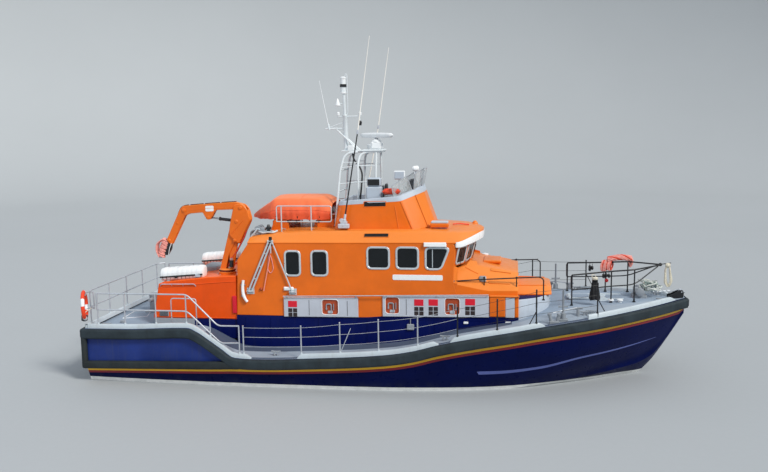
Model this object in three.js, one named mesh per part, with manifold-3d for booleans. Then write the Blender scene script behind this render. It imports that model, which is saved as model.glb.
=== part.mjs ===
// All-weather lifeboat, 17.3 m: decked hard-chine hull, rubber belting, raised
// wheelhouse with an open upper steering position, mast, knuckle crane, rails.
// Frame: millimetres, +X to the bow, +Y to port, +Z up. Origin on the centre
// line, amidships, at the waterline.
import * as THREE from 'three';
import Module from 'manifold-3d';
import { mergeVertices } from 'three/addons/utils/BufferGeometryUtils.js';

const wasm = await Module();
wasm.setup();
const { Manifold } = wasm;

// ---------------------------------------------------------------- dimensions
const GAP = 0.3;              // between touching pieces
const BELT_T = 140;           // rubber belting, how far it stands out
const BELT_H = 250;           // its height
const SHELF = 140;            // flat landing of the toe rail at the deck edge
const WALL = 60;              // wheelhouse wall
const TRUNK_TOP = 1850;       // wheelhouse floor and wall foot
const TRUNK_Y = 1750;         // half width of the deckhouse
const AFT_FLOOR = 1700;       // foot of the aft cabin walls
const CABIN_Y = 1700;         // half width of the aft cabin
const ROOF_EDGE = 3960;       // wheelhouse wall top
const PROP = { x: -7050, y: 1250, z: -950, r: 500, rake: 5.5 };
const SHAFT_R = 38;
const RUDDER = { x: -7700, y: 1250, top: -390, bottom: -1520 };
const CRANE = { x: -4640, y: -1150, deck: 2930 };
const KNUCKLE = { x: -4130, z: 4900 };
const RAM_FOOT = { x: -4270, z: 4500 };   // pin on the column
const RAM_HEAD = { x: -5130, z: 4600 };   // pin on the boom
const RADAR = { x: -340, y: 0, z: 6800 };
const DOOR = { x: -6700, y0: 330, y1: 1030, z0: 1730, z1: 2620 };
const HATCH = { x: 5550, y: 0, w: 620 };
const FRAME_FOOT = { y: 1812, z: 2560 };  // hinge line of the recovery frames

// Hull sections: x station, zk keel line, yc/zc chine, ym/zm mid topside,
// yb half beam (upright from zb up to the sheer zs), zb foot of the upright
// strip, zs sheer, yd/zd inner deck edge.
const HULL = [
  // x,     zk,    yc,   zc,   ym,   zm,   yb,   zb,   zs,   yd,   zd
  [-8450, -560, 2330, -200, 2480, 180, 2600, 440, 1560, 2380, 1480],
  [-7000, -680, 2410, -215, 2560, 200, 2690, 500, 1600, 2450, 1490],
  [-5300, -790, 2460, -220, 2630, 220, 2770, 560, 1680, 2500, 1500],
  [-5000, -805, 2470, -220, 2640, 220, 2780, 570, 1600, 2500, 1440],
  [-4700, -820, 2475, -220, 2645, 220, 2785, 580, 1380, 2500, 1300],
  [-4350, -840, 2480, -220, 2650, 225, 2795, 595, 1080, 2500, 1120],
  [-3950, -860, 2485, -220, 2655, 225, 2800, 610, 880, 2450, 960],
  [-3500, -880, 2490, -218, 2660, 230, 2810, 615, 865, 2400, 930],
  [-1500, -960, 2490, -200, 2660, 260, 2820, 700, 950, 2400, 1010],
  [300, -1000, 2430, -170, 2640, 320, 2820, 840, 1090, 2400, 1150],
  [1000, -1005, 2380, -140, 2610, 370, 2820, 960, 1210, 2400, 1270],
  [1700, -1000, 2310, -110, 2570, 440, 2810, 1150, 1400, 2380, 1460],
  [2800, -980, 2130, -50, 2470, 540, 2760, 1370, 1620, 2300, 1680],
  [3600, -930, 1930, 0, 2340, 620, 2680, 1500, 1750, 2150, 1810],
  [4400, -850, 1640, 60, 2130, 700, 2500, 1620, 1870, 1800, 1990],
  [5200, -720, 1270, 120, 1840, 770, 2240, 1710, 1960, 1500, 2140],
  [5900, -540, 920, 190, 1500, 850, 1930, 1770, 2020, 1250, 2175],
  [6600, -250, 570, 290, 1090, 950, 1530, 1830, 2080, 1050, 2200],
  [7100, -80, 330, 380, 780, 1040, 1190, 1870, 2120, 850, 2210],
  [7550, 340, 120, 560, 480, 1150, 850, 1905, 2155, 600, 2215],
  [7950, 930, 60, 1010, 250, 1340, 530, 1940, 2190, 350, 2190],
  [8250, 1420, 45, 1480, 130, 1680, 280, 1970, 2220, 180, 2220],
  [8450, 1760, 35, 1800, 60, 1890, 130, 1990, 2240, 80, 2240],
].map(([x, zk, yc, zc, ym, zm, yb, zb, zs, yd, zd]) =>
  ({ x, zk, yc, zc, ym, zm, yb, zb, zs, yd, zd }));

const lerp = (a, b, t) => a + (b - a) * t;
function at(key, x) {           // a hull table column at any x
  const n = HULL.length;
  if (x <= HULL[0].x) return HULL[0][key];
  for (let i = 1; i < n; i++) {
    if (x <= HULL[i].x) {
      const a = HULL[i - 1], b = HULL[i];
      return lerp(a[key], b[key], (x - a.x) / (b.x - a.x));
    }
  }
  return HULL[n - 1][key];
}

// ----------------------------------------------------------------- materials
const paint = (color, roughness = 0.45, metalness = 0) =>
  new THREE.MeshStandardMaterial({ color, roughness, metalness });
const MAT = {
  navy: paint(0x0c1748, 0.3), rubber: paint(0x2b3136, 0.8), toe: paint(0xc9d4dc, 0.5),
  orange: paint(0xe8701e, 0.4), redOrange: paint(0xe04e0a, 0.4), grey: paint(0xb9bec9, 0.5),
  deck: paint(0x9fadbb, 0.8), steel: paint(0xc4c8cc, 0.3, 0.9), black: paint(0x15171a, 0.45, 0.3),
  bronze: paint(0x9a7a3e, 0.35, 0.9), glass: paint(0x0d1418, 0.05, 0.1), white: paint(0xe9ebee, 0.45),
  cover: paint(0xf0703a, 0.7), seat: paint(0x2a2c30, 0.8), antifoul: paint(0x1b1f26, 0.7),
};

// ------------------------------------------------------------------- solids
function man(geometry) {
  const g = geometry.clone();
  for (const name of Object.keys(g.attributes)) if (name !== 'position') g.deleteAttribute(name);
  const m = mergeVertices(g, 1e-3);
  return new Manifold(new wasm.Mesh({
    numProp: 3,
    vertProperties: new Float32Array(m.attributes.position.array),
    triVerts: new Uint32Array(m.index.array),
  }));
}
function geo(solid) {
  const mesh = solid.simplify(0.02).getMesh();
  const g = new THREE.BufferGeometry();
  g.setAttribute('position', new THREE.BufferAttribute(new Float32Array(mesh.vertProperties), 3));
  g.setIndex(new THREE.BufferAttribute(new Uint32Array(mesh.triVerts), 1));
  g.computeVertexNormals();
  return g;
}
const join = (list) => list.reduce((a, b) => a.add(b));
const cut = (a, list) => list.reduce((s, b) => s.subtract(b), a);

const group = new THREE.Group();
group.name = 'lifeboat';
function put(name, solid, material) {
  const mesh = new THREE.Mesh(geo(solid), material);
  mesh.name = name;
  group.add(mesh);
  return mesh;
}

const box = (x0, x1, y0, y1, z0, z1) =>
  man(new THREE.BoxGeometry(x1 - x0, y1 - y0, z1 - z0)
    .translate((x0 + x1) / 2, (y0 + y1) / 2, (z0 + z1) / 2));
const shapeOf = (pts) => new THREE.Shape(pts.map(([a, b]) => new THREE.Vector2(a, b)));
// outline in X-Z, thickness along Y
const slabY = (pts, y0, y1) => man(new THREE.ExtrudeGeometry(
  Array.isArray(pts) ? shapeOf(pts) : pts, { depth: y1 - y0, bevelEnabled: false, curveSegments: 2 })
  .rotateX(Math.PI / 2).translate(0, y1, 0));
// outline in X-Y, thickness along Z
const slabZ = (pts, z0, z1) => man(new THREE.ExtrudeGeometry(
  Array.isArray(pts) ? shapeOf(pts) : pts, { depth: z1 - z0, bevelEnabled: false, curveSegments: 3 })
  .translate(0, 0, z0));
// outline in Y-Z, thickness along X
const slabX = (pts, x0, x1) => man(new THREE.ExtrudeGeometry(
  Array.isArray(pts) ? shapeOf(pts) : pts, { depth: x1 - x0, bevelEnabled: false, curveSegments: 3 })
  .rotateX(Math.PI / 2).rotateZ(Math.PI / 2).translate(x0, 0, 0));
const V = (p) => new THREE.Vector3(p[0], p[1], p[2]);
function rod(a, b, r, n = 8, r2 = r) {
  const A = V(a), B = V(b), d = B.clone().sub(A), len = d.length();
  const g = new THREE.CylinderGeometry(r2, r, len, n).translate(0, len / 2, 0);
  g.applyQuaternion(new THREE.Quaternion().setFromUnitVectors(new THREE.Vector3(0, 1, 0), d.normalize()));
  return man(g.translate(A.x, A.y, A.z));
}
const ball = (p, r, n = 0) => man(new THREE.IcosahedronGeometry(r, n).translate(...p));
// tube along a polyline, mitred at its bends
function pipe(pts, r, n = 5) {
  const P = pts.map(V), D = P.slice(1).map((p, i) => p.clone().sub(P[i]).normalize());
  const up = Math.abs(D[0].z) < 0.8 ? new THREE.Vector3(0, 0, 1) : new THREE.Vector3(1, 0, 0);
  const e1 = up.clone().cross(D[0]).normalize(), e2 = D[0].clone().cross(e1);
  let ring = Array.from({ length: n }, (_, k) => {
    const a = (2 * Math.PI * k) / n;
    return P[0].clone().addScaledVector(e1, r * Math.cos(a)).addScaledVector(e2, r * Math.sin(a));
  });
  const rings = [ring];
  for (let i = 1; i < P.length; i++) {
    const d = D[i - 1], m = i < D.length ? d.clone().add(D[i]).normalize() : d;
    ring = ring.map((q) => q.clone().addScaledVector(d, P[i].clone().sub(q).dot(m) / d.dot(m)));
    rings.push(ring);
  }
  return loft(rings.map((g) => g.map((q) => q.toArray())));
}
function roundRect(x0, x1, z0, z1, r) {
  const s = new THREE.Shape();
  s.moveTo(x0 + r, z0); s.lineTo(x1 - r, z0); s.quadraticCurveTo(x1, z0, x1, z0 + r);
  s.lineTo(x1, z1 - r); s.quadraticCurveTo(x1, z1, x1 - r, z1);
  s.lineTo(x0 + r, z1); s.quadraticCurveTo(x0, z1, x0, z1 - r);
  s.lineTo(x0, z0 + r); s.quadraticCurveTo(x0, z0, x0 + r, z0);
  return s;
}
// rings of equal point count -> closed solid; loop = last ring joins the first
function loft(rings, loop = false) {
  const n = rings[0].length, pos = [], idx = [];
  rings.forEach((ring) => ring.forEach((p) => pos.push(...p)));
  const last = loop ? rings.length : rings.length - 1;
  for (let i = 0; i < last; i++) {
    const a = i * n, b = ((i + 1) % rings.length) * n;
    for (let j = 0; j < n; j++) {
      const k = (j + 1) % n;
      idx.push(a + j, b + j, b + k, a + j, b + k, a + k);
    }
  }
  if (!loop) {
    for (const [start, flip] of [[0, true], [(rings.length - 1) * n, false]]) {
      const ring = rings[start / n];
      const o = V(ring[0]), e1 = new THREE.Vector3(), nn = new THREE.Vector3();
      for (let j = 0; j < n; j++) {           // Newell normal
        const p = V(ring[j]), q = V(ring[(j + 1) % n]);
        nn.add(new THREE.Vector3((p.y - q.y) * (p.z + q.z), (p.z - q.z) * (p.x + q.x), (p.x - q.x) * (p.y + q.y)));
      }
      nn.normalize();
      e1.set(Math.abs(nn.x) < 0.9 ? 1 : 0, Math.abs(nn.x) < 0.9 ? 0 : 1, 0).cross(nn).normalize();
      const e2 = nn.clone().cross(e1);
      const flat = ring.map((p) => { const d = V(p).sub(o); return new THREE.Vector2(d.dot(e1), d.dot(e2)); });
      for (const t of THREE.ShapeUtils.triangulateShape(flat, [])) {
        const [i0, i1, i2] = t;
        const area = (flat[i1].x - flat[i0].x) * (flat[i2].y - flat[i0].y) - (flat[i1].y - flat[i0].y) * (flat[i2].x - flat[i0].x);
        const tri = area > 0 ? [i0, i1, i2] : [i0, i2, i1];
        const order = flip ? tri : [tri[0], tri[2], tri[1]];
        idx.push(start + order[0], start + order[1], start + order[2]);
      }
    }
  }
  let vol = 0;
  const P = (i) => new THREE.Vector3(pos[3 * i], pos[3 * i + 1], pos[3 * i + 2]);
  for (let i = 0; i < idx.length; i += 3) vol += P(idx[i]).dot(P(idx[i + 1]).cross(P(idx[i + 2])));
  if (vol < 0) for (let i = 0; i < idx.length; i += 3) { const t = idx[i + 1]; idx[i + 1] = idx[i + 2]; idx[i + 2] = t; }
  const g = new THREE.BufferGeometry();
  g.setAttribute('position', new THREE.Float32BufferAttribute(pos, 3));
  g.setIndex(idx);
  return man(g);
}
const mirrorY = (m) => m.mirror([0, 1, 0]);

// ------------------------------------------------------------------- hull
const SHAFT_SLOPE = Math.tan(PROP.rake * Math.PI / 180);
const shaftZ = (x) => PROP.z + (x - PROP.x) * SHAFT_SLOPE;
let hull = loft(HULL.map((s) => [
  [s.x, 0, s.zk], [s.x, s.yc, s.zc], [s.x, s.ym, s.zm], [s.x, s.yb, s.zb], [s.x, s.yb, s.zs],
  [s.x, s.yb - Math.min(SHELF, s.yb * 0.4), s.zs], [s.x, s.yd - Math.min(SHELF, s.yb * 0.2), s.zd],
  [s.x, -s.yd + Math.min(SHELF, s.yb * 0.2), s.zd], [s.x, -s.yb + Math.min(SHELF, s.yb * 0.4), s.zs], [s.x, -s.yb, s.zs], [s.x, -s.yb, s.zb], [s.x, -s.ym, s.zm], [s.x, -s.yc, s.zc],
]));
for (const side of [-1, 1]) {
  const y = side * PROP.y;
  // part tunnel over the propeller, stern tube hole and rudder stock hole
  hull = cut(hull, [
    rod([-8600, y, shaftZ(-8600) + 60], [-4600, y, shaftZ(-4600) - 330], 590, 20),
    rod([-4700, y, shaftZ(-4700)], [-2600, y, shaftZ(-2600)], SHAFT_R + 14, 12),
    rod([RUDDER.x, y, -900], [RUDDER.x, y, -160], 62, 12),
  ]);
}
// shallow well under the foredeck hatch
hull = hull.subtract(box(HATCH.x - HATCH.w / 2 + 50, HATCH.x + HATCH.w / 2 - 50, -HATCH.w / 2 + 50, HATCH.w / 2 - 50, 1880, 2400));
put('hull', hull, MAT.navy);
const seat = (m) => m.subtract(hull.translate([0, 0, GAP]));
const hang = (m) => m.subtract(hull.translate([0, 0, -GAP]));

// Belting path: hull edge with outward normals, all round.
function edgePath(yKey = 'yb', inset = 0, xs = HULL.map((s) => s.x)) {
  const pts = [];
  const side = xs.map((x) => [x, at(yKey, x)]);
  for (const [x, y] of side) pts.push([x, y]);
  for (const [x, y] of [...side].reverse()) pts.push([x, -y]);
  return pts.map((p, i) => {
    const a = pts[(i + pts.length - 1) % pts.length], b = pts[(i + 1) % pts.length];
    const n1 = new THREE.Vector2(-(p[1] - a[1]), p[0] - a[0]).normalize();
    const n2 = new THREE.Vector2(-(b[1] - p[1]), b[0] - p[0]).normalize();
    const n = n1.add(n2).normalize();
    const miter = Math.min(1.5, 1 / Math.max(0.55, n.dot(n2)));
    return { x: p[0], y: p[1], nx: n.x * miter, ny: n.y * miter };
  });
}
function ribbon(path, profile, zAt, closed = true) {
  return loft(path.map((p) => profile.map(([o, z]) =>
    [p.x + p.nx * o, p.y + p.ny * o, zAt(p.x + p.nx * o, p) + z])), closed);
}
const path = edgePath();
// o: out from the hull side, z: below the line
const beltProfile = [[2, -BELT_H], [BELT_T - 35, -BELT_H + 4], [BELT_T, -BELT_H + 40], [BELT_T, -40], [BELT_T - 35, -4], [2, 0]];
const upperBelt = ribbon(path, beltProfile, (x, p) => at('zs', p.x));
const aftPath = path.filter((p) => p.x <= -3500);
const aftOrder = [...aftPath.filter((p) => p.y < 0), ...aftPath.filter((p) => p.y > 0)];
const lowProfile = [[2, 0], [BELT_T - 40, 4], [BELT_T - 8, 35], [BELT_T - 8, 155], [BELT_T - 40, 186], [2, 190]];
const lowerBelt = ribbon(aftOrder, lowProfile, (x, p) => at('zb', p.x), false);
const cornerGuards = [-1, 1].map((s) => rod([-8490, s * 2640, 600], [-8490, s * 2640, 1400], 75, 8));
put('rubber_belting', seat(join([upperBelt, lowerBelt])).add(
  cut(join(cornerGuards), [hull.scale([1, 1, 1]).translate([0, 0, 0])
    .add(box(-8451, -8300, -2602, 2602, 400, 1600))])), MAT.rubber);

// Toe rail: one low strip all round the deck edge, full height between its gaps.
const TOE_LOW = 24, TOE_HIGH = 125, TOE_LIFT = 4;
// x from, x to: gaps for drainage and boarding, and the anchor's way at the bow
const TOE_GAPS = [[-3480, -2180], [1700, 2010], [4500, 5650], [8180, 8600]];
const inGap = (x) => TOE_GAPS.some(([a, b]) => x > a && x < b);
const toeXs = [...new Set([...HULL.map((h) => h.x), ...TOE_GAPS.flatMap(([a, b]) => [a - 3, a + 3, b - 3, b + 3])])]
  .filter((x) => x <= 8450).sort((a, b) => a - b);
const toeTop = (p) => inGap(p.x) ? TOE_LOW : TOE_HIGH;
const toeRail = loft(edgePath('yb', 0, toeXs).map((p) => {
  const P = (o, z) => [p.x + p.nx * o, p.y + p.ny * o, at('zs', p.x + p.nx * o) + z];
  return [P(-105, TOE_LIFT), P(-25, TOE_LIFT), P(-30, toeTop(p)), P(-100, toeTop(p))];
}), true);
put('toe_rail', toeRail, MAT.toe);
const offToe = (m) => cut(m, [[0, 0, GAP], [GAP, 0, 0], [-GAP, 0, 0], [0, GAP, 0], [0, -GAP, 0]].map((d) => toeRail.translate(d)));
const onDeck = (m) => offToe(seat(m));

// -------------------------------------------------------- below the waterline
put('centre_skeg', hang(slabY([[-7300, -400], [-6900, -1780], [-2600, -1780], [-1400, -700]], -70, 70)), MAT.antifoul);
for (const [side, s] of [['port', 1], ['starboard', -1]]) {
  put(`bilge_keel_${side}`, hang(slabY([[-7000, -200], [-6500, -1640], [-3000, -1640], [-1900, -150]],
    s * 1950 - 45, s * 1950 + 45)), MAT.antifoul);
  const y = s * PROP.y;
  const bx = PROP.x + 420;      // bracket barrel centre
  const barrel = rod([bx - 130, y, shaftZ(bx - 130)], [bx + 130, y, shaftZ(bx + 130)], 72, 12);
  const leg = (dy) => loft([[-45, 45]].flatMap(() => [0, 1].map((t) => {
    const cy = y + dy * t, z = t ? -150 : shaftZ(bx);
    return [[bx - 110, cy - 14, z], [bx + 110, cy - 14, z], [bx + 110, cy + 14, z], [bx - 110, cy + 14, z]];
  })));
  const bore = rod([bx - 200, y, shaftZ(bx - 200)], [bx + 200, y, shaftZ(bx + 200)], SHAFT_R + 3, 12);
  put(`shaft_bracket_${side}`, hang(join([barrel, leg(300), leg(-300)])).subtract(bore), MAT.bronze);

  // propeller with its shaft, turning in the bracket
  const axis = new THREE.Vector3(1, 0, SHAFT_SLOPE).normalize();
  let prop = join([
    rod([PROP.x - 150, y, shaftZ(PROP.x - 150)], [PROP.x + 150, y, shaftZ(PROP.x + 150)], 95, 10),
    rod([PROP.x - 260, y, shaftZ(PROP.x - 260)], [PROP.x - 149, y, shaftZ(PROP.x - 149)], 30, 10, 95),
    rod([PROP.x + 100, y, shaftZ(PROP.x + 100)], [-2900, y, shaftZ(-2900)], SHAFT_R, 10),
  ]);
  for (let k = 0; k < 4; k++) {
    // blade sections: r radius, c half chord, pitch angle, t half thickness
    const blade = [[70, 90, 62, 24], [180, 150, 48, 20], [320, 175, 36, 17], [430, 150, 30, 14], [495, 60, 27, 11]]
      .map(([r, c, deg, t]) => {
        const a = deg * Math.PI / 180;
        return [[-c, -8], [-c, 8], [0, t], [c, 8], [c, -8], [0, -t]].map(([u, v]) =>
          [u * Math.sin(a) + v * Math.cos(a), s * (u * Math.cos(a) - v * Math.sin(a)), r]);
      });
    let b = loft(blade).rotate([k * 90 + 20, 0, 0]);
    b = b.rotate([0, -PROP.rake, 0]).translate([PROP.x, y, PROP.z]);
    prop = prop.add(b);
  }
  put(`propeller_${side}`, prop, MAT.bronze);

  // rudder: foil blade and stock
  const foil = [[260, 0], [200, 34], [40, 46], [-180, 34], [-430, 8], [-430, -8], [-180, -34], [40, -46], [200, -34]];
  const ring = (z, k) => foil.map(([u, v]) => [RUDDER.x + u * k, y + v, z]);
  put(`rudder_${side}`, join([
    loft([ring(RUDDER.top - 90, 1), ring(-900, 1), ring(RUDDER.bottom, 0.8)]),
    rod([RUDDER.x, y, RUDDER.top - 200], [RUDDER.x, y, -175], 45, 12),
  ]), MAT.antifoul);
}

// -------------------------------------------------------------- deckhouse
// plan of the deckhouse trunk: x, half width
const TRUNK_PLAN = [[-4200, TRUNK_Y], [3000, TRUNK_Y], [3800, 1690], [4350, 1330], [4620, 900], [4700, 400]];
const ringPlan = (list, off = 0) => [...list.map(([x, y]) => [x, -y + off]), ...[...list].reverse().map(([x, y]) => [x, y - off])];
const trunk = join([
  slabZ(ringPlan(TRUNK_PLAN.slice(0, 3)), 500, TRUNK_TOP),
  slabZ(ringPlan([[3000, TRUNK_Y], ...TRUNK_PLAN.slice(2)]), 500, 2420),
  slabZ(ringPlan([[-6780, 1600], [-6700, CABIN_Y], [-4100, CABIN_Y]]), 500, AFT_FLOOR),
]);
put('deckhouse_trunk', seat(trunk), MAT.navy);

// coach roof in front of the windscreen: x, y half width of the foot, z foot,
// half width of the top, z top
const coach = loft([
  [2120, 1745, 1, 1400, 3230], [2480, 1748, 1, 1150, 3320], [3000, 1748, 1, 1080, 3200], [3780, 1690, 1, 980, 3060],
].map(([x, yf, _, yt, zt]) => {
  const zk = lerp(2860, 2680, Math.min(1, Math.max(0, (x - 2030) / 900)));
  return [[x, yf, TRUNK_TOP + GAP], [x, yf, zk], [x, yt, zt], [x, 0, zt + 25], [x, -yt, zt], [x, -yf, zk], [x, -yf, TRUNK_TOP + GAP]];
}));
const nose = loft([[3700, 1050, 2640], [4600, 960, 2635], [4720, 880, 2600]].map(([x, y, z]) =>
  [[x, y, 2420 + GAP], [x, y, 2460], [x, y - 330, z], [x, -y + 330, z], [x, -y, 2460], [x, -y, 2420 + GAP]]));
put('coach_roof', join([coach.subtract(box(2990, 4000, -1800, 1800, 1800, 2420 + GAP)), nose]), MAT.orange);

// wheelhouse sides. Window outlines on the wall: x0, x1, z0, z1, x1 at the foot
const WINDOWS = [
  [-2750, -2270, 3000, 3745, -2270], [-1985, -1480, 3010, 3755, -1480], [-390, 270, 3230, 3870, 270],
  [430, 1080, 3235, 3875, 1080], [1240, 1950, 3230, 3870, 1700],
].map(([x0, x1, z0, z1, xf]) => ({ x0, x1, z0, z1, xf }));
const FRAME = 55;            // window frame width
function paneShape(w, inset, r) {
  const x0 = w.x0 + inset, x1 = w.x1 - inset, xf = w.xf - inset, z0 = w.z0 + inset, z1 = w.z1 - inset;
  const s = new THREE.Shape();
  s.moveTo(x0 + r, z0); s.lineTo(xf - r, z0); s.quadraticCurveTo(xf, z0, lerp(xf, x1, 0.2), z0 + r);
  s.lineTo(lerp(xf, x1, 0.85), z1 - r); s.quadraticCurveTo(x1, z1, x1 - r, z1);
  s.lineTo(x0 + r, z1); s.quadraticCurveTo(x0, z1, x0, z1 - r);
  s.lineTo(x0, z0 + r); s.quadraticCurveTo(x0, z0, x0 + r, z0);
  return s;
}
const SIDE = [[-4195, TRUNK_TOP + GAP], [-4130, 3450], [-3800, 3930], [2030, ROOF_EDGE], [2090, 3860], [2040, 3300], [2030, 2870], [2110, 2600], [2110, TRUNK_TOP + GAP]];
for (const [side, s] of [['starboard', -1], ['port', 1]]) {
  const y0 = s < 0 ? -TRUNK_Y : TRUNK_Y - WALL, y1 = y0 + WALL;
  let wall = slabY(SIDE, y0, y1);
  for (const w of WINDOWS) wall = wall.subtract(slabY(paneShape(w, FRAME, 70), y0 - 5, y1 + 5));
  put(`wheelhouse_side_${side}`, wall, MAT.orange);
  // one glazing sheet behind the five windows
  const g0 = s < 0 ? y1 + GAP : y0 - GAP - 10;
  put(`side_glazing_${side}`, slabY([[-2800, 2960], [-2800, 3800], [-450, 3900], [1960, 3900], [1760, 3190], [-1300, 3190], [-1430, 2960]], g0, g0 + 10), MAT.glass);
}
// windscreen: five faces between a foot line and a head line
const FRONT = [[2040, 1680], [2280, 1180], [2420, 430], [2420, -430], [2280, -1180], [2040, -1680]];
const HEAD = FRONT.map(([x, y]) => [x + 170, y * 1.0]);
const face = (list, z, dx = 0, k = 1) => list.map(([x, y]) => [x + dx, y * k, z]);
function frontRing(z, t) {
  const f = (z - 3330) / (3900 - 3330);
  const outer = FRONT.map(([x, y]) => [x + 150 * Math.max(-0.1, f), y, z]);
  const inner = [...FRONT].reverse().map(([x, y]) => [x + 150 * Math.max(-0.1, f) - t, y, z]);
  return [...outer, ...inner];
}
let screen = loft([frontRing(3330 + GAP, 70), frontRing(3900, 70)]);
const glassSheet = loft([frontRing(3345, 12), frontRing(3890, 12)]);
for (let i = 0; i < 5; i++) {
  const a = new THREE.Vector2(...FRONT[i]), b = new THREE.Vector2(...FRONT[i + 1]);
  const d = b.clone().sub(a), len = d.length(), mid = a.clone().add(b).multiplyScalar(0.5);
  const panes = i === 2 ? [-0.25, 0.25] : [0];
  for (const c of panes) {
    const w = (panes.length === 2 ? len / 2 : len) - 130;
    const hole = man(new THREE.ExtrudeGeometry(roundRect(-w / 2, w / 2, 3420, 3840, 60), { depth: 500, bevelEnabled: false, curveSegments: 1 })
      .translate(0, 0, -250).rotateX(Math.PI / 2)
      .rotateZ(Math.atan2(d.y, d.x)));
    const cx = mid.x + d.x * c + 78, cy = mid.y + d.y * c;
    screen = screen.subtract(hole.translate([cx, cy, 0]));
  }
}
put('wheelhouse_front', screen, MAT.white);
put('front_glazing', glassSheet.translate([-90, 0, 0]).intersect(box(1500, 3000, -1640, 1640, 3300, 3900)), MAT.glass);
// aft bulkhead between the sides, above and below the aft cabin roof
put('wheelhouse_aft_bulkhead', loft([
  [-4193, TRUNK_TOP + 1], [-4128, 3450], [-3830, 3880],
].map(([x, z]) => [[x, 1689, z], [x, -1689, z], [x + WALL, -1689, z], [x + WALL, 1689, z]]))
  .subtract(box(-4300, -4000, DOOR.y0, DOOR.y1 - 30, TRUNK_TOP + 40, 2870)), MAT.orange);

// roof: shell with sloped edges. x, half width foot, foot z, half width top, z top, z middle
const ROOF = [
  [-3810, 1755, 3945, 1500, 4060, 4120], [-3500, 1755, 3950, 1450, 4130, 4200], [-1400, 1755, 3965, 1430, 4240, 4300],
  [1200, 1755, 3985, 1400, 4260, 4330], [2180, 1755, 3990, 1350, 4220, 4330], [2480, 1380, 4000, 1050, 4200, 4300],
  [2680, 860, 4010, 640, 4190, 4260], [2790, 330, 4020, 240, 4180, 4200],
].map(([x, yf, zf, yt, zt, zc]) => ({ x, yf, zf, yt, zt, zc }));
const roofOuter = loft(ROOF.map((s) => [[s.x, s.yf, s.zf + 12], [s.x, s.yt, s.zt], [s.x, 0, s.zc], [s.x, -s.yt, s.zt], [s.x, -s.yf, s.zf + 12],
  [s.x, -s.yf, s.zf - 40], [s.x, s.yf, s.zf - 40]]));
const roofInner = loft(ROOF.slice(0, 5).map((s, i) => [[s.x + (i ? 0 : 60), s.yf - 130, s.zf - 60], [s.x + (i ? 0 : 60), s.yt - 60, s.zt - 70],
  [s.x + (i ? 0 : 60), 0, s.zc - 70], [s.x + (i ? 0 : 60), -s.yt + 60, s.zt - 70], [s.x + (i ? 0 : 60), -s.yf + 130, s.zf - 60]]));
const wallTops = join([-1, 1].map((s) => slabY([[-4300, 1800], [-4300, 3400], [-3800, 3931], [2031, ROOF_EDGE + 1], [2091, 3860], [2200, 3000]], s < 0 ? -TRUNK_Y - 10 : TRUNK_Y - WALL - 1, s < 0 ? -TRUNK_Y + WALL + 1 : TRUNK_Y + 10)));
put('wheelhouse_roof', cut(roofOuter, [roofInner, wallTops,
  loft([[-4193, 3000], [-3829, 3881]].map(([x, z]) => [[x - 100, 1689, z], [x - 100, -1689, z], [x + WALL + 2, -1689, z], [x + WALL + 2, 1689, z]])),
  loft([frontRing(3700, 71), frontRing(3902, 71)])]), MAT.orange);

// inside, seen through the windows
put('wheelhouse_console', join([
  box(1150, 1900, -1500, 1500, TRUNK_TOP + GAP, 2750), slabY([[1150, 2740], [1350, 3050], [1900, 3050], [1900, 2740]], -1450, 1450)]), MAT.black);
const seatAt = (x, y) => [
  box(x - 60, x + 60, y - 30, y + 30, TRUNK_TOP + 30, 2360), box(x - 240, x + 240, y - 230, y + 230, 2340, 2480),
  slabY([[x - 250, 2470], [x - 340, 3150], [x - 240, 3170], [x - 130, 2470]], y - 220, y + 220)];
put('crew_seats', join([
  box(-2600, 500, -930, -870, TRUNK_TOP + GAP, TRUNK_TOP + 40), box(-2600, 500, 870, 930, TRUNK_TOP + GAP, TRUNK_TOP + 40),
  box(-900, -840, -930, 930, TRUNK_TOP + GAP, TRUNK_TOP + 40),
  ...[[300, -900], [300, 900], [-900, -900], [-900, 900], [-2300, -900], [-2300, 900]].flatMap(([x, y]) => seatAt(x, y))]), MAT.seat);

// aft cabin: casing with a door in its aft face
const cabinOuter = slabY([[-6760, AFT_FLOOR + GAP], [-6560, 2700], [-6440, 2760], [-5050, 2930], [-4196, 2985], [-4196, AFT_FLOOR + GAP]], -CABIN_Y, CABIN_Y);
const cabinInner = slabY([[-6690, 1600], [-6500, 2640], [-5050, 2865], [-4100, 2920], [-4100, 1600]], -CABIN_Y + WALL, CABIN_Y - WALL);
const doorway = box(-6900, -6400, DOOR.y0, DOOR.y1, DOOR.z0 + 30, DOOR.z1 - 30);
put('aft_cabin', cut(cabinOuter, [cabinInner, doorway]).subtract(box(-4230, -4190, -2000, 2000, 1600, 3100)), MAT.redOrange);
{
  // the door lies on the raked aft face
  const tilt = Math.atan2(200, 1000) * 180 / Math.PI;
  const leaf = box(-45, -5, DOOR.y0 - 40, DOOR.y1 + 40, 20, 890);
  const knob = rod([-45, DOOR.y0 + 90, 450], [-110, DOOR.y0 + 90, 450], 18, 8).add(box(-118, -100, DOOR.y0 + 20, DOOR.y0 + 180, 435, 465));
  put('aft_cabin_door', leaf.add(knob).rotate([0, tilt * 1.0, 0]).translate([-6757, 0, AFT_FLOOR + 25]), MAT.orange);
}

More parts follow.
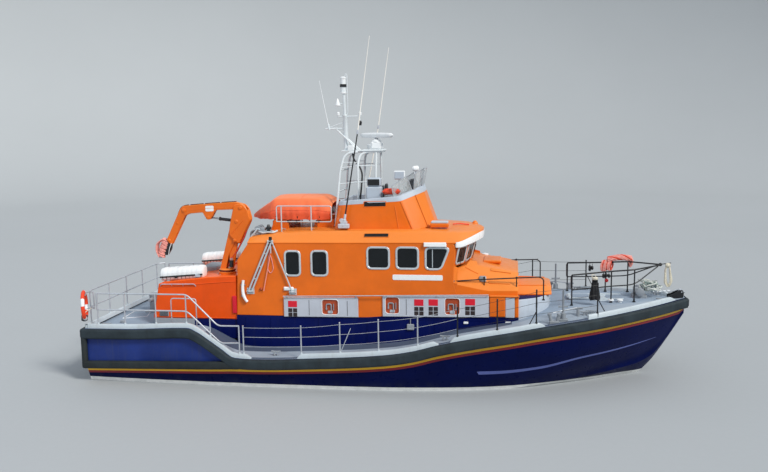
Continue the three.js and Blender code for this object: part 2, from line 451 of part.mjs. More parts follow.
// lockers on the deckhouse side: x0, x1, z0, z1 of a panel; recesses: x0, x1
const LOCKERS = [
  { x0: -2790, x1: -640, z0: 1835, z1: 2400, recess: [[-1680, -1210]] },
  { x0: 50, x1: 2990, z0: 1900, z1: 2500, recess: [[130, 520], [1790, 2200]] },
];
for (const [side, s] of [['starboard', -1], ['port', 1]]) {
  const ya = s < 0 ? -TRUNK_Y - GAP - 45 : TRUNK_Y + GAP, yb = ya + 45;
  const list = LOCKERS.map((p) => {
    let m = slabY([[p.x0, p.z0], [p.x1, p.z0 + (p.x1 - p.x0) * 0.012], [p.x1, p.z1 + (p.x1 - p.x0) * 0.012], [p.x0, p.z1]], ya, yb);
    for (const [a, b] of p.recess) m = m.subtract(slabY(roundRect(a, b, p.z0 + 90, p.z1 - 60, 60), ya - 5, yb + 5));
    return m;
  });
  const yr = s < 0 ? -TRUNK_Y - 90 : TRUNK_Y + 90;
  const posts = [-2700, -700, 150, 1550, 2950].map((x) =>
    rod([x, s < 0 ? yb - 40 : ya + 40, 2380 + (x + 2700) * 0.024], [x, yr, 2440 + (x + 2700) * 0.024], 12, 4));
  put(`side_lockers_${side}`, join([...list, ...posts, rod([-2790, yr, 2438], [2990, yr, 2576], 16, 5)]), MAT.grey);
}

// recovery frame: folding A-frame on the wheelhouse side, hinged at its feet
for (const [side, s] of [['starboard', -1], ['port', 1]]) {
  const y = s * FRAME_FOOT.y;
  const foot = (x) => rod([x - 60, y, FRAME_FOOT.z], [x + 60, y, FRAME_FOOT.z], 26, 6);
  put(`recovery_frame_${side}`, join([
    foot(-3760), foot(-2520),
    rod([-3810, y, FRAME_FOOT.z], [-3160, y, 4020], 26, 5), rod([-3710, y, FRAME_FOOT.z], [-3080, y, 4000], 26, 5),
    rod([-2520, y, FRAME_FOOT.z], [-3090, y, 4040], 20, 5), rod([-3200, y, 4010], [-3040, y, 4010], 32, 6)]), MAT.steel);
}

// ------------------------------------------------ upper steering position
// rings: z is given per point; x, half width at the foot and at the rim
const TUB = [
  // xf,   yf,  zf,   xt,   yt,  zt
  [-1440, 1150, 4215, -1290, 1040, 5060], [850, 1150, 4230, 430, 1040, 5200],
  [1250, 820, 4290, 820, 760, 5360], [1440, 380, 4320, 1040, 380, 5440],
].map(([xf, yf, zf, xt, yt, zt]) => ({ xf, yf, zf, xt, yt, zt }));
function tubRing(t, off, dz = 0) {
  const half = TUB.map((p) => [lerp(p.xf, p.xt, t), lerp(p.yf, p.yt, t), lerp(p.zf, p.zt, t)]);
  const c = (v, o) => v > 0 ? v - o : v + o;
  const pts = [...half, ...[...half].reverse().map(([x, y, z]) => [x, -y, z])];
  return pts.map(([x, y, z]) => [x < -1000 ? x + off : x - off * (x > 700 ? 1 : 0.6), c(y, off), z + dz]);
}
const tubOuter = loft([tubRing(0, 0, 0), tubRing(1, 0, 0)]);
const tubInner = loft([tubRing(0.1, 60, 40), tubRing(1, 60, 0), tubRing(1.25, 60, 200)]);
const roofTop = roofOuter.translate([0, 0, GAP]);
const tub = cut(tubOuter, [tubInner, roofTop]);
put('upper_steering_position', tub, MAT.orange);
put('upper_console', join([
  box(520, 820, -560, 560, 4400, 5250), slabY([[480, 5240], [560, 5420], [800, 5440], [820, 5240]], -520, 520)])
  .subtract(roofTop).subtract(tubOuter.subtract(tubInner).translate([0, 0, GAP]))
  .subtract(box(-2000, 3000, -2000, 2000, 4000, 4420)).add(box(540, 800, -500, 500, 4415, 4425)), MAT.black);
put('upper_seats', join([box(-120, 300, -600, 600, 4380, 4430),
  ...[[80, -380], [80, 380]].flatMap(([x, y]) => [
    rod([x, y, 4410], [x, y, 4900], 60, 8), box(x - 210, x + 210, y - 210, y + 210, 4880, 5000),
    box(x - 240, x - 170, y - 200, y + 200, 4960, 5480)])])
  .subtract(tub.translate([0, 0, GAP])), MAT.seat);
put('upper_windscreen', loft([[5445, 0], [5960, 90]].map(([z, dx]) =>
  [[1000 + dx, -360, z], [1000 + dx, 360, z], [1015 + dx, 360, z], [1015 + dx, -360, z]])), MAT.glass);

// ------------------------------------------------------------------- mast
const LEG = 34;           // leg tube radius
// mast frame legs: polyline per side, x, y, z
const LEGS = [
  [[-1492, 640, 4100], [-1400, 640, 5100], [-1330, 560, 5900], [-1230, 480, 6300], [-1080, 430, 6420], [-820, 430, 6430]],
  [[-790, 640, 4700], [-810, 560, 6100], [-750, 480, 6350], [-600, 430, 6430], [-150, 430, 6440]],
  [[-300, 640, 4700], [-285, 430, 6440]],
];
const legSolids = [-1, 1].flatMap((s) => LEGS.map((l) => pipe(l.map(([x, y, z]) => [x, s * y, z]), LEG, 5)));
const rungs = [-1, 1].map((s) => rod([-1345, s * lerp(640, 560, 0.9), 6050], [-290, s * 484, 6050], 22, 4));
const crossBars = [[-1385, 5300, 620], [-1080, 6425, 430], [-160, 6440, 430]].map(([x, z, y]) => rod([x, -y, z], [x, y, z], 24, 4));
const tubBase = join([-1, 1].flatMap((s) => [[-790], [-300]].map(([x]) => box(x - 60, x + 60, s * 640 - 50, s * 640 + 50, 4440, 4720))));
const mastPole = join([
  box(-1330, -800, -300, 300, 6440, 6480), box(-740, -120, -470, 470, 6450, 6490),
  rod([-1240, 0, 6460], [-1270, 0, 7500], 75, 8, 62), rod([-1270, 0, 7480], [-1290, 0, 8170], 42, 8),
  rod([-1290, 0, 8130], [-1292, 0, 8350], 90, 10), rod([-1292, 0, 8370], [-1294, 0, 8600], 90, 10), rod([-1292, 0, 8340], [-1292, 0, 8380], 50, 6),
  rod([-1180, 0, 7470], [-1180, 0, 8700], 16, 4), rod([-1500, 0, 7475], [-790, 0, 7455], 22, 4),
  rod([-1520, 0, 7800], [-1270, 0, 7840], 16, 4), rod([-1480, 0, 7800], [-1480, 0, 7990], 80, 8, 12),
  rod([-1860, 0, 7110], [-1250, 0, 7120], 20, 4),
  rod([-1520, 0, 7080], [-850, 160, 6470], 16, 4), rod([-1520, 0, 7080], [-850, -160, 6470], 16, 4),
  rod([-1750, 0, 7115], [-2020, 0, 8520], 12, 4, 6),
  rod([-790, 0, 7400], [-790, 0, 7560], 30, 6),
  rod([RADAR.x, 0, 6480], [RADAR.x, 0, RADAR.z - 20], 150, 10, 130), rod([RADAR.x, 0, RADAR.z - 30], [RADAR.x, 0, RADAR.z + 10], 45, 6),
]);
put('mast_frame', cut(join([...legSolids, ...rungs, ...crossBars, mastPole, tubBase]), [roofTop]), MAT.steel);
// radar scanner, turning on its pedestal
put('radar_scanner', join([
  slabZ(roundRect(-620, 620, -75, 75, 70), RADAR.z + 45, RADAR.z + 165),
  rod([0, 0, RADAR.z + 15], [0, 0, RADAR.z + 60], 60, 10)]).rotate([0, 0, -30]).translate([RADAR.x, RADAR.y, 0]), MAT.white);
// whip aerials: foot, joint, tip
const WHIPS = {
  whip_aerial_starboard: [[-1090, -1240, 4560], [-675, -1200, 7030], [-300, -1200, 9640]],
  whip_aerial_port: [[-990, 1240, 4560], [-470, 1200, 7150], [-120, 1200, 9520]],
};
for (const [name, [a, b, c]] of Object.entries(WHIPS)) {
  const s = a[1] < 0 ? -1 : 1;
  put(name, join([rod(a, b, 22, 8), rod(b, c, 16, 8, 7), box(a[0] - 130, a[0] + 130, s < 0 ? a[1] - 60 : a[1] - 75, s < 0 ? a[1] + 75 : a[1] + 60, a[2] - 130, a[2] + 20)])
    .subtract(tubOuter.scale([1, 1, 1]).translate([0, s * GAP * 2, 0])).subtract(roofTop), MAT.white);
}

// ------------------------------------------------------------------ crane
// fixed pedestal, slewing column, boom with its outer arm, ram in two pieces
const cx = CRANE.x, cy = CRANE.y;
const cabinTop = cabinOuter.translate([0, 0, GAP]);
put('crane_pedestal', cut(rod([cx, cy, 2700], [cx, cy, 3020], 255, 20), [cabinTop, box(-4197.5, -4000, -3000, 3000, 2000, 4000)]), MAT.orange);
const P2 = (pts, w) => slabY(pts, cy - w / 2, cy + w / 2);
put('crane_column', join([
  rod([cx, cy, 3030], [cx, cy, 3110], 235, 20),
  P2([[-4830, 3100], [-4640, 3780], [-4480, 4360], [-4360, 4700], [-4290, 4780], [-4215, 4560], [-4290, 4300], [-4350, 3900], [-4560, 3500], [-4650, 3100]], 190),
  P2([[-4440, 3100], [-4300, 3850], [-4360, 4000], [-4560, 3700], [-4540, 3100]], 120),
  ...[-1, 1].map((s) => slabY([[-4480, 4360], [-4330, 4990], [-4090, 5010], [-3950, 4880], [-3860, 4540], [-4215, 3840], [-4500, 4100]],
    s < 0 ? cy - 150 : cy + 100, s < 0 ? cy - 100 : cy + 150)),
  P2([[-4060, 4480], [-3935, 4850], [-3860, 4540], [-4215, 3840], [-4400, 3900]], 220),
  rod([KNUCKLE.x, cy - 165, KNUCKLE.z], [KNUCKLE.x, cy - 95, KNUCKLE.z], 55, 10), rod([KNUCKLE.x, cy + 95, KNUCKLE.z], [KNUCKLE.x, cy + 165, KNUCKLE.z], 55, 10),
]).subtract(rod([KNUCKLE.x, cy - 90, KNUCKLE.z], [KNUCKLE.x, cy + 90, KNUCKLE.z], 170, 16))
  .subtract(P2([[-4560, 4380], [-4170, 4380], [-4170, 4680], [-4290, 4860], [-4560, 4860]], 150)), MAT.orange);
put('crane_boom', join([
  P2([[-4110, 4790], [-4020, 4900], [-4110, 5010], [-4310, 5060], [-5220, 5000], [-5900, 4945], [-5990, 4860], [-5840, 4650], [-5690, 4715], [-5300, 4750], [-5190, 4545], [-5070, 4545], [-4900, 4820], [-4350, 4840]], 170),
  P2([[-5900, 4930], [-5990, 4860], [-6450, 3930], [-6380, 3850], [-6290, 3800], [-5840, 4650], [-5760, 4700]], 150),
  P2([[-6480, 3960], [-6640, 3860], [-6800, 3540], [-6760, 3420], [-6600, 3420], [-6430, 3490], [-6290, 3800]], 150),
]).subtract(rod([RAM_HEAD.x, cy - 48, RAM_HEAD.z], [RAM_HEAD.x, cy + 48, RAM_HEAD.z], 88, 12))
  .subtract(P2([[-5260, 4500], [-4700, 4480], [-4700, 4720], [-5000, 4740], [-5260, 4700]], 96)), MAT.orange);
{
  const dx = RAM_HEAD.x - RAM_FOOT.x, dz = RAM_HEAD.z - RAM_FOOT.z, L = Math.hypot(dx, dz), ux = dx / L, uz = dz / L;
  const on = (d) => [RAM_FOOT.x + ux * d, cy, RAM_FOOT.z + uz * d];
  put('crane_ram_barrel', join([
    rod([RAM_FOOT.x, cy - 38, RAM_FOOT.z], [RAM_FOOT.x, cy + 38, RAM_FOOT.z], 50, 12), rod(on(0), on(60), 30, 8),
    rod(on(50), on(560), 48, 12)]).subtract(rod(on(110), on(600), 31, 12)), MAT.steel);
  put('crane_ram_rod', join([
    rod(on(130), on(L - 40), 24, 12), rod([RAM_HEAD.x, cy - 36, RAM_HEAD.z], [RAM_HEAD.x, cy + 36, RAM_HEAD.z], 48, 12), rod(on(L - 60), on(L), 24, 8)]), MAT.steel);
}

// --------------------------------------------------- stowed gear on the roofs
// life raft canisters in cradles on the aft cabin roof
for (const [side, s] of [['starboard', -1], ['port', 1]]) {
  const y = s * 1400;
  const body = loft([-6660, -6600, -6480, -5300, -5180, -5120].map((x, i) => {
    const r = [120, 190, 225, 225, 190, 120][i];
    return Array.from({ length: 12 }, (_, k) => { const a = k * Math.PI / 6; return [x + 40, y + r * Math.cos(a), 2950 + (x + 6660) * 0.078 + r * 0.92 * Math.sin(a)]; });
  }));
  const feet = [-6300, -5500].map((x) => box(x, x + 90, y - 190, y + 190, 2700, 3010));
  put(`liferaft_${side}`, join([body, ...feet]).subtract(cabinTop).subtract(box(-5150, -4000, cy - 300, cy + 300, 3000, 3400)), MAT.white);
}
// covered inflatable: rings x, half width, z low, z high
const COVER = [
  [-3900, 130, 4560, 4680], [-3650, 480, 4500, 4860], [-3350, 720, 4480, 5060], [-3200, 800, 4470, 5170], [-2500, 850, 4460, 5210],
  [-1950, 850, 4460, 5190], [-1680, 820, 4470, 5080], [-1560, 740, 4500, 4980],
].map(([x, y, z0, z1]) => [[0.35, 0], [0.85, 0.12], [1, 0.35], [0.92, 0.6], [0.55, 0.92], [0, 1], [-0.55, 0.92], [-0.92, 0.6], [-1, 0.35], [-0.85, 0.12], [-0.35, 0]]
  .map(([a, b]) => [x, a * y, lerp(z0, z1, b)]));
put('covered_inflatable', loft(COVER), MAT.cover);
// its cradle: two chocks, base rails and the side rails
{
  const chock = (x) => box(x, x + 120, -640, 640, 4150, 4400).add(box(x, x + 120, -620, -300, 4380, 4455)).add(box(x, x + 120, 300, 620, 4380, 4455));
  const rails = [-1, 1].flatMap((s) => [
    ...[-2950, -2070].map((x) => rod([x, s * 1200, 4050], [x, s * 1200, 4940], 22, 5)),
    rod([-3090, s * 1200, 4940], [-1480, s * 1200, 4940], 20, 4), rod([-3090, s * 1200, 4490], [-1480, s * 1200, 4490], 20, 4),
    box(-3000, -2900, s > 0 ? 600 : -1260, s > 0 ? 1260 : -600, 4170, 4290), box(-2120, -2020, s > 0 ? 600 : -1260, s > 0 ? 1260 : -600, 4170, 4290)]);
  put('inflatable_cradle', cut(join([chock(-3010), chock(-2130), box(-3010, -2010, -60, 60, 4150, 4340), ...rails]), [roofTop]), MAT.steel);
}

// ------------------------------------------------------------------- rails
// posts stand on the toe rail, 62 mm inside the hull side
const railY = (x) => at('yb', x) - 62;
const postFoot = (x) => at('zs', x) + (inGap(x) ? TOE_LOW - 14 : TOE_HIGH - 60);
const onToe = (m) => m.subtract(toeRail.translate([0, 0, GAP]));
const edgePost = (x, s, z, r = 21) => rod([x, s * railY(x), postFoot(x)], [x, s * railY(x), z], r, 5);
// guardrail posts per side: x, top z
const POSTS = [[-3700, 1770], [-2060, 1810], [-980, 1930], [80, 2040], [1140, 2170], [2200, 2410], [3240, 2630], [4260, 2860], [5880, 2950]];
const WIRES = [0.95, 0.66, 0.36];       // heights of the guard wires, of the post height
for (const [side, s] of [['starboard', -1], ['port', 1]]) {
  const up = (x, z, f) => lerp(at('zs', x), z, f);
  // each wire is one strand, square in section, from the first post to the last
  const wires = WIRES.map((f) => loft(POSTS.map(([x, z]) => [[0, -9], [9, 0], [0, 9], [-9, 0]].map(([dy, dz]) =>
    [x, s * railY(x) + dy, up(x, z, f) + dz]))));
  put(`guardrail_${side}`, onToe(join([...POSTS.map(([x, z]) => edgePost(x, s, z)), ...wires])), MAT.steel);
  // quarter rail: top and lower tube with the sloping ends
  const R = (x, z) => [x, s * railY(x), z];
  put(`quarter_rail_${side}`, onToe(join([
    pipe([R(-8060, 2580), R(-5300, 2620), R(-4420, 1760), R(-3810, 1770)], 20),
    pipe([R(-8060, 2110), R(-5310, 2150), R(-4350, 1270), R(-3810, 1290)], 18),
    ...[[-8040, 2600], [-7200, 2595], [-6250, 2605], [-5340, 2620], [-4650, 1985], [-3820, 1790]].map(([x, z]) => edgePost(x, s, z)),
  ])), MAT.steel);
}
const sternX = -8450 + 62;
put('stern_rail', onToe(join([
  ...[[2600, 20], [2130, 18]].map(([z, r]) => pipe([[-8170, -2510, z], [sternX, -2330, z], [sternX, 2330, z], [-8170, 2510, z]], r)),
  ...[-2300, -1150, 0, 1150, 2300].map((y) => rod([sternX, y, 1560 + TOE_HIGH - 60], [sternX, y, 2600], 21, 5)),
])), MAT.steel);
// bow pulpit: x, y, top z of its corners, each side; both sides meet at the tip
const PULPIT = [[5260, 1020, 2980], [6350, 760, 3000], [6980, 700, 3050], [7770, 40, 3160]];
put('bow_pulpit', seat(join([
  ...[-1, 1].flatMap((s) => [
    pipe(PULPIT.map(([x, y, z]) => [x, s * y, z]), 20),
    pipe([...PULPIT.slice(0, 3).map(([x, y, z]) => [x, s * y, z - 370]), [7700, s * 95, 3130]], 17),
    ...PULPIT.slice(0, 3).map(([x, y, z]) => rod([x, s * y, 2050], [x, s * y, z], 21, 5))]),
  ball([7770, 0, 3160], 66),
])), MAT.black);
// black handrails beside the coach roof
for (const [side, s] of [['starboard', -1], ['port', 1]]) {
  put(`coach_handrail_${side}`, cut(join([
    pipe([[2040, s * 1560, 3040], [2860, s * 1560, 2990], [4380, s * 1480, 3030], [4470, s * 1480, 2960], [4470, s * 1480, 2380]], 18, 5),
    rod([2860, s * 1560, 2600], [2860, s * 1560, 2990], 18, 5), rod([3740, s * 1500, 2600], [3740, s * 1500, 3005], 18, 5),
  ]), [coach.translate([0, 0, GAP]), coach, nose.translate([0, 0, GAP]), trunk, trunk.translate([0, 0, GAP]),
    join([-1, 1].map((k) => slabY(SIDE, k < 0 ? -TRUNK_Y : TRUNK_Y - WALL, k < 0 ? -TRUNK_Y + WALL : TRUNK_Y)))]), MAT.black);
}

// ------------------------------------------------------------ deck fittings
const hx = HATCH.x, hw = HATCH.w / 2;
put('foredeck_hatch_coaming', seat(cut(box(hx - hw, hx + hw, -hw, hw, 1900, 2180), [box(hx - hw + 50, hx + hw - 50, -hw + 50, hw - 50, 1800, 2300)])), MAT.toe);
put('foredeck_hatch', join([box(hx - hw - 20, hx + hw + 20, -hw - 20, hw + 20, 2185, 2235), rod([hx - hw - 45, -200, 2205], [hx - hw - 45, 200, 2205], 22, 8), box(hx - hw - 45, hx - hw, -180, 180, 2190, 2220)]), MAT.toe);
put('anchor_windlass', seat(join([box(7000, 7420, -230, 230, 2050, 2300), rod([7210, -300, 2400], [7210, 300, 2400], 120, 12), box(7100, 7320, -90, 90, 2280, 2560)])), MAT.steel);
put('bow_fairlead', onDeck(join([box(8000, 8420, -130, -90, 2150, 2420), box(8000, 8420, 90, 130, 2150, 2420), box(8000, 8420, -130, 130, 2150, 2270), rod([8360, -100, 2400], [8360, 100, 2400], 70, 12)])), MAT.black);
put('towing_post', seat(join([rod([-7500, 0, 1300], [-7500, 0, 2080], 130, 12), rod([-7500, -320, 1900], [-7500, 320, 1900], 60, 10), box(-7720, -7280, -220, 220, 1300, 1530)])), MAT.steel);

export default group;
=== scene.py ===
import math

import bpy
import numpy as np
from mathutils import Matrix, Vector


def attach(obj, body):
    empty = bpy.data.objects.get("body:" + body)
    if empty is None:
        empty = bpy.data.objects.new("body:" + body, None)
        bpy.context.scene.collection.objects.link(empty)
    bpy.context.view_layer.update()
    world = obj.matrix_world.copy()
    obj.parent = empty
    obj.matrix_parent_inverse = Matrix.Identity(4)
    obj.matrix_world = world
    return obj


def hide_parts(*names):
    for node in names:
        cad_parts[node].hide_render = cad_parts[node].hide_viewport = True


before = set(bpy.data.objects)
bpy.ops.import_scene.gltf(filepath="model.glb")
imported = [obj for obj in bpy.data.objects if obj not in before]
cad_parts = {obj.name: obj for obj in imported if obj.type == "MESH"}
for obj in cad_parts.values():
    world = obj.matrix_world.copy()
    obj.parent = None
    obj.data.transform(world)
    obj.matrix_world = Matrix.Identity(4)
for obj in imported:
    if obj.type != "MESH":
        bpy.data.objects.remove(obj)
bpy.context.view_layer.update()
RNG = np.random.default_rng(7)

# ------------------------------------------------------------------ camera
EYE = Vector((3.6398, -24.4213, 7.2664))
YAW, PITCH, ROLL, FOCAL = -0.154277, 0.134230, -0.013954, 838.5
f0 = Vector((math.sin(YAW) * math.cos(PITCH), math.cos(YAW) * math.cos(PITCH), -math.sin(PITCH)))
r0 = Vector((math.cos(YAW), -math.sin(YAW), 0))
u0 = r0.cross(f0)
rr = r0 * math.cos(ROLL) + u0 * math.sin(ROLL)
uu = -r0 * math.sin(ROLL) + u0 * math.cos(ROLL)
cam = bpy.data.objects.new("camera", bpy.data.cameras.new("camera"))
bpy.context.scene.collection.objects.link(cam)
cam.matrix_world = Matrix(((rr.x, uu.x, -f0.x, EYE.x), (rr.y, uu.y, -f0.y, EYE.y), (rr.z, uu.z, -f0.z, EYE.z), (0, 0, 0, 1)))
cam.data.sensor_width = 36.0
cam.data.sensor_fit = "HORIZONTAL"
cam.data.lens = FOCAL * 36.0 / 768.0
cam.data.clip_end = 2000
bpy.context.scene.camera = cam
bpy.context.scene.view_settings.view_transform = "Standard"


# --------------------------------------------------------------- materials
def rgb(h):
    c = [int(h[i:i + 2], 16) / 255 for i in (0, 2, 4)]
    return tuple(x / 12.92 if x <= 0.04045 else ((x + 0.055) / 1.055) ** 2.4 for x in c)


class Nodes:
    def __init__(self, name):
        self.mat = bpy.data.materials.new(name)
        self.mat.use_nodes = True
        self.t = self.mat.node_tree
        self.b = self.t.nodes["Principled BSDF"]
        self.co = self.new("ShaderNodeTexCoord").outputs["Object"]

    def new(self, kind, **kw):
        n = self.t.nodes.new(kind)
        for k, v in kw.items():
            setattr(n, k, v)
        return n

    def link(self, a, b):
        self.t.links.new(a, b)

    def noise(self, scale, detail=3.0, stretch=None, rough=0.55):
        n = self.new("ShaderNodeTexNoise")
        n.inputs["Scale"].default_value = scale
        n.inputs["Detail"].default_value = detail
        n.inputs["Roughness"].default_value = rough
        if stretch:
            m = self.new("ShaderNodeMapping")
            m.inputs["Scale"].default_value = stretch
            self.link(self.co, m.inputs["Vector"])
            self.link(m.outputs["Vector"], n.inputs["Vector"])
        else:
            self.link(self.co, n.inputs["Vector"])
        return n.outputs["Fac"]

    def ramp(self, fac, stops, constant=False):
        r = self.new("ShaderNodeValToRGB")
        e = r.color_ramp.elements
        while len(e) < len(stops):
            e.new(0.5)
        for el, (p, c) in zip(e, stops):
            el.position = p
            el.color = (*c, 1) if len(c) == 3 else c
        if constant:
            r.color_ramp.interpolation = "CONSTANT"
        self.link(fac, r.inputs["Fac"])
        return r.outputs["Color"]

    def remap(self, v, a, b, c, d):
        m = self.new("ShaderNodeMapRange")
        for k, x in zip(("From Min", "From Max", "To Min", "To Max"), (a, b, c, d)):
            m.inputs[k].default_value = x
        self.link(v, m.inputs["Value"])
        return m.outputs["Result"]

    def mix(self, fac, a, b, blend="MIX"):
        m = self.new("ShaderNodeMix", data_type="RGBA", blend_type=blend)
        for sock, v in ((m.inputs[0], fac), (m.inputs[6], a), (m.inputs[7], b)):
            if isinstance(v, (int, float)):
                sock.default_value = v
            elif isinstance(v, tuple):
                sock.default_value = (*v, 1)
            else:
                self.link(v, sock)
        return m.outputs[2]

    def math(self, op, a, b=None):
        m = self.new("ShaderNodeMath", operation=op)
        for i, v in enumerate((a, b)):
            if v is None:
                continue
            if isinstance(v, (int, float)):
                m.inputs[i].default_value = v
            else:
                self.link(v, m.inputs[i])
        return m.outputs[0]

    def xyz(self):
        s = self.new("ShaderNodeSeparateXYZ")
        self.link(self.co, s.inputs[0])
        return s.outputs


MATS = {}


def surface(name, color, rough=0.4, metal=0.0, var=0.07, vscale=1.3, streak=0.0, grime=(0.10, 0.09, 0.075),
            grain=120.0, bump=0.15, dist=0.0006, coat=0.0, spec=0.5, speck=0.0, fine=0.0, alpha=None, boot=False, rvar=0.12,
            weave=0.0, brushed=False, painted_top_light=False, sheen=0.0):
    k = Nodes(name)
    c = tuple(color)
    lo, hi = tuple(x * (1 - var) for x in c), tuple(min(1, x * (1 + var)) for x in c)
    big = k.noise(vscale, 4)
    col = k.ramp(big, [(0.35, lo), (0.65, hi)])
    if painted_top_light:
        # painted highlight: faces that look up or forward are lightened towards a paler tint, standing in for the sky
        # light falling on them
        geo = k.new("ShaderNodeNewGeometry")
        s = k.new("ShaderNodeSeparateXYZ")
        k.link(geo.outputs["Normal"], s.inputs[0])
        up = k.remap(k.math("ADD", s.outputs[2], k.math("MULTIPLY", s.outputs[0], 0.45)), 0.15, 0.9, 0.0, painted_top_light)
        col = k.mix(up, col, tuple(min(1, x * 0.88 + d) for x, d in zip(c, (0.12, 0.115, 0.035))))
    if speck:
        col = k.mix(k.math("MULTIPLY", k.remap(k.noise(260, 2), 0.5, 0.75, 0, 1), speck), col, tuple(x * 0.45 for x in c))
    if streak:
        mask = k.remap(k.noise(2.2, 5, (3.2, 3.2, 0.35), 0.65), 0.52, 0.78, 0.0, streak)
        col = k.mix(mask, col, tuple(grime))
        spots = k.remap(k.noise(7.0, 6), 0.62, 0.8, 0.0, streak * 0.8)
        col = k.mix(spots, col, tuple(grime))
    if boot:
        z = k.xyz()[2]
        wob = k.math("ADD", z, k.remap(k.noise(3.0, 2), 0, 1, -0.004, 0.004))
        under = k.ramp(k.noise(2.5, 5), [(0.35, (0.012, 0.014, 0.018)), (0.7, (0.035, 0.04, 0.042))])
        white = k.ramp(k.noise(5, 4), [(0.3, (0.70, 0.72, 0.71)), (0.6, (0.84, 0.85, 0.84))])
        weed = k.remap(wob, 0.09, 0.32, 0.35, 0.0)
        col = k.mix(k.math("MULTIPLY", weed, k.remap(k.noise(4, 6, (1, 1, 0.4)), 0.45, 0.75, 0, 1)), col, (0.05, 0.06, 0.05))
        col = k.mix(k.math("LESS_THAN", wob, 0.108), col, white)
        col = k.mix(k.math("LESS_THAN", wob, 0.0), col, under)
    k.link(col, k.b.inputs["Base Color"])
    rn = k.noise(6.5, 5)
    k.link(k.remap(rn, 0.3, 0.7, max(0.02, rough - rvar * 0.5), min(1, rough + rvar)), k.b.inputs["Roughness"])
    k.b.inputs["Metallic"].default_value = metal
    k.b.inputs["Specular IOR Level"].default_value = spec
    if coat:
        k.b.inputs["Coat Weight"].default_value = coat
        k.b.inputs["Coat Roughness"].default_value = 0.12
    if sheen:
        k.b.inputs["Sheen Weight"].default_value = sheen
        k.b.inputs["Sheen Roughness"].default_value = 0.5
    if alpha is not None:
        k.b.inputs["Alpha"].default_value = alpha
    if weave:
        x, y, z = k.xyz()
        a = k.math("SINE", k.math("MULTIPLY", k.math("ADD", x, z), weave))
        b = k.math("SINE", k.math("MULTIPLY", k.math("SUBTRACT", y, z), weave))
        h = k.math("MULTIPLY", a, b)
    elif brushed:
        h = k.noise(grain, 2, (1, 1, 0.08))
    else:
        h = k.noise(grain, 2)
    h2 = k.noise(3.5, 3)
    hh = k.math("ADD", h, k.math("MULTIPLY", h2, 6.0 if fine == 0 else fine))
    bp = k.new("ShaderNodeBump")
    bp.inputs["Strength"].default_value = bump
    bp.inputs["Distance"].default_value = dist
    k.link(hh, bp.inputs["Height"])
    k.link(bp.outputs["Normal"], k.b.inputs["Normal"])
    MATS[name] = k.mat
    return k.mat


NAVY = surface("navy_paint", rgb("030d40"), 0.30, var=0.12, streak=0.06, spec=0.07, bump=0.08, dist=0.002, grime=(0.02, 0.025, 0.05), boot=True)
NAVY2 = surface("navy_paint_upper", rgb("05114c"), 0.34, spec=0.07, var=0.10, streak=0.15, grime=(0.03, 0.035, 0.05))
ROYAL = surface("royal_panel", rgb("1e3378"), 0.42, spec=0.25, var=0.16, vscale=0.9, streak=0.35, grime=(0.06, 0.07, 0.10), bump=0.2)
GOLD = surface("gold_stripe", rgb("ecb716"), 0.35, var=0.05, streak=0.08)
RED = surface("red_stripe", rgb("86101e"), 0.4, var=0.10, streak=0.1)
SWOOSH = surface("lavender_stripe", rgb("5c68a8"), 0.4, spec=0.2, var=0.05)
DECK = surface("foredeck_nonslip", rgb("8b9bad"), 0.78, var=0.09, vscale=0.8, streak=0.25, grain=330, bump=0.55, dist=0.0012, speck=0.35, grime=(0.22, 0.23, 0.24))
SIDE_DECK = surface("side_deck_nonslip", rgb("475369"), 0.8, var=0.12, vscale=0.8, streak=0.3, grain=330, bump=0.6, dist=0.0012, speck=0.4, grime=(0.10, 0.10, 0.11))
WATERWAY = surface("waterway_paint", rgb("96a3b1"), 0.55, var=0.06, streak=0.25, grime=(0.25, 0.25, 0.23))
TOE = surface("toe_rail_paint", rgb("bcc8d0"), 0.45, var=0.06, streak=0.28, grime=(0.30, 0.30, 0.28))
RUBBER = surface("belting_rubber", rgb("2a343a"), 0.62, var=0.22, vscale=2.4, streak=0.5, grime=(0.015, 0.017, 0.018), grain=190, bump=0.5, dist=0.0012, spec=0.22)
RUBBER2 = surface("lower_belting_rubber", rgb("22292c"), 0.66, var=0.22, vscale=2.4, streak=0.5, grime=(0.03, 0.028, 0.02), grain=190, bump=0.5, dist=0.0012, spec=0.3)
# the orange paints carry a painted highlight on faces that look up or forward
ORANGE = surface("orange_paint", rgb("e26a10"), 0.34, spec=0.3, var=0.07, streak=0.10, coat=0.12, grime=(0.45, 0.14, 0.03), painted_top_light=0.9)
REDOR = surface("red_orange_paint", rgb("ea5206"), 0.34, spec=0.25, var=0.08, streak=0.12, coat=0.08, grime=(0.40, 0.07, 0.01), painted_top_light=0.5)
ORANGE_IN = surface("orange_inside", rgb("b0481a"), 0.5, var=0.10, streak=0.2)
LOCKER = surface("locker_grey", rgb("bac0cb"), 0.42, var=0.05, streak=0.22, grime=(0.33, 0.33, 0.34))
PANEL = surface("light_grey_panel", rgb("b3becb"), 0.45, var=0.06, streak=0.2, grime=(0.30, 0.31, 0.33))
RECESS = surface("recess_brown", rgb("a8421a"), 0.5, var=0.15, vscale=6, streak=0.3, grime=(0.12, 0.04, 0.02))
DARKP = surface("dark_plate", rgb("2b2021"), 0.45, var=0.2, vscale=8)
WHIP = surface("whip_paint", rgb("f3f1ea"), 0.4, var=0.04)
LINE = surface("working_line", rgb("c3c9c4"), 0.75, var=0.15, vscale=6, grain=200, bump=0.4)
LINE2 = surface("working_line_dull", rgb("8fa09a"), 0.75, var=0.15, vscale=6, grain=200, bump=0.4)
REDBUOY = surface("lifebuoy_red", rgb("e8431c"), 0.5, var=0.08, streak=0.1)
REDPLATE = surface("red_plate", rgb("d4102c"), 0.35, var=0.06)
BLACK = surface("black_paint", rgb("17191d"), 0.38, var=0.25, vscale=5, streak=0.15, grime=(0.05, 0.05, 0.05), spec=0.5)
VENT = surface("vent_dark", rgb("0d0e12"), 0.7, var=0.2)
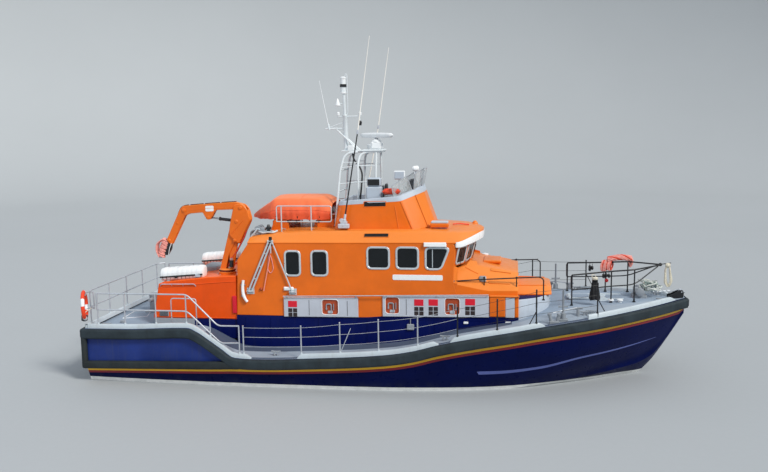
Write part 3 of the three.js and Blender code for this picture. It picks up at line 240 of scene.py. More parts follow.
STEEL = surface("rail_steel", (0.50, 0.54, 0.59), 0.38, metal=0.45, var=0.08, vscale=6, grain=220, bump=0.12, brushed=True)
CHROME = surface("ram_chrome", (0.30, 0.31, 0.33), 0.24, metal=1.0, var=0.04, grain=300, bump=0.05)
ALU = surface("window_frame_aluminium", rgb("c3ccd2"), 0.38, metal=0.25, var=0.05, streak=0.12, grime=(0.3, 0.3, 0.3))
MAST = surface("mast_paint", rgb("dfe6ea"), 0.42, metal=0.15, var=0.06, streak=0.18, grime=(0.32, 0.32, 0.30))
WHITE = surface("white_gloss", rgb("e9edf0"), 0.3, var=0.04, streak=0.16, grime=(0.42, 0.42, 0.38), coat=0.2)
VISOR = surface("visor_white", rgb("f1f4f7"), 0.3, var=0.03, streak=0.1, grime=(0.5, 0.5, 0.47))
GLASS = surface("window_glass", (0.006, 0.008, 0.010), 0.05, var=0.3, vscale=2, bump=0.02, grain=4, alpha=0.985, spec=0.3, rvar=0.03)
CLEAR = surface("clear_screen", (0.55, 0.60, 0.62), 0.06, var=0.05, vscale=4, bump=0.02, grain=4, alpha=0.35, spec=0.6, rvar=0.03)
GLASSF = surface("windscreen_glass", (0.030, 0.032, 0.036), 0.16, var=0.35, vscale=2, bump=0.02, grain=4, alpha=0.992, spec=0.12, rvar=0.03)
# the cover cloth carries a painted highlight on faces that look up or forward
COVER = surface("cover_fabric", rgb("f06a3c"), 0.62, var=0.10, vscale=2.2, weave=520, bump=0.35, dist=0.0010, painted_top_light=0.8, sheen=0.15, fine=2.5)
VINYL = surface("seat_vinyl", rgb("2b2d31"), 0.55, var=0.15, vscale=5, grain=240, bump=0.35, dist=0.001)
CONSOLE = surface("console_grey", rgb("33373c"), 0.55, var=0.10, grain=240, bump=0.3, dist=0.0008)
BRONZE = surface("bronze", rgb("8a6a38"), 0.33, metal=0.95, var=0.25, vscale=5, streak=0.45, grime=(0.05, 0.12, 0.09), grain=60, bump=0.25)
ANTI = surface("antifouling", rgb("1d2127"), 0.75, var=0.35, vscale=3, streak=0.4, grime=(0.06, 0.06, 0.05), grain=90, bump=0.5, dist=0.0015)
ROPE = surface("rope_cream", rgb("d8d2c0"), 0.85, var=0.15, vscale=20, weave=420, bump=0.7, dist=0.002)
ROPE_R = surface("rope_red", rgb("d9472c"), 0.8, var=0.2, vscale=20, weave=420, bump=0.7, dist=0.002)
PINK = surface("tape_pink", rgb("e79a90"), 0.7, var=0.12, vscale=12, bump=0.4, grain=90, dist=0.002)
BAG = surface("black_bag_cloth", rgb("1b1c20"), 0.8, var=0.25, vscale=8, weave=700, bump=0.5, dist=0.0012)
GREYBOX = surface("grey_box", rgb("8d949c"), 0.5, var=0.08, streak=0.15)
ZINC = surface("zinc_anode", rgb("9a9c98"), 0.7, metal=0.4, var=0.3, vscale=9, grain=60, bump=0.6, dist=0.003)
LENS_R = surface("lens_red", rgb("a0181c"), 0.12, var=0.1, vscale=20)
LENS_W = surface("lens_clear", rgb("dfe6ea"), 0.08, var=0.05, vscale=20, spec=0.8)


# ----------------------------------------------------------- mesh building
def vec(p):
    return np.array(p, float)


def unit(v):
    return v / max(1e-12, float(np.linalg.norm(v)))


def rounded(pts, rad, seg=5, closed=False):
    """A polyline with its corners rounded off by curves that start rad before them."""
    P = [vec(p) for p in pts]
    n = len(P)
    out = []
    for i in range(n):
        if not closed and i in (0, n - 1):
            out.append(P[i])
            continue
        a, b, c = P[i - 1], P[i], P[(i + 1) % n]
        la, lc = np.linalg.norm(a - b), np.linalg.norm(c - b)
        d = min(rad, la * 0.48, lc * 0.48)
        if d < 1e-5 or seg < 1:
            out.append(b)
            continue
        p0, p2 = b + (a - b) / la * d, b + (c - b) / lc * d
        for j in range(seg + 1):
            t = j / seg
            out.append((1 - t) ** 2 * p0 + 2 * t * (1 - t) * b + t * t * p2)
    return out


def offset2(poly, d):
    """A closed 2-D outline moved inwards by d, with mitred corners."""
    P = [np.array(p[:2], float) for p in poly]
    n = len(P)
    area = sum(P[i][0] * P[(i + 1) % n][1] - P[(i + 1) % n][0] * P[i][1] for i in range(n))
    s = 1 if area > 0 else -1
    out = []
    for i in range(n):
        e1, e2 = unit(P[i] - P[i - 1]), unit(P[(i + 1) % n] - P[i])
        n1, n2 = s * np.array([-e1[1], e1[0]]), s * np.array([-e2[1], e2[0]])
        m = unit(n1 + n2)
        out.append(P[i] + m * d / max(0.35, float(m @ n1)))
    return out


class Build:
    def __init__(self):
        self.v, self.f, self.m = [], [], []

    def add(self, V, F, m=0):
        o = len(self.v)
        self.v += [tuple(float(c) for c in p) for p in V]
        self.f += [tuple(i + o for i in q) for q in F]
        self.m += [m] * len(F) if isinstance(m, int) else list(m)
        return self

    def tube(self, pts, r, n=10, bend=0.0, m=0, r2=None, seg=5):
        P = rounded(pts, bend, seg) if bend else [vec(p) for p in pts]
        Q = [P[0]]
        for p in P[1:]:
            if np.linalg.norm(p - Q[-1]) > 1e-5:
                Q.append(p)
        P = Q
        T = [unit(P[min(i + 1, len(P) - 1)] - P[max(i - 1, 0)]) for i in range(len(P))]
        up = np.array([0, 0, 1.0]) if abs(T[0][2]) < 0.9 else np.array([1.0, 0, 0])
        e = unit(np.cross(up, T[0]))
        V, F = [], []
        for i, p in enumerate(P):
            e = unit(e - T[i] * (e @ T[i]))
            g = np.cross(T[i], e)
            q = r if r2 is None else r + (r2 - r) * i / (len(P) - 1)
            if callable(r):
                q = r(i / (len(P) - 1))
            for k in range(n):
                a = 2 * math.pi * k / n
                V.append(p + e * math.cos(a) * q + g * math.sin(a) * q)
        for i in range(len(P) - 1):
            for k in range(n):
                F.append((i * n + k, i * n + (k + 1) % n, (i + 1) * n + (k + 1) % n, (i + 1) * n + k))
        F.append(tuple(range(n))[::-1])
        F.append(tuple((len(P) - 1) * n + k for k in range(n)))
        return self.add(V, F, m)

    def turn(self, a, b, prof, n=24, m=0):
        """A turned piece on the line a-b: prof is (share of the way, radius)."""
        a, b = vec(a), vec(b)
        d = unit(b - a)
        up = np.array([0, 0, 1.0]) if abs(d[2]) < 0.9 else np.array([1.0, 0, 0])
        e = unit(np.cross(up, d))
        g = np.cross(d, e)
        V, F = [], []
        for t, r in prof:
            p = a + (b - a) * t
            for k in range(n):
                w = 2 * math.pi * k / n
                V.append(p + e * math.cos(w) * r + g * math.sin(w) * r)
        L = len(prof)
        for i in range(L - 1):
            for k in range(n):
                F.append((i * n + k, i * n + (k + 1) % n, (i + 1) * n + (k + 1) % n, (i + 1) * n + k))
        F.append(tuple(range(n))[::-1])
        F.append(tuple((L - 1) * n + k for k in range(n)))
        return self.add(V, F, m)

    def cyl(self, a, b, r, n=24, m=0, r2=None, bev=0.006):
        r2 = r if r2 is None else r2
        L = float(np.linalg.norm(vec(b) - vec(a)))
        t = min(0.3, bev / max(L, 1e-6))
        return self.turn(a, b, [(0, r - bev), (t, r), (1 - t, r2), (1, r2 - bev)], n, m)

    def box(self, lo, hi, bev=0.008, m=0, mat=None):
        lo, hi = vec(lo), vec(hi)
        bev = min(bev, float((hi - lo).min()) * 0.4)
        V, idx = [], {}
        for sx in (0, 1):
            for sy in (0, 1):
                for sz in (0, 1):
                    c = np.array([(hi if s else lo)[i] for i, s in enumerate((sx, sy, sz))])
                    inn = np.array([-1 if s else 1 for s in (sx, sy, sz)]) * bev
                    for ax in range(3):       # the vertex that lies on the face across ax
                        p = c + inn
                        p[ax] = c[ax]
                        idx[(sx, sy, sz, ax)] = len(V)
                        V.append(p)
        F = []
        for ax in range(3):
            o = [i for i in range(3) if i != ax]
            for s in (0, 1):
                q = []
                for a, b in ((0, 0), (1, 0), (1, 1), (0, 1)):
                    k = [0, 0, 0]
                    k[ax], k[o[0]], k[o[1]] = s, a, b
                    q.append(idx[(*k, ax)])
                F.append(tuple(q))
        for ax in range(3):       # edges along ax
            o = [i for i in range(3) if i != ax]
            for a in (0, 1):
                for b in (0, 1):
                    k0, k1 = [0, 0, 0], [0, 0, 0]
                    k0[o[0]] = k1[o[0]] = a
                    k0[o[1]] = k1[o[1]] = b
                    k1[ax] = 1
                    F.append((idx[(*k0, o[0])], idx[(*k1, o[0])], idx[(*k1, o[1])], idx[(*k0, o[1])]))
        for sx in (0, 1):
            for sy in (0, 1):
                for sz in (0, 1):
                    F.append(tuple(idx[(sx, sy, sz, ax)] for ax in range(3)))
        c = (lo + hi) / 2
        G = []
        for q in F:
            P = [V[i] for i in q]
            nrm = np.cross(P[1] - P[0], P[2] - P[0])
            G.append(q if nrm @ (sum(P) / len(P) - c) > 0 else q[::-1])
        if mat is not None:
            V = [vec(mat @ Vector(p)) for p in V]
        return self.add(V, G, m)

    def slab(self, poly, plane, t0, t1, bev=0.01, m=0, rim=None):
        """An outline with thickness and bevelled edges. plane: xz, xy or yz, thickness along the third axis."""
        ax = {"xz": 1, "xy": 2, "yz": 0}[plane]

        def put(q, t):
            return {"xz": (q[0], t, q[1]), "xy": (q[0], q[1], t), "yz": (t, q[0], q[1])}[plane]
        t0, t1 = min(t0, t1), max(t0, t1)
        bev = min(bev, (t1 - t0) * 0.45)
        inn = offset2(poly, bev)
        P = [np.array(p[:2], float) for p in poly]
        n = len(P)
        V = [put(q, t0) for q in inn] + [put(q, t0 + bev) for q in P] + [put(q, t1 - bev) for q in P] + [put(q, t1) for q in inn]
        F = []
        for a in range(3):
            for i in range(n):
                j = (i + 1) % n
                F.append((a * n + i, a * n + j, (a + 1) * n + j, (a + 1) * n + i))
        F.append(tuple(range(n))[::-1])
        F.append(tuple(3 * n + i for i in range(n)))
        area = sum(P[i][0] * P[(i + 1) % n][1] - P[(i + 1) % n][0] * P[i][1] for i in range(n))
        if (area < 0) != (plane == "xz"):
            F = [q[::-1] for q in F]
        return self.add(V, F, m)

    def loft(self, rings, m=0, caps=True, loop=False, closed=True):
        n = len(rings[0])
        V = [p for r in rings for p in r]
        F = []
        R = len(rings)
        for i in range(R if loop else R - 1):
            for k in range(n if closed else n - 1):
                j = (k + 1) % n
                i2 = (i + 1) % R
                F.append((i * n + k, i * n + j, i2 * n + j, i2 * n + k))
        if caps and not loop:
            F.append(tuple(range(n))[::-1])
            F.append(tuple((R - 1) * n + k for k in range(n)))
        return self.add(V, F, m)

    def ring(self, poly, rad, org, U, Vv, N, prof, m=0, seg=6):
        """A frame round a rounded outline. prof: (inset, height above the face)."""
        org, U, Vv, N = vec(org), vec(U), vec(Vv), vec(N)
        rings = []
        for d, h in prof:
            q = rounded([(*p, 0) for p in offset2(poly, d)], max(0.012, rad - d), seg, closed=True)
            rings.append([org + U * p[0] + Vv * p[1] + N * h for p in q])
        n = len(rings[0])
        V = [p for r in rings for p in r]
        F = []
        for i in range(len(rings) - 1):
            for k in range(n):
                j = (k + 1) % n
                F.append((i * n + k, i * n + j, (i + 1) * n + j, (i + 1) * n + k))
        return self.add(V, F, m)

    def pane(self, poly, rad, inset, org, U, Vv, N, h0, h1, m=0, seg=6):
        """A thin closed plate of a rounded outline between two heights over the face."""
        org, U, Vv, N = vec(org), vec(U), vec(Vv), vec(N)
        q = rounded([(*p, 0) for p in offset2(poly, inset)], max(0.012, rad - inset), seg, closed=True)
        n = len(q)
        V = [org + U * p[0] + Vv * p[1] + N * h for h in (h0, h1) for p in q]
        F = [(k, (k + 1) % n, n + (k + 1) % n, n + k) for k in range(n)] + [tuple(range(n))[::-1], tuple(n + k for k in range(n))]
        return self.add(V, F, m)

    def mirror(self):
        """Adds the same again on the other side of the centre plane."""
        o = len(self.v)
        self.v += [(x, -y, z) for x, y, z in self.v]
        self.f += [tuple(i + o for i in q[::-1]) for q in self.f]
        self.m += list(self.m)
        return self

    def make(self, name, mats, angle=32):
        me = bpy.data.meshes.new(name)
        me.from_pydata(self.v, [], self.f)
        for mt in mats if isinstance(mats, (list, tuple)) else [mats]:
            me.materials.append(mt)
        me.polygons.foreach_set("material_index", self.m)
        o = bpy.data.objects.new(name, me)
        bpy.context.scene.collection.objects.link(o)
        tidy(o, angle)
        return o


def tidy(o, angle=32, fix=True):
    """Faces outwards, smooth where the surface turns gently and sharp at real edges."""
    import bmesh
    bm = bmesh.new()
    bm.from_mesh(o.data)
    bmesh.ops.remove_doubles(bm, verts=bm.verts, dist=1e-5)
    if fix:
        bmesh.ops.recalc_face_normals(bm, faces=bm.faces)
    bm.to_mesh(o.data)
    bm.free()
    o.data.polygons.foreach_set("use_smooth", [True] * len(o.data.polygons))
    o.data.set_sharp_from_angle(angle=math.radians(angle))
    o.data.update()


def carve(o, cutters, angle=32):
    """Cuts the cutters' shapes out of a piece, and removes them."""
    for c in cutters:
        md = o.modifiers.new("cut", "BOOLEAN")
        md.operation = "DIFFERENCE"
        md.solver = "EXACT"
        md.object = c
    bpy.context.view_layer.update()
    me = bpy.data.meshes.new_from_object(o.evaluated_get(bpy.context.evaluated_depsgraph_get()))
    o.modifiers.clear()
    o.data = me
    for c in cutters:
        bpy.data.objects.remove(c)
    tidy(o, angle, fix=False)
    return o


def done(o, body="boat", replaces=()):
    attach(o, body)
    if replaces:
        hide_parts(*replaces)
    return o


def pchip(xs, ys):
    """A smooth curve through the points that does not overshoot them."""
    xs, ys = np.array(xs, float), np.array(ys, float)
    h, d = np.diff(xs), np.diff(ys) / np.diff(xs)
    m = np.zeros_like(ys)
    for i in range(1, len(xs) - 1):
        if d[i - 1] * d[i] > 0:
            w1, w2 = 2 * h[i] + h[i - 1], h[i] + 2 * h[i - 1]
            m[i] = (w1 + w2) / (w1 / d[i - 1] + w2 / d[i])
    m[0], m[-1] = d[0], d[-1]

    def f(x):
        x = np.clip(x, xs[0], xs[-1])
        i = int(np.clip(np.searchsorted(xs, x) - 1, 0, len(xs) - 2))
        t = (x - xs[i]) / h[i]
        return float((1 + 2 * t) * (1 - t) ** 2 * ys[i] + t * (1 - t) ** 2 * h[i] * m[i]
                     + t * t * (3 - 2 * t) * ys[i + 1] + t * t * (t - 1) * h[i] * m[i + 1])
    return f


def smooth(t):
    t = min(1.0, max(0.0, t))
    return t * t * (3 - 2 * t)


def lerp(a, b, t):
    return a + (b - a) * t


# -------------------------------------------------------------------- hull
# x, zk keel, yc/zc chine, ym/zm mid topside, yb half beam, zb foot of the
# upright strip, zs sheer, yd/zd inner deck edge (mm)
HULL = [
    (-8450, -560, 2330, -200, 2480, 180, 2600, 440, 1560, 2380, 1480), (-7000, -680, 2410, -215, 2560, 200, 2690, 500, 1600, 2450, 1490),
    (-5300, -790, 2460, -220, 2630, 220, 2770, 560, 1690, 2500, 1500), (-5000, -805, 2470, -220, 2640, 220, 2780, 570, 1570, 2500, 1440),
    (-4700, -820, 2475, -220, 2645, 220, 2785, 580, 1375, 2500, 1300), (-4350, -840, 2480, -220, 2650, 225, 2795, 595, 1140, 2500, 1120),
    (-3950, -860, 2485, -220, 2655, 225, 2800, 610, 885, 2450, 960), (-3500, -880, 2490, -218, 2660, 230, 2810, 615, 865, 2400, 930),
    (-1500, -960, 2490, -200, 2660, 260, 2820, 700, 950, 2400, 1010), (300, -1000, 2430, -170, 2640, 320, 2820, 840, 1090, 2400, 1150),
    (1000, -1005, 2380, -140, 2610, 370, 2820, 960, 1210, 2400, 1270), (1700, -1000, 2310, -110, 2570, 440, 2810, 1150, 1400, 2380, 1460),
    (2800, -980, 2130, -50, 2470, 540, 2760, 1370, 1620, 2300, 1680), (3600, -930, 1930, 0, 2340, 620, 2680, 1500, 1750, 2150, 1810),
    (4400, -850, 1640, 60, 2130, 700, 2500, 1620, 1870, 1800, 1990), (5200, -720, 1270, 120, 1840, 770, 2240, 1710, 1960, 1500, 2140),
    (5900, -540, 920, 190, 1500, 850, 1930, 1770, 2020, 1250, 2175), (6600, -250, 570, 290, 1090, 950, 1530, 1830, 2080, 1050, 2200),
    (7100, -80, 330, 380, 780, 1040, 1190, 1870, 2120, 850, 2210), (7550, 340, 120, 560, 480, 1150, 850, 1905, 2155, 600, 2215),
    (7950, 930, 60, 1010, 250, 1340, 530, 1940, 2190, 350, 2190), (8250, 1420, 45, 1480, 130, 1680, 280, 1970, 2220, 180, 2220),
    (8450, 1760, 35, 1800, 60, 1890, 130, 1990, 2240, 80, 2240)]
HX = [r[0] / 1000 for r in HULL]
COLS = ("zk", "yc", "zc", "ym", "zm", "yb", "zb", "zs", "yd", "zd")
H = {c: pchip(HX, [r[i + 1] / 1000 for r in HULL]) for i, c in enumerate(COLS)}


def side_y(x, z):
    """Half breadth of the topside at a height, with the spray chine's lip."""
    yc, zc, ym, zm, yb, zb = (H[c](x) for c in ("yc", "zc", "ym", "zm", "yb", "zb"))
    if z >= zb:
        return yb
    y = yc * (z - zm) * (z - zb) / ((zc - zm) * (zc - zb)) + ym * (z - zc) * (z - zb) / ((zm - zc) * (zm - zb)) \
        + yb * (z - zc) * (z - zm) / ((zb - zc) * (zb - zm))
    lip = 0.085 * smooth((x - 4.6) / 1.8) * (1 - smooth((x - 7.5) / 0.35)) + 0.02
    return y + lip * max(0.0, 1 - (z - zc) / 0.16) ** 1.2


def hull_half(x):
    """Points (y, z, band) from the keel up to the deck's middle. band: 0 bottom, 1 side, 2 red, 3 gold, 4 upright, 5 shelf, 6 deck."""
    zk, yc, zc, zb, zs, yb, yd, zd = (H[c](x) for c in ("zk", "yc", "zc", "zb", "zs", "yb", "yd", "zd"))
    ytop = side_y(x, zc)
    pts = []
    for i in range(8):
        t = i / 8
        pts.append((ytop * t, lerp(zk, zc, t) - 0.035 * math.sin(math.pi * t) * min(1, ytop), 0))
    span = zb - zc
    red, gold = min(0.203, span * 0.5), min(0.128, span * 0.3)
    low = zb - red
    for i in range(13):
        t = (i / 13) ** 1.25
        z = lerp(zc, low, t)
        pts.append((side_y(x, z), z, 1))
    pts.append((side_y(x, low), low, 2))
    pts.append((side_y(x, zb - gold), zb - gold, 3))
    pts.append((yb, zb, 4))
    s1, s2 = min(0.14, yb * 0.4), min(0.14, yb * 0.2)
    pts += [(yb, zs, 5), (yb - s1, zs, 5)]
    yi = yd - s2
    pts += [(yi, zd, 6), (yi * 0.5, zd + 0.012, 6), (0.0, zd + 0.016, 6)]
    return pts


xs = sorted(set([round(x, 3) for x in np.concatenate([np.arange(-8.45, -5.4, 0.3), np.arange(-5.4, -3.4, 0.08), np.arange(-3.4, 4.4, 0.26), np.arange(4.4, 8.3, 0.14), [8.3, 8.35, 8.4, 8.45]])]))
xs = [x for x in xs if -8.45 <= x <= 8.45]
if xs[0] > -8.449:
    xs = [-8.45] + xs
b = Build()
V, F, M = [], [], []
half = len(hull_half(0))
ring_n = 2 * half - 2
for x in xs:
    P = hull_half(x)
    for y, z, _ in P:
        V.append((x, -y, z))
    for y, z, _ in P[-2:0:-1]:
        V.append((x, y, z))
bands = [p[2] for p in hull_half(0)]
for i in range(len(xs) - 1):
    xm = (xs[i] + xs[i + 1]) / 2
    for k in range(ring_n):
        j = (k + 1) % ring_n
        F.append((i * ring_n + k, (i + 1) * ring_n + k, (i + 1) * ring_n + j, i * ring_n + j))
        band = bands[k] if k < half - 1 else bands[min(half - 1, ring_n - 1 - k)]
        if k >= half - 1:
            band = bands[ring_n - k - 1] if ring_n - k - 1 < half else 6
        mt = {0: 0, 1: 0, 2: 2, 3: 1, 4: 3 if xm < -3.6 else 0, 5: 5, 6: 4}[band]
        if band == 6:
            mt = 6 if -5.0 < xm < 3.55 else 4
        M.append(mt)
F.append(tuple(range(ring_n)))
F.append(tuple((len(xs) - 1) * ring_n + k for k in range(ring_n))[::-1])
M += [0, 0]
b.add(V, F, M)
hull = b.make("hull_shell", [NAVY, GOLD, RED, ROYAL, DECK, WATERWAY, SIDE_DECK, ANTI], 24)
PROP = dict(x=-7.05, y=1.25, z=-0.95)
slope = math.tan(math.radians(5.5))


def shaft_z(x):
    return PROP["z"] + (x - PROP["x"]) * slope


cutters = []
for s in (-1, 1):
    c = Build()
    c.turn((-8.6, s * 1.25, shaft_z(-8.6) + 0.06), (-4.6, s * 1.25, shaft_z(-4.6) - 0.33), [(0, 0.59), (1, 0.59)], 40, 7)
    cutters.append(c.make(f"cut_tunnel_{s}", [NAVY] * 7 + [ANTI]))
c = Build()
c.box((5.29, -0.26, 1.88), (5.81, 0.26, 2.4), 0.02, 5)
cutters.append(c.make("cut_well", [NAVY] * 5 + [WATERWAY]))
carve(hull, cutters, 24)
done(hull, "boat", ["hull"])

# the long pale stripe on the bow, tapering to its forward end
b = Build()
stripe = pchip([2.70, 3.2, 4.38, 5.45, 6.58, 7.65], [0.575, 0.580, 0.665, 0.875, 0.995, 1.15])
wide = pchip([2.70, 2.76, 4.38, 5.45, 6.6, 7.65], [0.085, 0.100, 0.080, 0.062, 0.048, 0.008])
rows = []
for i in range(61):
    x = lerp(2.70, 7.65, i / 60)
    row = []
    for t in (-0.5, -0.17, 0.17, 0.5):
        z = stripe(x) + t * wide(x)
        row.append((x + (0.05 * (0.5 - t) if i == 0 else 0), -(side_y(x, z) + 0.0035), z))
    rows.append(row)
b.loft(rows, 0, caps=False, closed=False)
b.mirror()
done(b.make("bow_stripe", SWOOSH), "boat")


# ---------------------------------------------------------- rubber belting
def edge_run(x_from, x_to, stern=True, bow=True, step=0.12):
    """Points (x, y, nx, ny) along the hull's edge on the starboard side, round the bow and the stern where asked."""
    pts = []
    X = list(np.arange(x_to, x_from, -step)) + [x_from]
    if bow:
        for a in np.linspace(0, math.pi / 2, 7)[:-1]:
            pts.append((8.45, -0.13 * math.sin(a), math.cos(a), -math.sin(a)))
    for x in X:
        dx = 0.02
        d = (H["yb"](min(x + dx, 8.45)) - H["yb"](max(x - dx, -8.45))) / (min(x + dx, 8.45) - max(x - dx, -8.45))
        n = unit(np.array([-d, 1.0]))
        pts.append((x, -H["yb"](x), n[0], -n[1]))
    if stern:
        for a in np.linspace(0, math.pi / 2, 7)[1:]:
            pts.append((x_from, -H["yb"](x_from), -math.sin(a), -math.cos(a)))
        for y in np.linspace(-H["yb"](x_from), 0, 9)[1:]:
            pts.append((x_from, y, -1, 0))
    return pts


def belt(b, pts, prof, zf, m=0, both=True):
    R = pts + ([(x, -y, nx, -ny) for x, y, nx, ny in pts[::-1]][1:] if both else [])
    h = min(z for o, z in prof)
    rings = []
    for x, y, nx, ny in R:
        k = 1 - 0.24 * smooth((nx - 0.45) / 0.5)       # the nose at the stem is rounded in height too
        rings.append([(x + nx * o * (1.0 if o < 0 else 1), y + ny * o, zf(x) + h / 2 + (z - h / 2) * k) for o, z in prof])
    b.loft(rings, m, caps=not both, loop=both)


def dprofile(o, h, r, base=-0.01, n=4):
    """A fender section: flat back, rounded edges, from z -h to 0."""
    p = [(base, -h + 0.012), (base, -0.012)]
    for a in np.linspace(math.pi / 2, 0, n + 1):
        p.append((o - r + r * math.cos(a), -r + r * math.sin(a)))
    for a in np.linspace(0, -math.pi / 2, n + 1):
        p.append((o - r + r * math.cos(a), -h + r + r * math.sin(a)))
    return p


b = Build()
run = edge_run(-8.45, 8.449)
run[0] = (8.45, 0.0, 1, 0)
belt(b, run, dprofile(0.139, 0.285, 0.062), lambda x: H["zs"](x), 0)
o = b.make("belting_upper", RUBBER, 40)
done(o, "boat", ["rubber_belting"])
b = Build()
low = edge_run(-8.45, -3.75)
low = [p for p in edge_run(-8.45, -3.75, bow=False)]
R = low + [(x, -y, nx, -ny) for x, y, nx, ny in low[::-1]][1:]
prof = dprofile(0.130, 0.225, 0.055)
b.loft([[(x + nx * o_ * (0.35 if i in (0, len(R) - 1) else 1), y + ny * o_ * (0.35 if i in (0, len(R) - 1) else 1), H["zb"](x) + 0.19 + z) for o_, z in prof] for i, (x, y, nx, ny) in enumerate(R)], 0)
for s in (-1, 1):     # upright guards at the corners of the stern
    b.tube([(-8.47, s * 2.645, 0.56), (-8.47, s * 2.645, 1.38)], 0.088, 14)
    b.box((-8.53, s * 2.45 - 0.07, 0.6), (-8.44, s * 2.45 + 0.07, 1.34), 0.03)
for y in (-1.5, -0.5, 0.5, 1.5):
    b.box((-8.54, y - 0.06, 0.6), (-8.445, y + 0.06, 1.34), 0.03)
done(b.make("belting_lower", RUBBER2, 40), "boat")

# toe rail with its gaps, and the low strip across them
b = Build()
GAPS = [(-3.48, -2.18), (1.70, 2.01), (4.50, 5.65)]
runs = [(-8.39, -3.48), (-2.18, 1.70), (2.01, 4.50), (5.65, 8.18)]
for x0, x1 in runs:
    pts = edge_run(x0, x1, stern=(x0 < -8), bow=False, step=0.14)
    if x0 < -8:
        pts = [(x, y if abs(y) < 2.6 else y, nx, ny) for x, y, nx, ny in edge_run(-8.45, x1, stern=True, bow=False, step=0.14)]
    rings = []
    L = len(pts)
    for i, (x, y, nx, ny) in enumerate(pts):
        ends = 1.0
        if i == 0 or (i == L - 1 and x0 > -8):
            ends = 0.12
        elif i == 1 or (i == L - 2 and x0 > -8):
            ends = 0.92
        h = 0.121 * ends
        rings.append([(x - nx * o_, y - ny * o_, H["zs"](x) + z) for o_, z in
                      ((0.022, -0.003), (0.026, h - 0.014), (0.036, h), (0.094, h), (0.104, h - 0.014), (0.108, -0.003))])
    if x0 < -8:
        rings = rings + [[(x, -y, z) for x, y, z in r] for r in rings[:-1][::-1]]
        b.loft(rings, 0)
    else:
        b.loft(rings, 0)
        b.loft([[(x, -y, z) for x, y, z in r] for r in rings], 0)
for x0, x1 in GAPS:
    pts = edge_run(x0, x1, stern=False, bow=False, step=0.14)
    rings = [[(x - nx * o_, y - ny * o_, H["zs"](x) + z) for o_, z in ((0.03, 0), (0.035, 0.022), (0.095, 0.022), (0.1, 0))] for x, y, nx, ny in pts]
    b.loft(rings, 1)
    b.loft([[(x, -y, z) for x, y, z in r] for r in rings], 1)
done(b.make("toe_rail_fine", [TOE, SIDE_DECK], 40), "boat", ["toe_rail"])

# --------------------------------------------------------- deckhouse trunk
PLAN = [(-4.2, 1.75), (3.0, 1.75), (3.8, 1.69), (4.35, 1.33), (4.62, 0.9), (4.70, 0.4)]
b = Build()


def wall_strip(b, plan, z0f, z1, bev=0.03, mfun=lambda x: 0, top=True):
    """An upright wall round a plan (x, y on starboard, and mirrored), with a rounded top edge."""
    P = [(x, -y) for x, y in plan] + [(x, y) for x, y in plan[::-1]]
    inn = offset2(P, bev)
    inn2 = offset2(P, bev * 0.3)
    n = len(P)
    V = [(x, y, z0f(x)) for x, y in P] + [(x, y, z1 - bev) for x, y in P] + [(x, y, z1 - bev * 0.3) for x, y in inn2] + [(x, y, z1) for x, y in inn]
    F, M = [], []
    for a in range(3):
        for i in range(n):
            j = (i + 1) % n
            F.append((a * n + i, a * n + j, (a + 1) * n + j, (a + 1) * n + i))
            M.append(mfun((P[i][0] + P[j][0]) / 2))
    F += [tuple(range(n))[::-1], tuple(3 * n + i for i in range(n))]
    M += [0, 0]
    b.add(V, F, M)


dense = []
for (xa, ya), (xb, yb_) in zip(PLAN[:-1], PLAN[1:]):
    k = max(1, int(abs(xb - xa) / 0.3)) if xa < 3.0 else 1
    dense += [(lerp(xa, xb, i / k), lerp(ya, yb_, i / k)) for i in range(k)]
dense.append(PLAN[-1])
fwd = [(p[0], p[1]) for p in rounded([(x, y, 0) for x, y in PLAN[1:]], 0.22, 5)]
wall_strip(b, [p for p in dense if p[0] <= 3.0], lambda x: H["zd"](x) - 0.1, 1.85, 0.02, lambda x: 0)
wall_strip(b, fwd, lambda x: H["zd"](x) - 0.15, 1.80, 0.004, lambda x: 0 if x < 3.8 else 1)
P2 = [(x, y) for x, y in fwd]
wall_strip(b, P2, lambda x: 1.79, 2.42, 0.03, lambda x: 1)
wall_strip(b, [(-6.78, 1.60), (-6.70, 1.70), (-5.5, 1.70)], lambda x: 1.40, 1.70, 0.015, lambda x: 2)
wall_strip(b, [(-5.5, 1.70), (-4.1, 1.70)], lambda x: 1.15, 1.70, 0.015, lambda x: 0)
done(b.make("deckhouse_trunk_fine", [NAVY2, PANEL, GREYBOX], 30), "boat", ["deckhouse_trunk"])

# orange panel, light panel and orange edge ahead of the lockers
b = Build()
for s in (-1, 1):
    y = s * 1.775
    n = (0, s, 0)
    b.box((3.01, min(y, y - s * 0.06), 1.95), (3.44, max(y, y - s * 0.06), 2.50), 0.02, 0)
    b.box((3.44, min(s * 1.76, s * 1.66), 1.93), (3.69, max(s * 1.76, s * 1.66), 2.50), 0.015, 1)
    b.slab([(3.69, 1.93), (3.80, 1.94), (3.80, 2.52), (3.69, 2.52)], "xz", s * 1.64, s * 1.735, 0.02, 0)
    b.box((3.0, min(s * 1.70, s * 1.79), 2.50), (3.82, max(s * 1.70, s * 1.79), 2.55), 0.015, 0)
done(b.make("forward_side_panels", [ORANGE, LOCKER], 30), "boat")

# ------------------------------------------------------- wheelhouse sides
SIDE = [(-4.195, 1.85), (-4.13, 3.45), (-3.80, 3.93), (2.03, 3.96), (2.09, 3.86), (2.04, 3.30), (2.03, 2.87), (2.11, 2.60), (2.11, 1.85)]
WINDOWS = [(-2.75, -2.27, 3.0, 3.745, -2.27), (-1.985, -1.48, 3.01, 3.755, -1.48), (-0.39, 0.27, 3.23, 3.87, 0.27),
           (0.43, 1.08, 3.235, 3.875, 1.08), (1.24, 1.95, 3.23, 3.87, 1.70)]


def win_poly(w):
    x0, x1, z0, z1, xf = w
    return [(x0, z0), (xf, z0), (x1, z1), (x0, z1)]


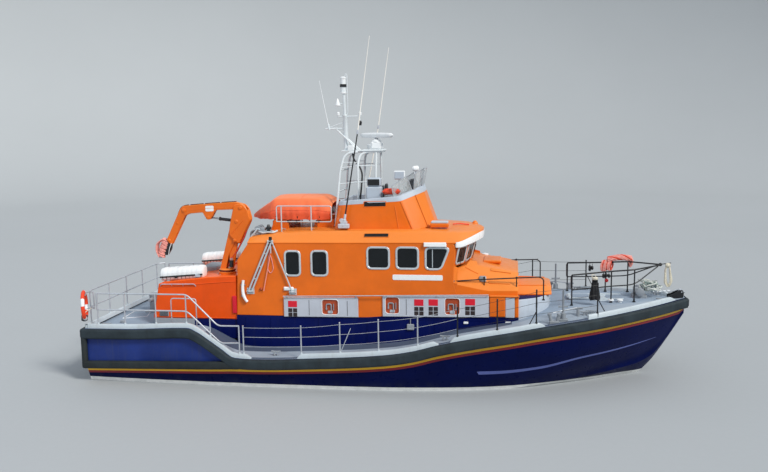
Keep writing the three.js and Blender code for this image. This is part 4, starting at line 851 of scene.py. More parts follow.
for side, s in (("starboard", -1), ("port", 1)):
    b = Build()
    b.slab(SIDE, "xz", s * 1.75, s * 1.69, 0.014, 0)
    wall = b.make(f"wheelhouse_wall_{side}", [ORANGE, ORANGE_IN], 30)
    cut = Build()
    for w in WINDOWS:
        cut.pane(win_poly(w), 0.15, 0.045, (0, s * 1.72, 0), (1, 0, 0), (0, 0, 1), (0, s, 0), -0.09, 0.09, 1, 8)
    carve(wall, [cut.make("cut_windows", [ORANGE, ORANGE_IN])], 30)
    done(wall, "boat", [f"wheelhouse_side_{side}"])
    b = Build()
    for w in WINDOWS:
        b.ring(win_poly(w), 0.15, (0, s * 1.75, 0), (1, 0, 0), (0, 0, 1), (0, s, 0),
               [(-0.006, -0.004), (-0.004, 0.012), (0.006, 0.022), (0.040, 0.024), (0.052, 0.014), (0.056, -0.05), (0.044, -0.058)], 0, 9)
    for w in WINDOWS:   # dark seal
        b.ring(win_poly(w), 0.15, (0, s * 1.75, 0), (1, 0, 0), (0, 0, 1), (0, s, 0),
               [(0.050, 0.004), (0.054, 0.012), (0.066, 0.008), (0.068, -0.02)], 1, 9)
        x0, x1, z0, z1, xf = w
        for cx, cz in ((x0 + 0.1, z0 + 0.012), (x1 - 0.1, z1 - 0.012), (x0 + 0.012, (z0 + z1) / 2), (x0 + 0.1, z1 - 0.012)):
            b.turn((cx, s * 1.772, cz), (cx, s * 1.780, cz), [(0, 0.009), (0.6, 0.009), (1, 0.005)], 8, 1)
    b.tube([(1.45, s * 1.742, 3.30), (1.45, s * 1.742, 3.82)], 0.012, 6, m=0)      # slider bar in the last window
    done(b.make(f"window_frames_{side}", [ALU, BLACK], 35), "boat")
    b = Build()
    for w in WINDOWS:
        b.pane(win_poly(w), 0.15, 0.055, (0, s * 1.73, 0), (1, 0, 0), (0, 0, 1), (0, s, 0), 0.0, 0.008, 0, 8)
    done(b.make(f"window_panes_{side}", [GLASS], 30), "boat", [f"side_glazing_{side}"])

# windscreen: six raked panes in a pale frame
FRONT = [(2.04, 1.68), (2.28, 1.18), (2.42, 0.43), (2.42, -0.43), (2.28, -1.18), (2.04, -1.68)]
b, g = Build(), Build()
for i in range(5):
    A, C = np.array([*FRONT[i], 3.33]), np.array([*FRONT[i + 1], 3.33])
    U = unit(C - A)
    L = float(np.linalg.norm(C - A))
    lean = unit(np.array([0.15, 0, 0.57]))
    N = unit(np.cross(U, lean)) * -1
    if N[0] < 0:
        N = -N
    Vv = unit(np.cross(N, U))
    if Vv[2] < 0:
        Vv = -Vv
    hh = 0.57 / Vv[2]
    parts = [(0, L / 2), (L / 2, L)] if i == 2 else [(0, L)]
    for a, c in parts:
        q = [(a + 0.04, 0.05), (c - 0.04, 0.05), (c - 0.04, hh - 0.03), (a + 0.04, hh - 0.03)]
        b.ring(q, 0.09, A, U, Vv, N, [(-0.02, -0.005), (-0.015, 0.016), (0.0, 0.022), (0.030, 0.022), (0.042, 0.012), (0.045, -0.03)], 0, 6)
        b.ring(q, 0.09, A, U, Vv, N, [(0.040, 0.004), (0.044, 0.013), (0.054, 0.008), (0.056, -0.02)], 1, 6)
        g.pane(q, 0.09, 0.04, A, U, Vv, N, 0.001, 0.006, 0, 6)
        mid = (a + c) / 2
        arm = A + U * mid + N * 0.045 + Vv * 0.0
        b.tube([arm + Vv * 0.01, arm + Vv * 0.22 + U * 0.05, arm + Vv * 0.40 + U * 0.10], 0.008, 6, m=1)
        b.tube([arm + Vv * 0.22 - U * 0.02 - N * 0.012, arm + Vv * 0.46 + U * 0.16 - N * 0.012], 0.007, 6, m=1)
done(b.make("windscreen_frames", [ALU, BLACK], 35), "boat")
done(g.make("windscreen_panes", [GLASSF], 30), "boat", ["front_glazing"])

# ------------------------------------------------------------------- roof
ROOF = [(-3.81, 1.755, 3.945, 1.50, 4.06, 4.12), (-3.50, 1.755, 3.95, 1.45, 4.13, 4.20), (-1.40, 1.755, 3.965, 1.43, 4.24, 4.30),
        (1.20, 1.755, 3.985, 1.40, 4.26, 4.33), (2.18, 1.755, 3.99, 1.35, 4.22, 4.33), (2.48, 1.38, 4.00, 1.05, 4.20, 4.30),
        (2.68, 0.86, 4.01, 0.64, 4.19, 4.26), (2.79, 0.33, 4.02, 0.24, 4.18, 4.20)]
RF = [pchip([r[0] for r in ROOF], [r[i] for r in ROOF]) for i in range(1, 6)]
b = Build()
rx = list(np.arange(-3.81, 2.18, 0.35)) + [2.18, 2.26, 2.34, 2.42, 2.50, 2.57, 2.63, 2.69, 2.74, 2.79]
rings = []
for x in rx:
    yf, zf, yt, zt, zc = (f(x) for f in RF)
    half = [(yf - 0.012, zf - 0.035), (yf + 0.006, zf - 0.015), (yf + 0.004, zf + 0.006), (yf - 0.012, zf + 0.02)]
    half += [(lerp(yf, yt, t), lerp(zf + 0.012, zt, t)) for t in (0.3, 0.65, 0.93)]
    half += [(yt - 0.03, zt + 0.012)] + [(yt * (1 - t), lerp(zt, zc, math.sin(t * math.pi / 2))) for t in (0.2, 0.45, 0.7)]
    rings.append([(x, -y, z) for y, z in half] + [(x, 0, zc)] + [(x, y, z) for y, z in half[::-1]])
b.loft(rings, 0)
n_out = len(b.f)
o = b.make("wheelhouse_roof_shell", [ORANGE, ORANGE_IN], 28)
cut = Build()
cut.loft([[(x, -y, z) for y, z in ((1.60, 3.5), (1.60, 4.0), (1.36, 4.10 if x > -3.5 else 4.0))] + [(x, 0, 4.18 if x > -3.5 else 4.05)] + [(x, y, z) for y, z in ((1.36, 4.10 if x > -3.5 else 4.0), (1.60, 4.0), (1.60, 3.5))]
          for x in (-3.72, -3.3, 2.05)], 1)
carve(o, [cut.make("cut_roof", [ORANGE, ORANGE_IN])], 28)
done(o, "boat", ["wheelhouse_roof"])

# white band under the roof's front edge, and the short visor over the last side window
b = Build()
band = []
for x in [2.10, 2.18, 2.26, 2.34, 2.42, 2.50, 2.57, 2.63, 2.69, 2.74, 2.785]:
    y = RF[0](x)
    zt = lerp(4.005, 4.15, smooth((x - 2.1) / 0.69))
    zb_ = lerp(3.865, 3.97, smooth((x - 2.1) / 0.69))
    band.append((x, y, zb_, zt))
rings = []
for x, y, z0, z1 in band:
    rings.append([(x + 0.004, -(y + 0.022), z0), (x + 0.01, -(y + 0.028), (z0 + z1) / 2), (x + 0.004, -(y + 0.012), z1), (x - 0.03, -(y - 0.03), z1 + 0.004), (x - 0.03, -(y - 0.05), z0)])
allr = rings + [[(p[0], -p[1], p[2]) for p in r] for r in rings[::-1]]
b.loft(allr, 0)
for s in (-1, 1):
    b.slab([(1.22, 3.885), (1.84, 3.885), (1.83, 4.005), (1.22, 4.0)], "xz", s * 1.752, s * 1.83, 0.012, 0)
    b.box((1.22, min(s * 1.75, s * 1.80), 3.93), (1.84, max(s * 1.75, s * 1.80), 3.97), 0.01, 0)
done(b.make("visor_band", [VISOR], 35), "boat")

# dark vent slots with their frames: roof side, tub side
b = Build()


def slot_vent(b, org, U, Vv, N, w, h):
    q = [(-w / 2, -h / 2), (w / 2, -h / 2), (w / 2, h / 2), (-w / 2, h / 2)]
    b.pane(q, 0.012, 0.0, org, U, Vv, N, -0.01, 0.004, 1, 2)
    b.ring(q, 0.014, org, U, Vv, N, [(-0.012, 0.0), (-0.01, 0.010), (0.004, 0.010), (0.006, 0.003)], 0, 2)
    for i in range(3):
        t = -h / 2 + h * (i + 1) / 4
        p = vec(org) + vec(Vv) * t + vec(N) * 0.006
        b.tube([p - vec(U) * (w / 2 - 0.01), p + vec(U) * (w / 2 - 0.01)], 0.006, 5, m=1)


for s in (-1, 1):
    x = -0.135
    yf, zf, yt, zt, zc = (f(x) for f in RF)
    Vv = unit(np.array([0, -s * (yf - yt), zt - zf]))
    U = np.array([1.0, 0, 0.01])
    N = unit(np.cross(U, Vv)) * (1 if s < 0 else -1)
    if N[1] * s < 0:
        N = -N
    c = np.array([x, s * lerp(yf, yt, 0.62), lerp(zf + 0.012, zt, 0.62)]) + N * 0.004
    slot_vent(b, c, U, Vv, N, 0.69, 0.135)
done(b.make("roof_vents", [ORANGE, VENT], 35), "boat")

# ------------------------------------------------------------- coach roof
COACH = [(2.12, 1.745, 1.40, 3.23), (2.48, 1.748, 1.15, 3.32), (3.0, 1.748, 1.08, 3.20), (3.78, 1.69, 0.98, 3.06)]
CF = [lambda x, i=i: float(np.interp(x, [r[0] for r in COACH], [r[i] for r in COACH])) for i in (1, 2, 3)]
b = Build()
rings = []
for x in (2.105, 2.125, 2.30, 2.475, 2.485, 2.75, 3.0, 3.2, 3.4, 3.6, 3.76, 3.785):
    yf, yt, zt = (f(x) for f in CF)
    zk = lerp(2.86, 2.68, min(1, max(0, (x - 2.03) / 0.9)))
    e = 0.02 if x == 3.785 else 0
    zlow = 1.853 if x < 2.99 else 2.423
    half = [(yf - e, zlow), (yf - e, zk - 0.03), (yf - 0.006 - e, zk - 0.008), (yf - 0.03 - e, zk + 0.018)]
    half += [(lerp(yf, yt, t) - e, lerp(zk, zt, t)) for t in (0.25, 0.6, 0.94)]
    half += [(yt - 0.03 - e, zt + 0.004), (yt * 0.5, zt + 0.015)]
    rings.append([(x, -y, z) for y, z in half] + [(x, 0, zt + 0.025)] + [(x, y, z) for y, z in half[::-1]])
b.loft(rings[:7], 0)
b.loft([[(p[0], p[1], max(p[2], 2.423)) for p in r] for r in rings[6:]], 0)
nose = []
for x, y, z in ((3.70, 1.048, 2.639), (4.2, 0.996, 2.637), (4.56, 0.962, 2.634), (4.66, 0.918, 2.618), (4.715, 0.878, 2.598)):
    half = [(y, 2.423), (y, 2.450), (y - 0.012, 2.466), (y - 0.17, lerp(2.466, z, 0.52)), (y - 0.315, z - 0.008), (y - 0.345, z)]
    nose.append([(x, -a, c) for a, c in half] + [(x, 0, z + 0.012)] + [(x, a, c) for a, c in half[::-1]])
b.loft(nose, 0)
b.box((4.705, -0.36, 2.45), (4.728, -0.10, 2.57), 0.01, 1)
for s in (-1, 1):       # rim strip along the block's shoulder
    b.tube([(3.80, s * 0.70, 2.645), (4.56, s * 0.62, 2.642)], 0.012, 6, m=0)
done(b.make("coach_roof_shell", [ORANGE, REDOR], 26), "boat", ["coach_roof"])
# raised panels and ridge boxes on the coach roof
b = Build()
for s in (-1, 1):
    for x0, x1, t0, t1 in ((3.02, 3.58, 0.86, 1.02), (2.98, 3.56, 0.30, 0.42)):
        q = []
        for x, t in ((x0, t0), (x1, t0 + 0.02), (x1, t1), (x0, t1)):
            yf, yt, zt = (f(x) for f in CF)
            zk = lerp(2.86, 2.68, min(1, max(0, (x - 2.03) / 0.9)))
            q.append(np.array([x, s * lerp(yf, yt, min(t, 0.98)), lerp(zk, zt, min(t, 0.98))]))
        N = unit(np.cross(q[1] - q[0], q[3] - q[0]))
        if N[2] < 0:
            N = -N
        b.loft([[p - N * 0.01 for p in q], [p + N * 0.014 for p in q], [lerp(p, sum(q) / 4, 0.05) + N * 0.02 for p in q]], 0)
    # corner filler and the sloping facet between wall, slope and windscreen
    b.slab([(1.98, 2.52), (2.13, 2.52), (2.13, 2.852), (2.02, 2.885), (1.98, 2.95)], "xz", s * 1.744, s * 1.66, 0.004, 0)
    q = [np.array(p) for p in ((1.90, s * 1.752, 3.17), (2.02, s * 1.754, 2.87), (2.13, s * 1.748, 2.85), (2.13, s * 1.40, 3.245), (2.05, s * 1.66, 3.34))]
    mid_ = sum(q) / 5 + np.array([0.04, s * 0.02, 0.01])
    b.loft([[p + np.array([-0.04, -s * 0.05, -0.03]) for p in q], q, [lerp(p, mid_, 0.1) for p in q]], 0)
    # navy foot below the lockers
    b.loft([[(2.99, s * 1.70, 1.78), (2.99, s * 1.762, 1.78), (2.99, s * 1.762, 1.945), (2.99, s * 1.70, 1.945)],
            [(3.80, s * 1.64, 1.78), (3.80, s * 1.70, 1.78), (3.80, s * 1.70, 1.925), (3.80, s * 1.64, 1.925)]], 1)
    b.slab([(-0.66, 1.80), (3.0, 1.80), (3.0, 1.935), (0.05, 1.90), (-0.66, 1.84)], "xz", s * 1.753, s * 1.70, 0.003, 1)
    # ridge beside the windscreen
    b.loft([[(2.30, s * 1.32, 3.20), (2.42, s * 1.02, 3.30), (2.66, s * 0.98, 3.27), (2.70, s * 1.38, 3.03)],
            [(2.32, s * 1.30, 3.26), (2.44, s * 1.04, 3.40), (2.64, s * 1.00, 3.36), (2.68, s * 1.36, 3.09)]], 0)
b.box((2.78, -0.42, 3.20), (3.30, 0.42, 3.30), 0.03, 0)
done(b.make("coach_roof_panels", [ORANGE, NAVY2], 30), "boat")


# --------------------------------------------------------------- aft cabin
b = Build()
AFT = [(-6.76, 1.70), (-6.56, 2.70), (-6.44, 2.76), (-5.05, 2.93), (-4.196, 2.985), (-4.196, 1.70)]
b.slab(AFT, "xz", -1.70, 1.70, 0.022, 0)
o = b.make("aft_cabin_shell", [REDOR, ORANGE_IN], 30)
cut = Build()
inner = [(-6.688, 1.705), (-6.50, 2.655), (-6.42, 2.70), (-5.05, 2.868), (-4.235, 2.92), (-4.10, 2.92), (-4.10, 1.66), (-6.697, 1.66)]
cut.slab([(-6.688, 1.66)] + inner[1:7], "xz", -1.64, 1.64, 0.0, 1)
door = Build()
door.box((-6.95, 0.33, 1.73), (-6.2, 1.03, 2.62), 0.0, 1)
carve(o, [cut.make("cut_cabin", [REDOR, ORANGE_IN]), door.make("cut_door", [REDOR, ORANGE_IN])], 30)
done(o, "boat", ["aft_cabin"])
TILT = math.atan2(0.2, 1.0)
DU, DV = np.array([0, 1.0, 0]), np.array([math.sin(TILT), 0, math.cos(TILT)])
DN = np.array([-math.cos(TILT), 0, math.sin(TILT)])
DORG = np.array([-6.7618, 0, 1.725])
b = Build()
leaf = [(0.29, 0.02), (1.07, 0.02), (1.07, 0.89), (0.29, 0.89)]
b.pane(leaf, 0.05, 0.0, DORG, DU, DV, DN, 0.003, 0.030, 0, 6)
b.ring(leaf, 0.05, DORG, DU, DV, DN, [(-0.001, 0.004), (0.0, 0.030), (0.012, 0.038), (0.05, 0.038), (0.062, 0.028)], 0, 6)
port = [(0.53, 0.50), (0.83, 0.50), (0.83, 0.74), (0.53, 0.74)]
b.ring(port, 0.06, DORG, DU, DV, DN, [(-0.03, 0.028), (-0.026, 0.042), (0.0, 0.044), (0.008, 0.03)], 1, 6)
b.pane(port, 0.06, 0.0, DORG, DU, DV, DN, 0.026, 0.034, 2, 6)
for v in (0.14, 0.45, 0.76):
    p = DORG + DU * 0.36 + DV * v + DN * 0.036
    b.turn(p, p + DN * 0.016, [(0, 0.022), (0.7, 0.022), (1, 0.012)], 12, 1)
    b.tube([p + DN * 0.014 - DU * 0.005, p + DN * 0.014 + DU * 0.07 - DV * 0.035], 0.009, 8, m=1)
for v in (0.12, 0.78):
    p = DORG + DU * 1.058 + DV * v + DN * 0.024
    b.tube([p - DV * 0.06, p + DV * 0.06], 0.012, 10, m=1)
done(b.make("aft_cabin_door_fine", [REDOR, STEEL, GLASS], 32), "aft_cabin_door", ["aft_cabin_door"])

# fittings on the aft cabin: rails, vents, rain strip, top boxes, crane's guard
b = Build()
for s in (-1, 1):
    for z in (2.71,):
        b.tube([(-6.49, s * 1.705, 2.645), (-6.47, s * 1.745, z), (-5.45, s * 1.745, z + 0.02), (-5.42, s * 1.705, 2.66)], 0.013, 10, bend=0.05, m=0)
        for x in (-6.15, -5.8):
            b.tube([(x, s * 1.70, 2.66), (x, s * 1.745, 2.715)], 0.009, 8, m=0)
    b.box((-6.56, min(s * 1.695, s * 1.722), 1.755), (-6.28, max(s * 1.695, s * 1.722), 1.925), 0.01, 6)
    for i in range(5):
        b.tube([(-6.545, s * 1.726, 1.775 + i * 0.027), (-6.295, s * 1.726, 1.775 + i * 0.027)], 0.006, 6, m=1)
    b.tube([(-6.52, s * 1.70, 2.60), (-5.0, s * 1.706, 2.76), (-4.21, s * 1.706, 2.82)], 0.010, 8, m=3)
    b.tube([(-6.70, s * 1.702, 1.74), (-4.22, s * 1.702, 1.74)], 0.008, 8, m=3)
    b.box((-4.33, min(s * 1.70, s * 1.745), 1.89), (-4.20, max(s * 1.70, s * 1.745), 2.40), 0.015, 4)
    for z in (2.03, 2.14, 2.26):
        b.box((-4.32, min(s * 1.742, s * 1.750), z), (-4.21, max(s * 1.742, s * 1.750), z + 0.012), 0.003, 4)
for x0, x1, y0, y1, h in ((-5.05, -4.95, 0.15, 1.45, 0.05), (-6.1, -5.9, -0.9, 0.9, 0.045), (-4.4, -4.3, 0.2, 1.4, 0.05)):
    def top(x):
        return float(np.interp(x, [-6.44, -5.05, -4.196], [2.76, 2.93, 2.985]))
    b.loft([[(x0, y0, top(x0) - 0.01), (x1, y0, top(x1) - 0.01), (x1, y0, top(x1) + h), (x0, y0, top(x0) + h)],
            [(x0, y1, top(x0) - 0.01), (x1, y1, top(x1) - 0.01), (x1, y1, top(x1) + h), (x0, y1, top(x0) + h)]], 3)
b.box((-5.72, -0.42, 2.80), (-5.22, 0.42, 3.02), 0.03, 6)      # grey deck box between the canisters
b.tube([(-5.73, -0.3, 2.9), (-5.76, -0.3, 2.93), (-5.76, 0.3, 2.93), (-5.73, 0.3, 2.9)], 0.01, 8, m=0)
for y in (-0.25, 0.25):
    b.box((-5.735, y - 0.03, 2.94), (-5.715, y + 0.03, 3.0), 0.006, 0)
done(b.make("aft_cabin_fittings", [STEEL, BLACK, VENT, REDOR, REDPLATE, ALU, GREYBOX], 32), "boat")

# ------------------------------------------------------- aft bulkhead
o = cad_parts["wheelhouse_aft_bulkhead"]


def give(node, mat):
    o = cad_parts[node]
    o.data.materials.clear()
    o.data.materials.append(mat)
    o.data.set_sharp_from_angle(angle=math.radians(30))


give("wheelhouse_aft_bulkhead", ORANGE)
give("wheelhouse_front", ORANGE)
give("wheelhouse_console", CONSOLE)
give("crew_seats", VINYL)
for n in ("centre_skeg", "bilge_keel_port", "bilge_keel_starboard", "rudder_port", "rudder_starboard"):
    give(n, ANTI)
for n in ("shaft_bracket_port", "shaft_bracket_starboard", "propeller_port", "propeller_starboard"):
    give(n, BRONZE)
b = Build()     # bulkhead stiffeners, doorway rim
for y in (-1.35, -0.75, -0.15):
    b.tube([(-4.205, y, 3.05), (-4.135, y, 3.42), (-3.86, y, 3.84)], 0.018, 8, m=0, bend=0.03)
b.ring([(0.30, 1.88), (1.03, 1.88), (1.03, 2.90), (0.30, 2.90)], 0.06, (-4.20, 0, 0), (0, 1, 0), (0, 0, 1), (-1, 0, 0), [(-0.03, -0.005), (-0.026, 0.006), (0.0, 0.006), (0.004, -0.004)], 1, 6)
done(b.make("bulkhead_fittings", [ORANGE, ALU], 32), "boat")

# instruments on the wheelhouse console and wheels
b = Build()
for y in (-1.15, -0.62, 0.0, 0.62, 1.15):
    b.box((1.60, y - 0.21, 3.03), (1.68, y + 0.21, 3.20), 0.015, 0)
    b.box((1.585, y - 0.18, 3.05), (1.602, y + 0.18, 3.18), 0.004, 1)
b.turn((1.14, -0.62, 2.52), (1.10, -0.62, 2.56), [(0, 0.17), (0.5, 0.185), (1, 0.17)], 28, 0)
for y in (0.5, 0.6):
    b.tube([(1.30, y, 2.80), (1.24, y, 2.98)], 0.014, 8, m=2)
    b.turn((1.24, y, 2.97), (1.23, y, 3.01), [(0, 0.02), (0.5, 0.028), (1, 0.012)], 12, 0)
done(b.make("console_instruments", [BLACK, GLASS, STEEL], 32), "boat")

# ------------------------------------------------------------ side lockers
b = Build()
LOCK = [dict(x0=-2.79, x1=-0.64, z0=1.835, z1=2.40, rec=[(-1.68, -1.21)]), dict(x0=0.05, x1=2.99, z0=1.90, z1=2.50, rec=[(0.13, 0.52), (1.79, 2.20)])]
for s, side in ((-1, "starboard"), (1, "port")):
    b = Build()
    for p in LOCK:
        dz = (p["x1"] - p["x0"]) * 0.012
        b.slab([(p["x0"], p["z0"]), (p["x1"], p["z0"] + dz), (p["x1"], p["z1"] + dz), (p["x0"], p["z1"])], "xz", s * 1.752, s * 1.795, 0.014, 0)
    body = b.make(f"side_locker_{side}", [LOCKER, RECESS], 30)
    cut = Build()
    for p in LOCK:
        for a, c in p["rec"]:
            q = [(a, p["z0"] + 0.09), (c, p["z0"] + 0.09), (c, p["z1"] - 0.04), (a, p["z1"] - 0.04)]
            cut.pane(q, 0.09, 0.0, (0, s * 1.80, 0), (1, 0, 0), (0, 0, 1), (0, s, 0), -0.036, 0.02, 1, 6)
    carve(body, [cut.make("cut_recess", [LOCKER, RECESS])], 30)
    done(body, "boat", [f"side_lockers_{side}"])
    b = Build()
    for p in LOCK:
        n = 3 if p["x0"] < 0 else 5
        for a, c in p["rec"]:
            q = [(a, p["z0"] + 0.09), (c, p["z0"] + 0.09), (c, p["z1"] - 0.04), (a, p["z1"] - 0.04)]
            b.ring(q, 0.09, (0, s * 1.795, 0), (1, 0, 0), (0, 0, 1), (0, s, 0), [(-0.010, -0.002), (-0.008, 0.006), (0.004, 0.006), (0.006, -0.03)], 0, 6)
            m = (a + c) / 2
            b.box((m - 0.07, min(s * 1.766, s * 1.792), p["z0"] + 0.12), (m + 0.07, max(s * 1.766, s * 1.792), p["z0"] + 0.20), 0.01, 4)
            ym = s * 1.782
            b.tube([(m - 0.11, ym, p["z0"] + 0.27), (m - 0.11, ym, p["z0"] + 0.39), (m + 0.03, ym, p["z0"] + 0.39), (m + 0.03, ym, p["z0"] + 0.12)], 0.017, 10, bend=0.04, m=8)
            b.tube([(m + 0.10, ym, p["z0"] + 0.40), (m + 0.10, ym, p["z0"] + 0.22)], 0.012, 8, m=8)
            b.turn((m - 0.11, ym, p["z0"] + 0.22), (m - 0.11, ym, p["z0"] + 0.28), [(0, 0.016), (0.4, 0.026), (1, 0.018)], 10, 8)
    # red square plates, each with four small black plates under it
    for x0, x1, z0, z1 in ((-2.66, -2.40, 2.12, 2.30), (0.94, 1.20, 2.23, 2.41), (1.34, 1.60, 2.24, 2.42), (2.35, 2.62, 2.27, 2.45)):
        b.box((x0, min(s * 1.79, s * 1.803), z0), (x1, max(s * 1.79, s * 1.803), z1), 0.006, 1)
        w, h = (x1 - x0 - 0.02) / 2, 0.115
        for i in (0, 1):
            for j in (0, 1):
                xa, za = x0 + i * (w + 0.02), z0 - 0.02 - (j + 1) * (h + 0.012)
                b.box((xa, min(s * 1.79, s * 1.801), za), (xa + w, max(s * 1.79, s * 1.801), za + h), 0.005, 10)
    for i, x in enumerate((-0.95, -2.05, 0.72)):       # thin door lines
        b.tube([(x, s * 1.797, 1.90 + (0.07 if x > 0 else 0)), (x, s * 1.797, 2.33 + (0.08 if x > 0 else 0))], 0.006, 6, m=3)
    yr = s * 1.84
    b.tube([(-2.79, yr, 2.438), (2.99, yr, 2.576)], 0.015, 12, m=4)
    for x in (-2.70, -0.70, 0.15, 1.55, 2.95):
        dz = (x + 2.70) * 0.024
        b.tube([(x, s * 1.79, 2.38 + dz), (x, s * 1.825, 2.395 + dz), (x, yr, 2.44 + dz)], 0.012, 8, bend=0.02, m=4)
        b.turn((x, s * 1.785, 2.38 + dz), (x, s * 1.80, 2.38 + dz), [(0, 0.028), (0.7, 0.028), (1, 0.018)], 12, 4)
    # blank rounded plate under the third window, and a small light
    q = [(0.34, 2.94), (1.73, 2.94), (1.73, 3.09), (0.34, 3.09)]
    b.pane(q, 0.04, 0.0, (0, s * 1.75, 0), (1, 0, 0), (0, 0, 1), (0, s, 0), -0.002, 0.008, 0, 6)
    b.pane(q, 0.04, 0.008, (0, s * 1.75, 0), (1, 0, 0), (0, 0, 1), (0, s, 0), 0.006, 0.011, 6, 6)
    b.box((-2.78, min(s * 1.75, s * 1.80), 2.59), (-2.49, max(s * 1.75, s * 1.80), 2.70), 0.02, 0)
    b.box((-2.76, min(s * 1.79, s * 1.812), 2.61), (-2.51, max(s * 1.79, s * 1.812), 2.68), 0.015, 7)
    for x, y, z in ((2.32, 2.4, 1.765),):
        b.box((2.30, min(s * 1.745, s * 1.775), 1.735), (2.43, max(s * 1.745, s * 1.775), 1.80), 0.012, 0)
    b.box((0.73, min(s * 1.745, s * 1.80), 1.53), (0.93, max(s * 1.745, s * 1.80), 1.70), 0.015, 8)
    b.tube([(0.83, s * 1.775, 1.69), (0.83, s * 1.775, 1.86)], 0.012, 8, m=8)
    b.box((3.44, min(s * 1.72, s * 1.75), 1.70), (3.60, max(s * 1.72, s * 1.75), 1.82), 0.012, 0)
    for x in (-3.95, -3.2, -1.8, -0.4, 1.5):
        b.tube([(x, s * 1.752, H["zd"](x) + 0.02), (x, s * 1.752, 1.78)], 0.008, 6, m=9)
    done(b.make(f"side_fittings_{side}", [VISOR, REDPLATE, BLACK, BLACK, STEEL, ORANGE, WHITE, LENS_W, GREYBOX, NAVY2, DARKP], 32), "boat")

# ---------------------------------------------------------- recovery frames
for s, side in ((-1, "starboard"), (1, "port")):
    b = Build()
    y = s * 1.812
    b.tube([(-3.81, y, 2.56), (-3.16, y, 4.02)], 0.026, 12, m=0)
    b.tube([(-3.71, y, 2.56), (-3.08, y, 4.00)], 0.026, 12, m=0)
    b.tube([(-2.52, y, 2.56), (-3.09, y, 4.04)], 0.019, 12, m=0)
    b.tube([(-3.20, y, 4.01), (-3.04, y, 4.01)], 0.032, 14, m=0)
    for t in (0.25, 0.5, 0.75):
        b.tube([(lerp(-3.81, -3.16, t), y, lerp(2.56, 4.02, t)), (lerp(-3.71, -3.08, t), y, lerp(2.56, 4.0, t))], 0.014, 8, m=0)
    for x in (-3.76, -2.52):
        b.cyl((x - 0.06, y, 2.56), (x + 0.06, y, 2.56), 0.026, 16, m=0)
    b.turn((-3.12, y - 0.03, 4.01), (-3.12, y + 0.03, 4.01), [(0, 0.04), (0.3, 0.058), (0.7, 0.058), (1, 0.04)], 18, 1)
    b.box((-3.16, y - 0.022, 3.99), (-3.07, y + 0.022, 4.13), 0.012, 1)
    b.tube([(-3.20, y, 3.90), (-3.02, y, 3.90)], 0.018, 10, m=1)
    b.tube([(-3.115, y - s * 0.0, 3.90), (-3.115, y, 3.66)], 0.016, 8, m=0)
    done(b.make(f"recovery_frame_{side}_fine", [ALU, BLACK], 35), f"recovery_frame_{side}", [f"recovery_frame_{side}"])
    b = Build()     # hinge clips fixed on the wall on each side of the feet
    for x in (-3.76, -2.52):
        for d in (-0.085, 0.085):
            b.slab([(s * 1.752, 2.50), (s * 1.79, 2.515), (s * 1.845, 2.545), (s * 1.845, 2.575), (s * 1.79, 2.60), (s * 1.752, 2.615)], "yz", x + d - 0.008, x + d + 0.008, 0.002, 0)
        b.box((x - 0.11, min(s * 1.75, s * 1.762), 2.47), (x + 0.11, max(s * 1.75, s * 1.762), 2.65), 0.006, 0)
    # curved white hook and its line lying on the wall by the aft foot
    b.tube([(-3.955, s * 1.798, 2.87), (-3.985, s * 1.80, 2.66), (-3.97, s * 1.80, 2.46), (-3.91, s * 1.80, 2.32), (-3.855, s * 1.798, 2.25)], lambda t: 0.048 - 0.010 * abs(2 * t - 1), 14, bend=0.12, m=1)
    for z in (2.40, 2.72):
        b.box((-4.04, min(s * 1.75, s * 1.805), z), (-3.91, max(s * 1.75, s * 1.805), z + 0.03), 0.006, 4)
    b.tube([(-3.30, s * 1.762, 3.84), (-3.12, s * 1.762, 3.55), (-3.06, s * 1.762, 3.20), (-3.16, s * 1.762, 3.06), (-3.24, s * 1.762, 3.20), (-3.20, s * 1.762, 3.55), (-3.10, s * 1.762, 3.84)], 0.011, 8, bend=0.1, m=2)
    b.tube([(-3.36, s * 1.80, 2.58), (-3.14, s * 1.80, 3.60)], 0.012, 8, m=2)
    b.turn((-3.45, s * 1.752, 2.62), (-3.45, s * 1.80, 2.62), [(0, 0.05), (0.5, 0.045), (1, 0.02)], 14, 3)
    done(b.make(f"recovery_gear_{side}", [ALU, VISOR, PINK, RECESS, GREYBOX], 35), "boat")

# ------------------------------------------------- upper steering position
TUB = [(-1.44, 1.15, 4.215, -1.29, 1.04, 5.06), (0.85, 1.15, 4.23, 0.43, 1.04, 5.20), (1.25, 0.82, 4.29, 0.82, 0.76, 5.36), (1.44, 0.38, 4.32, 1.04, 0.38, 5.44)]


def tub_ring(t, off=0.0, dz=0.0):
    h_ = [(lerp(a, d, t), lerp(b_, e, t), lerp(c_, f_, t)) for a, b_, c_, d, e, f_ in TUB]
    pts = []
    for x, y, z in h_:
        pts.append(np.array([x + off if x < -1.0 else x - off * (1 if x > 0.7 else 0.6), y - off, z + dz]))
    full = [np.array([p[0], -p[1], p[2]]) for p in pts] + pts[::-1]
    return rounded(full, 0.10, 5, closed=True)


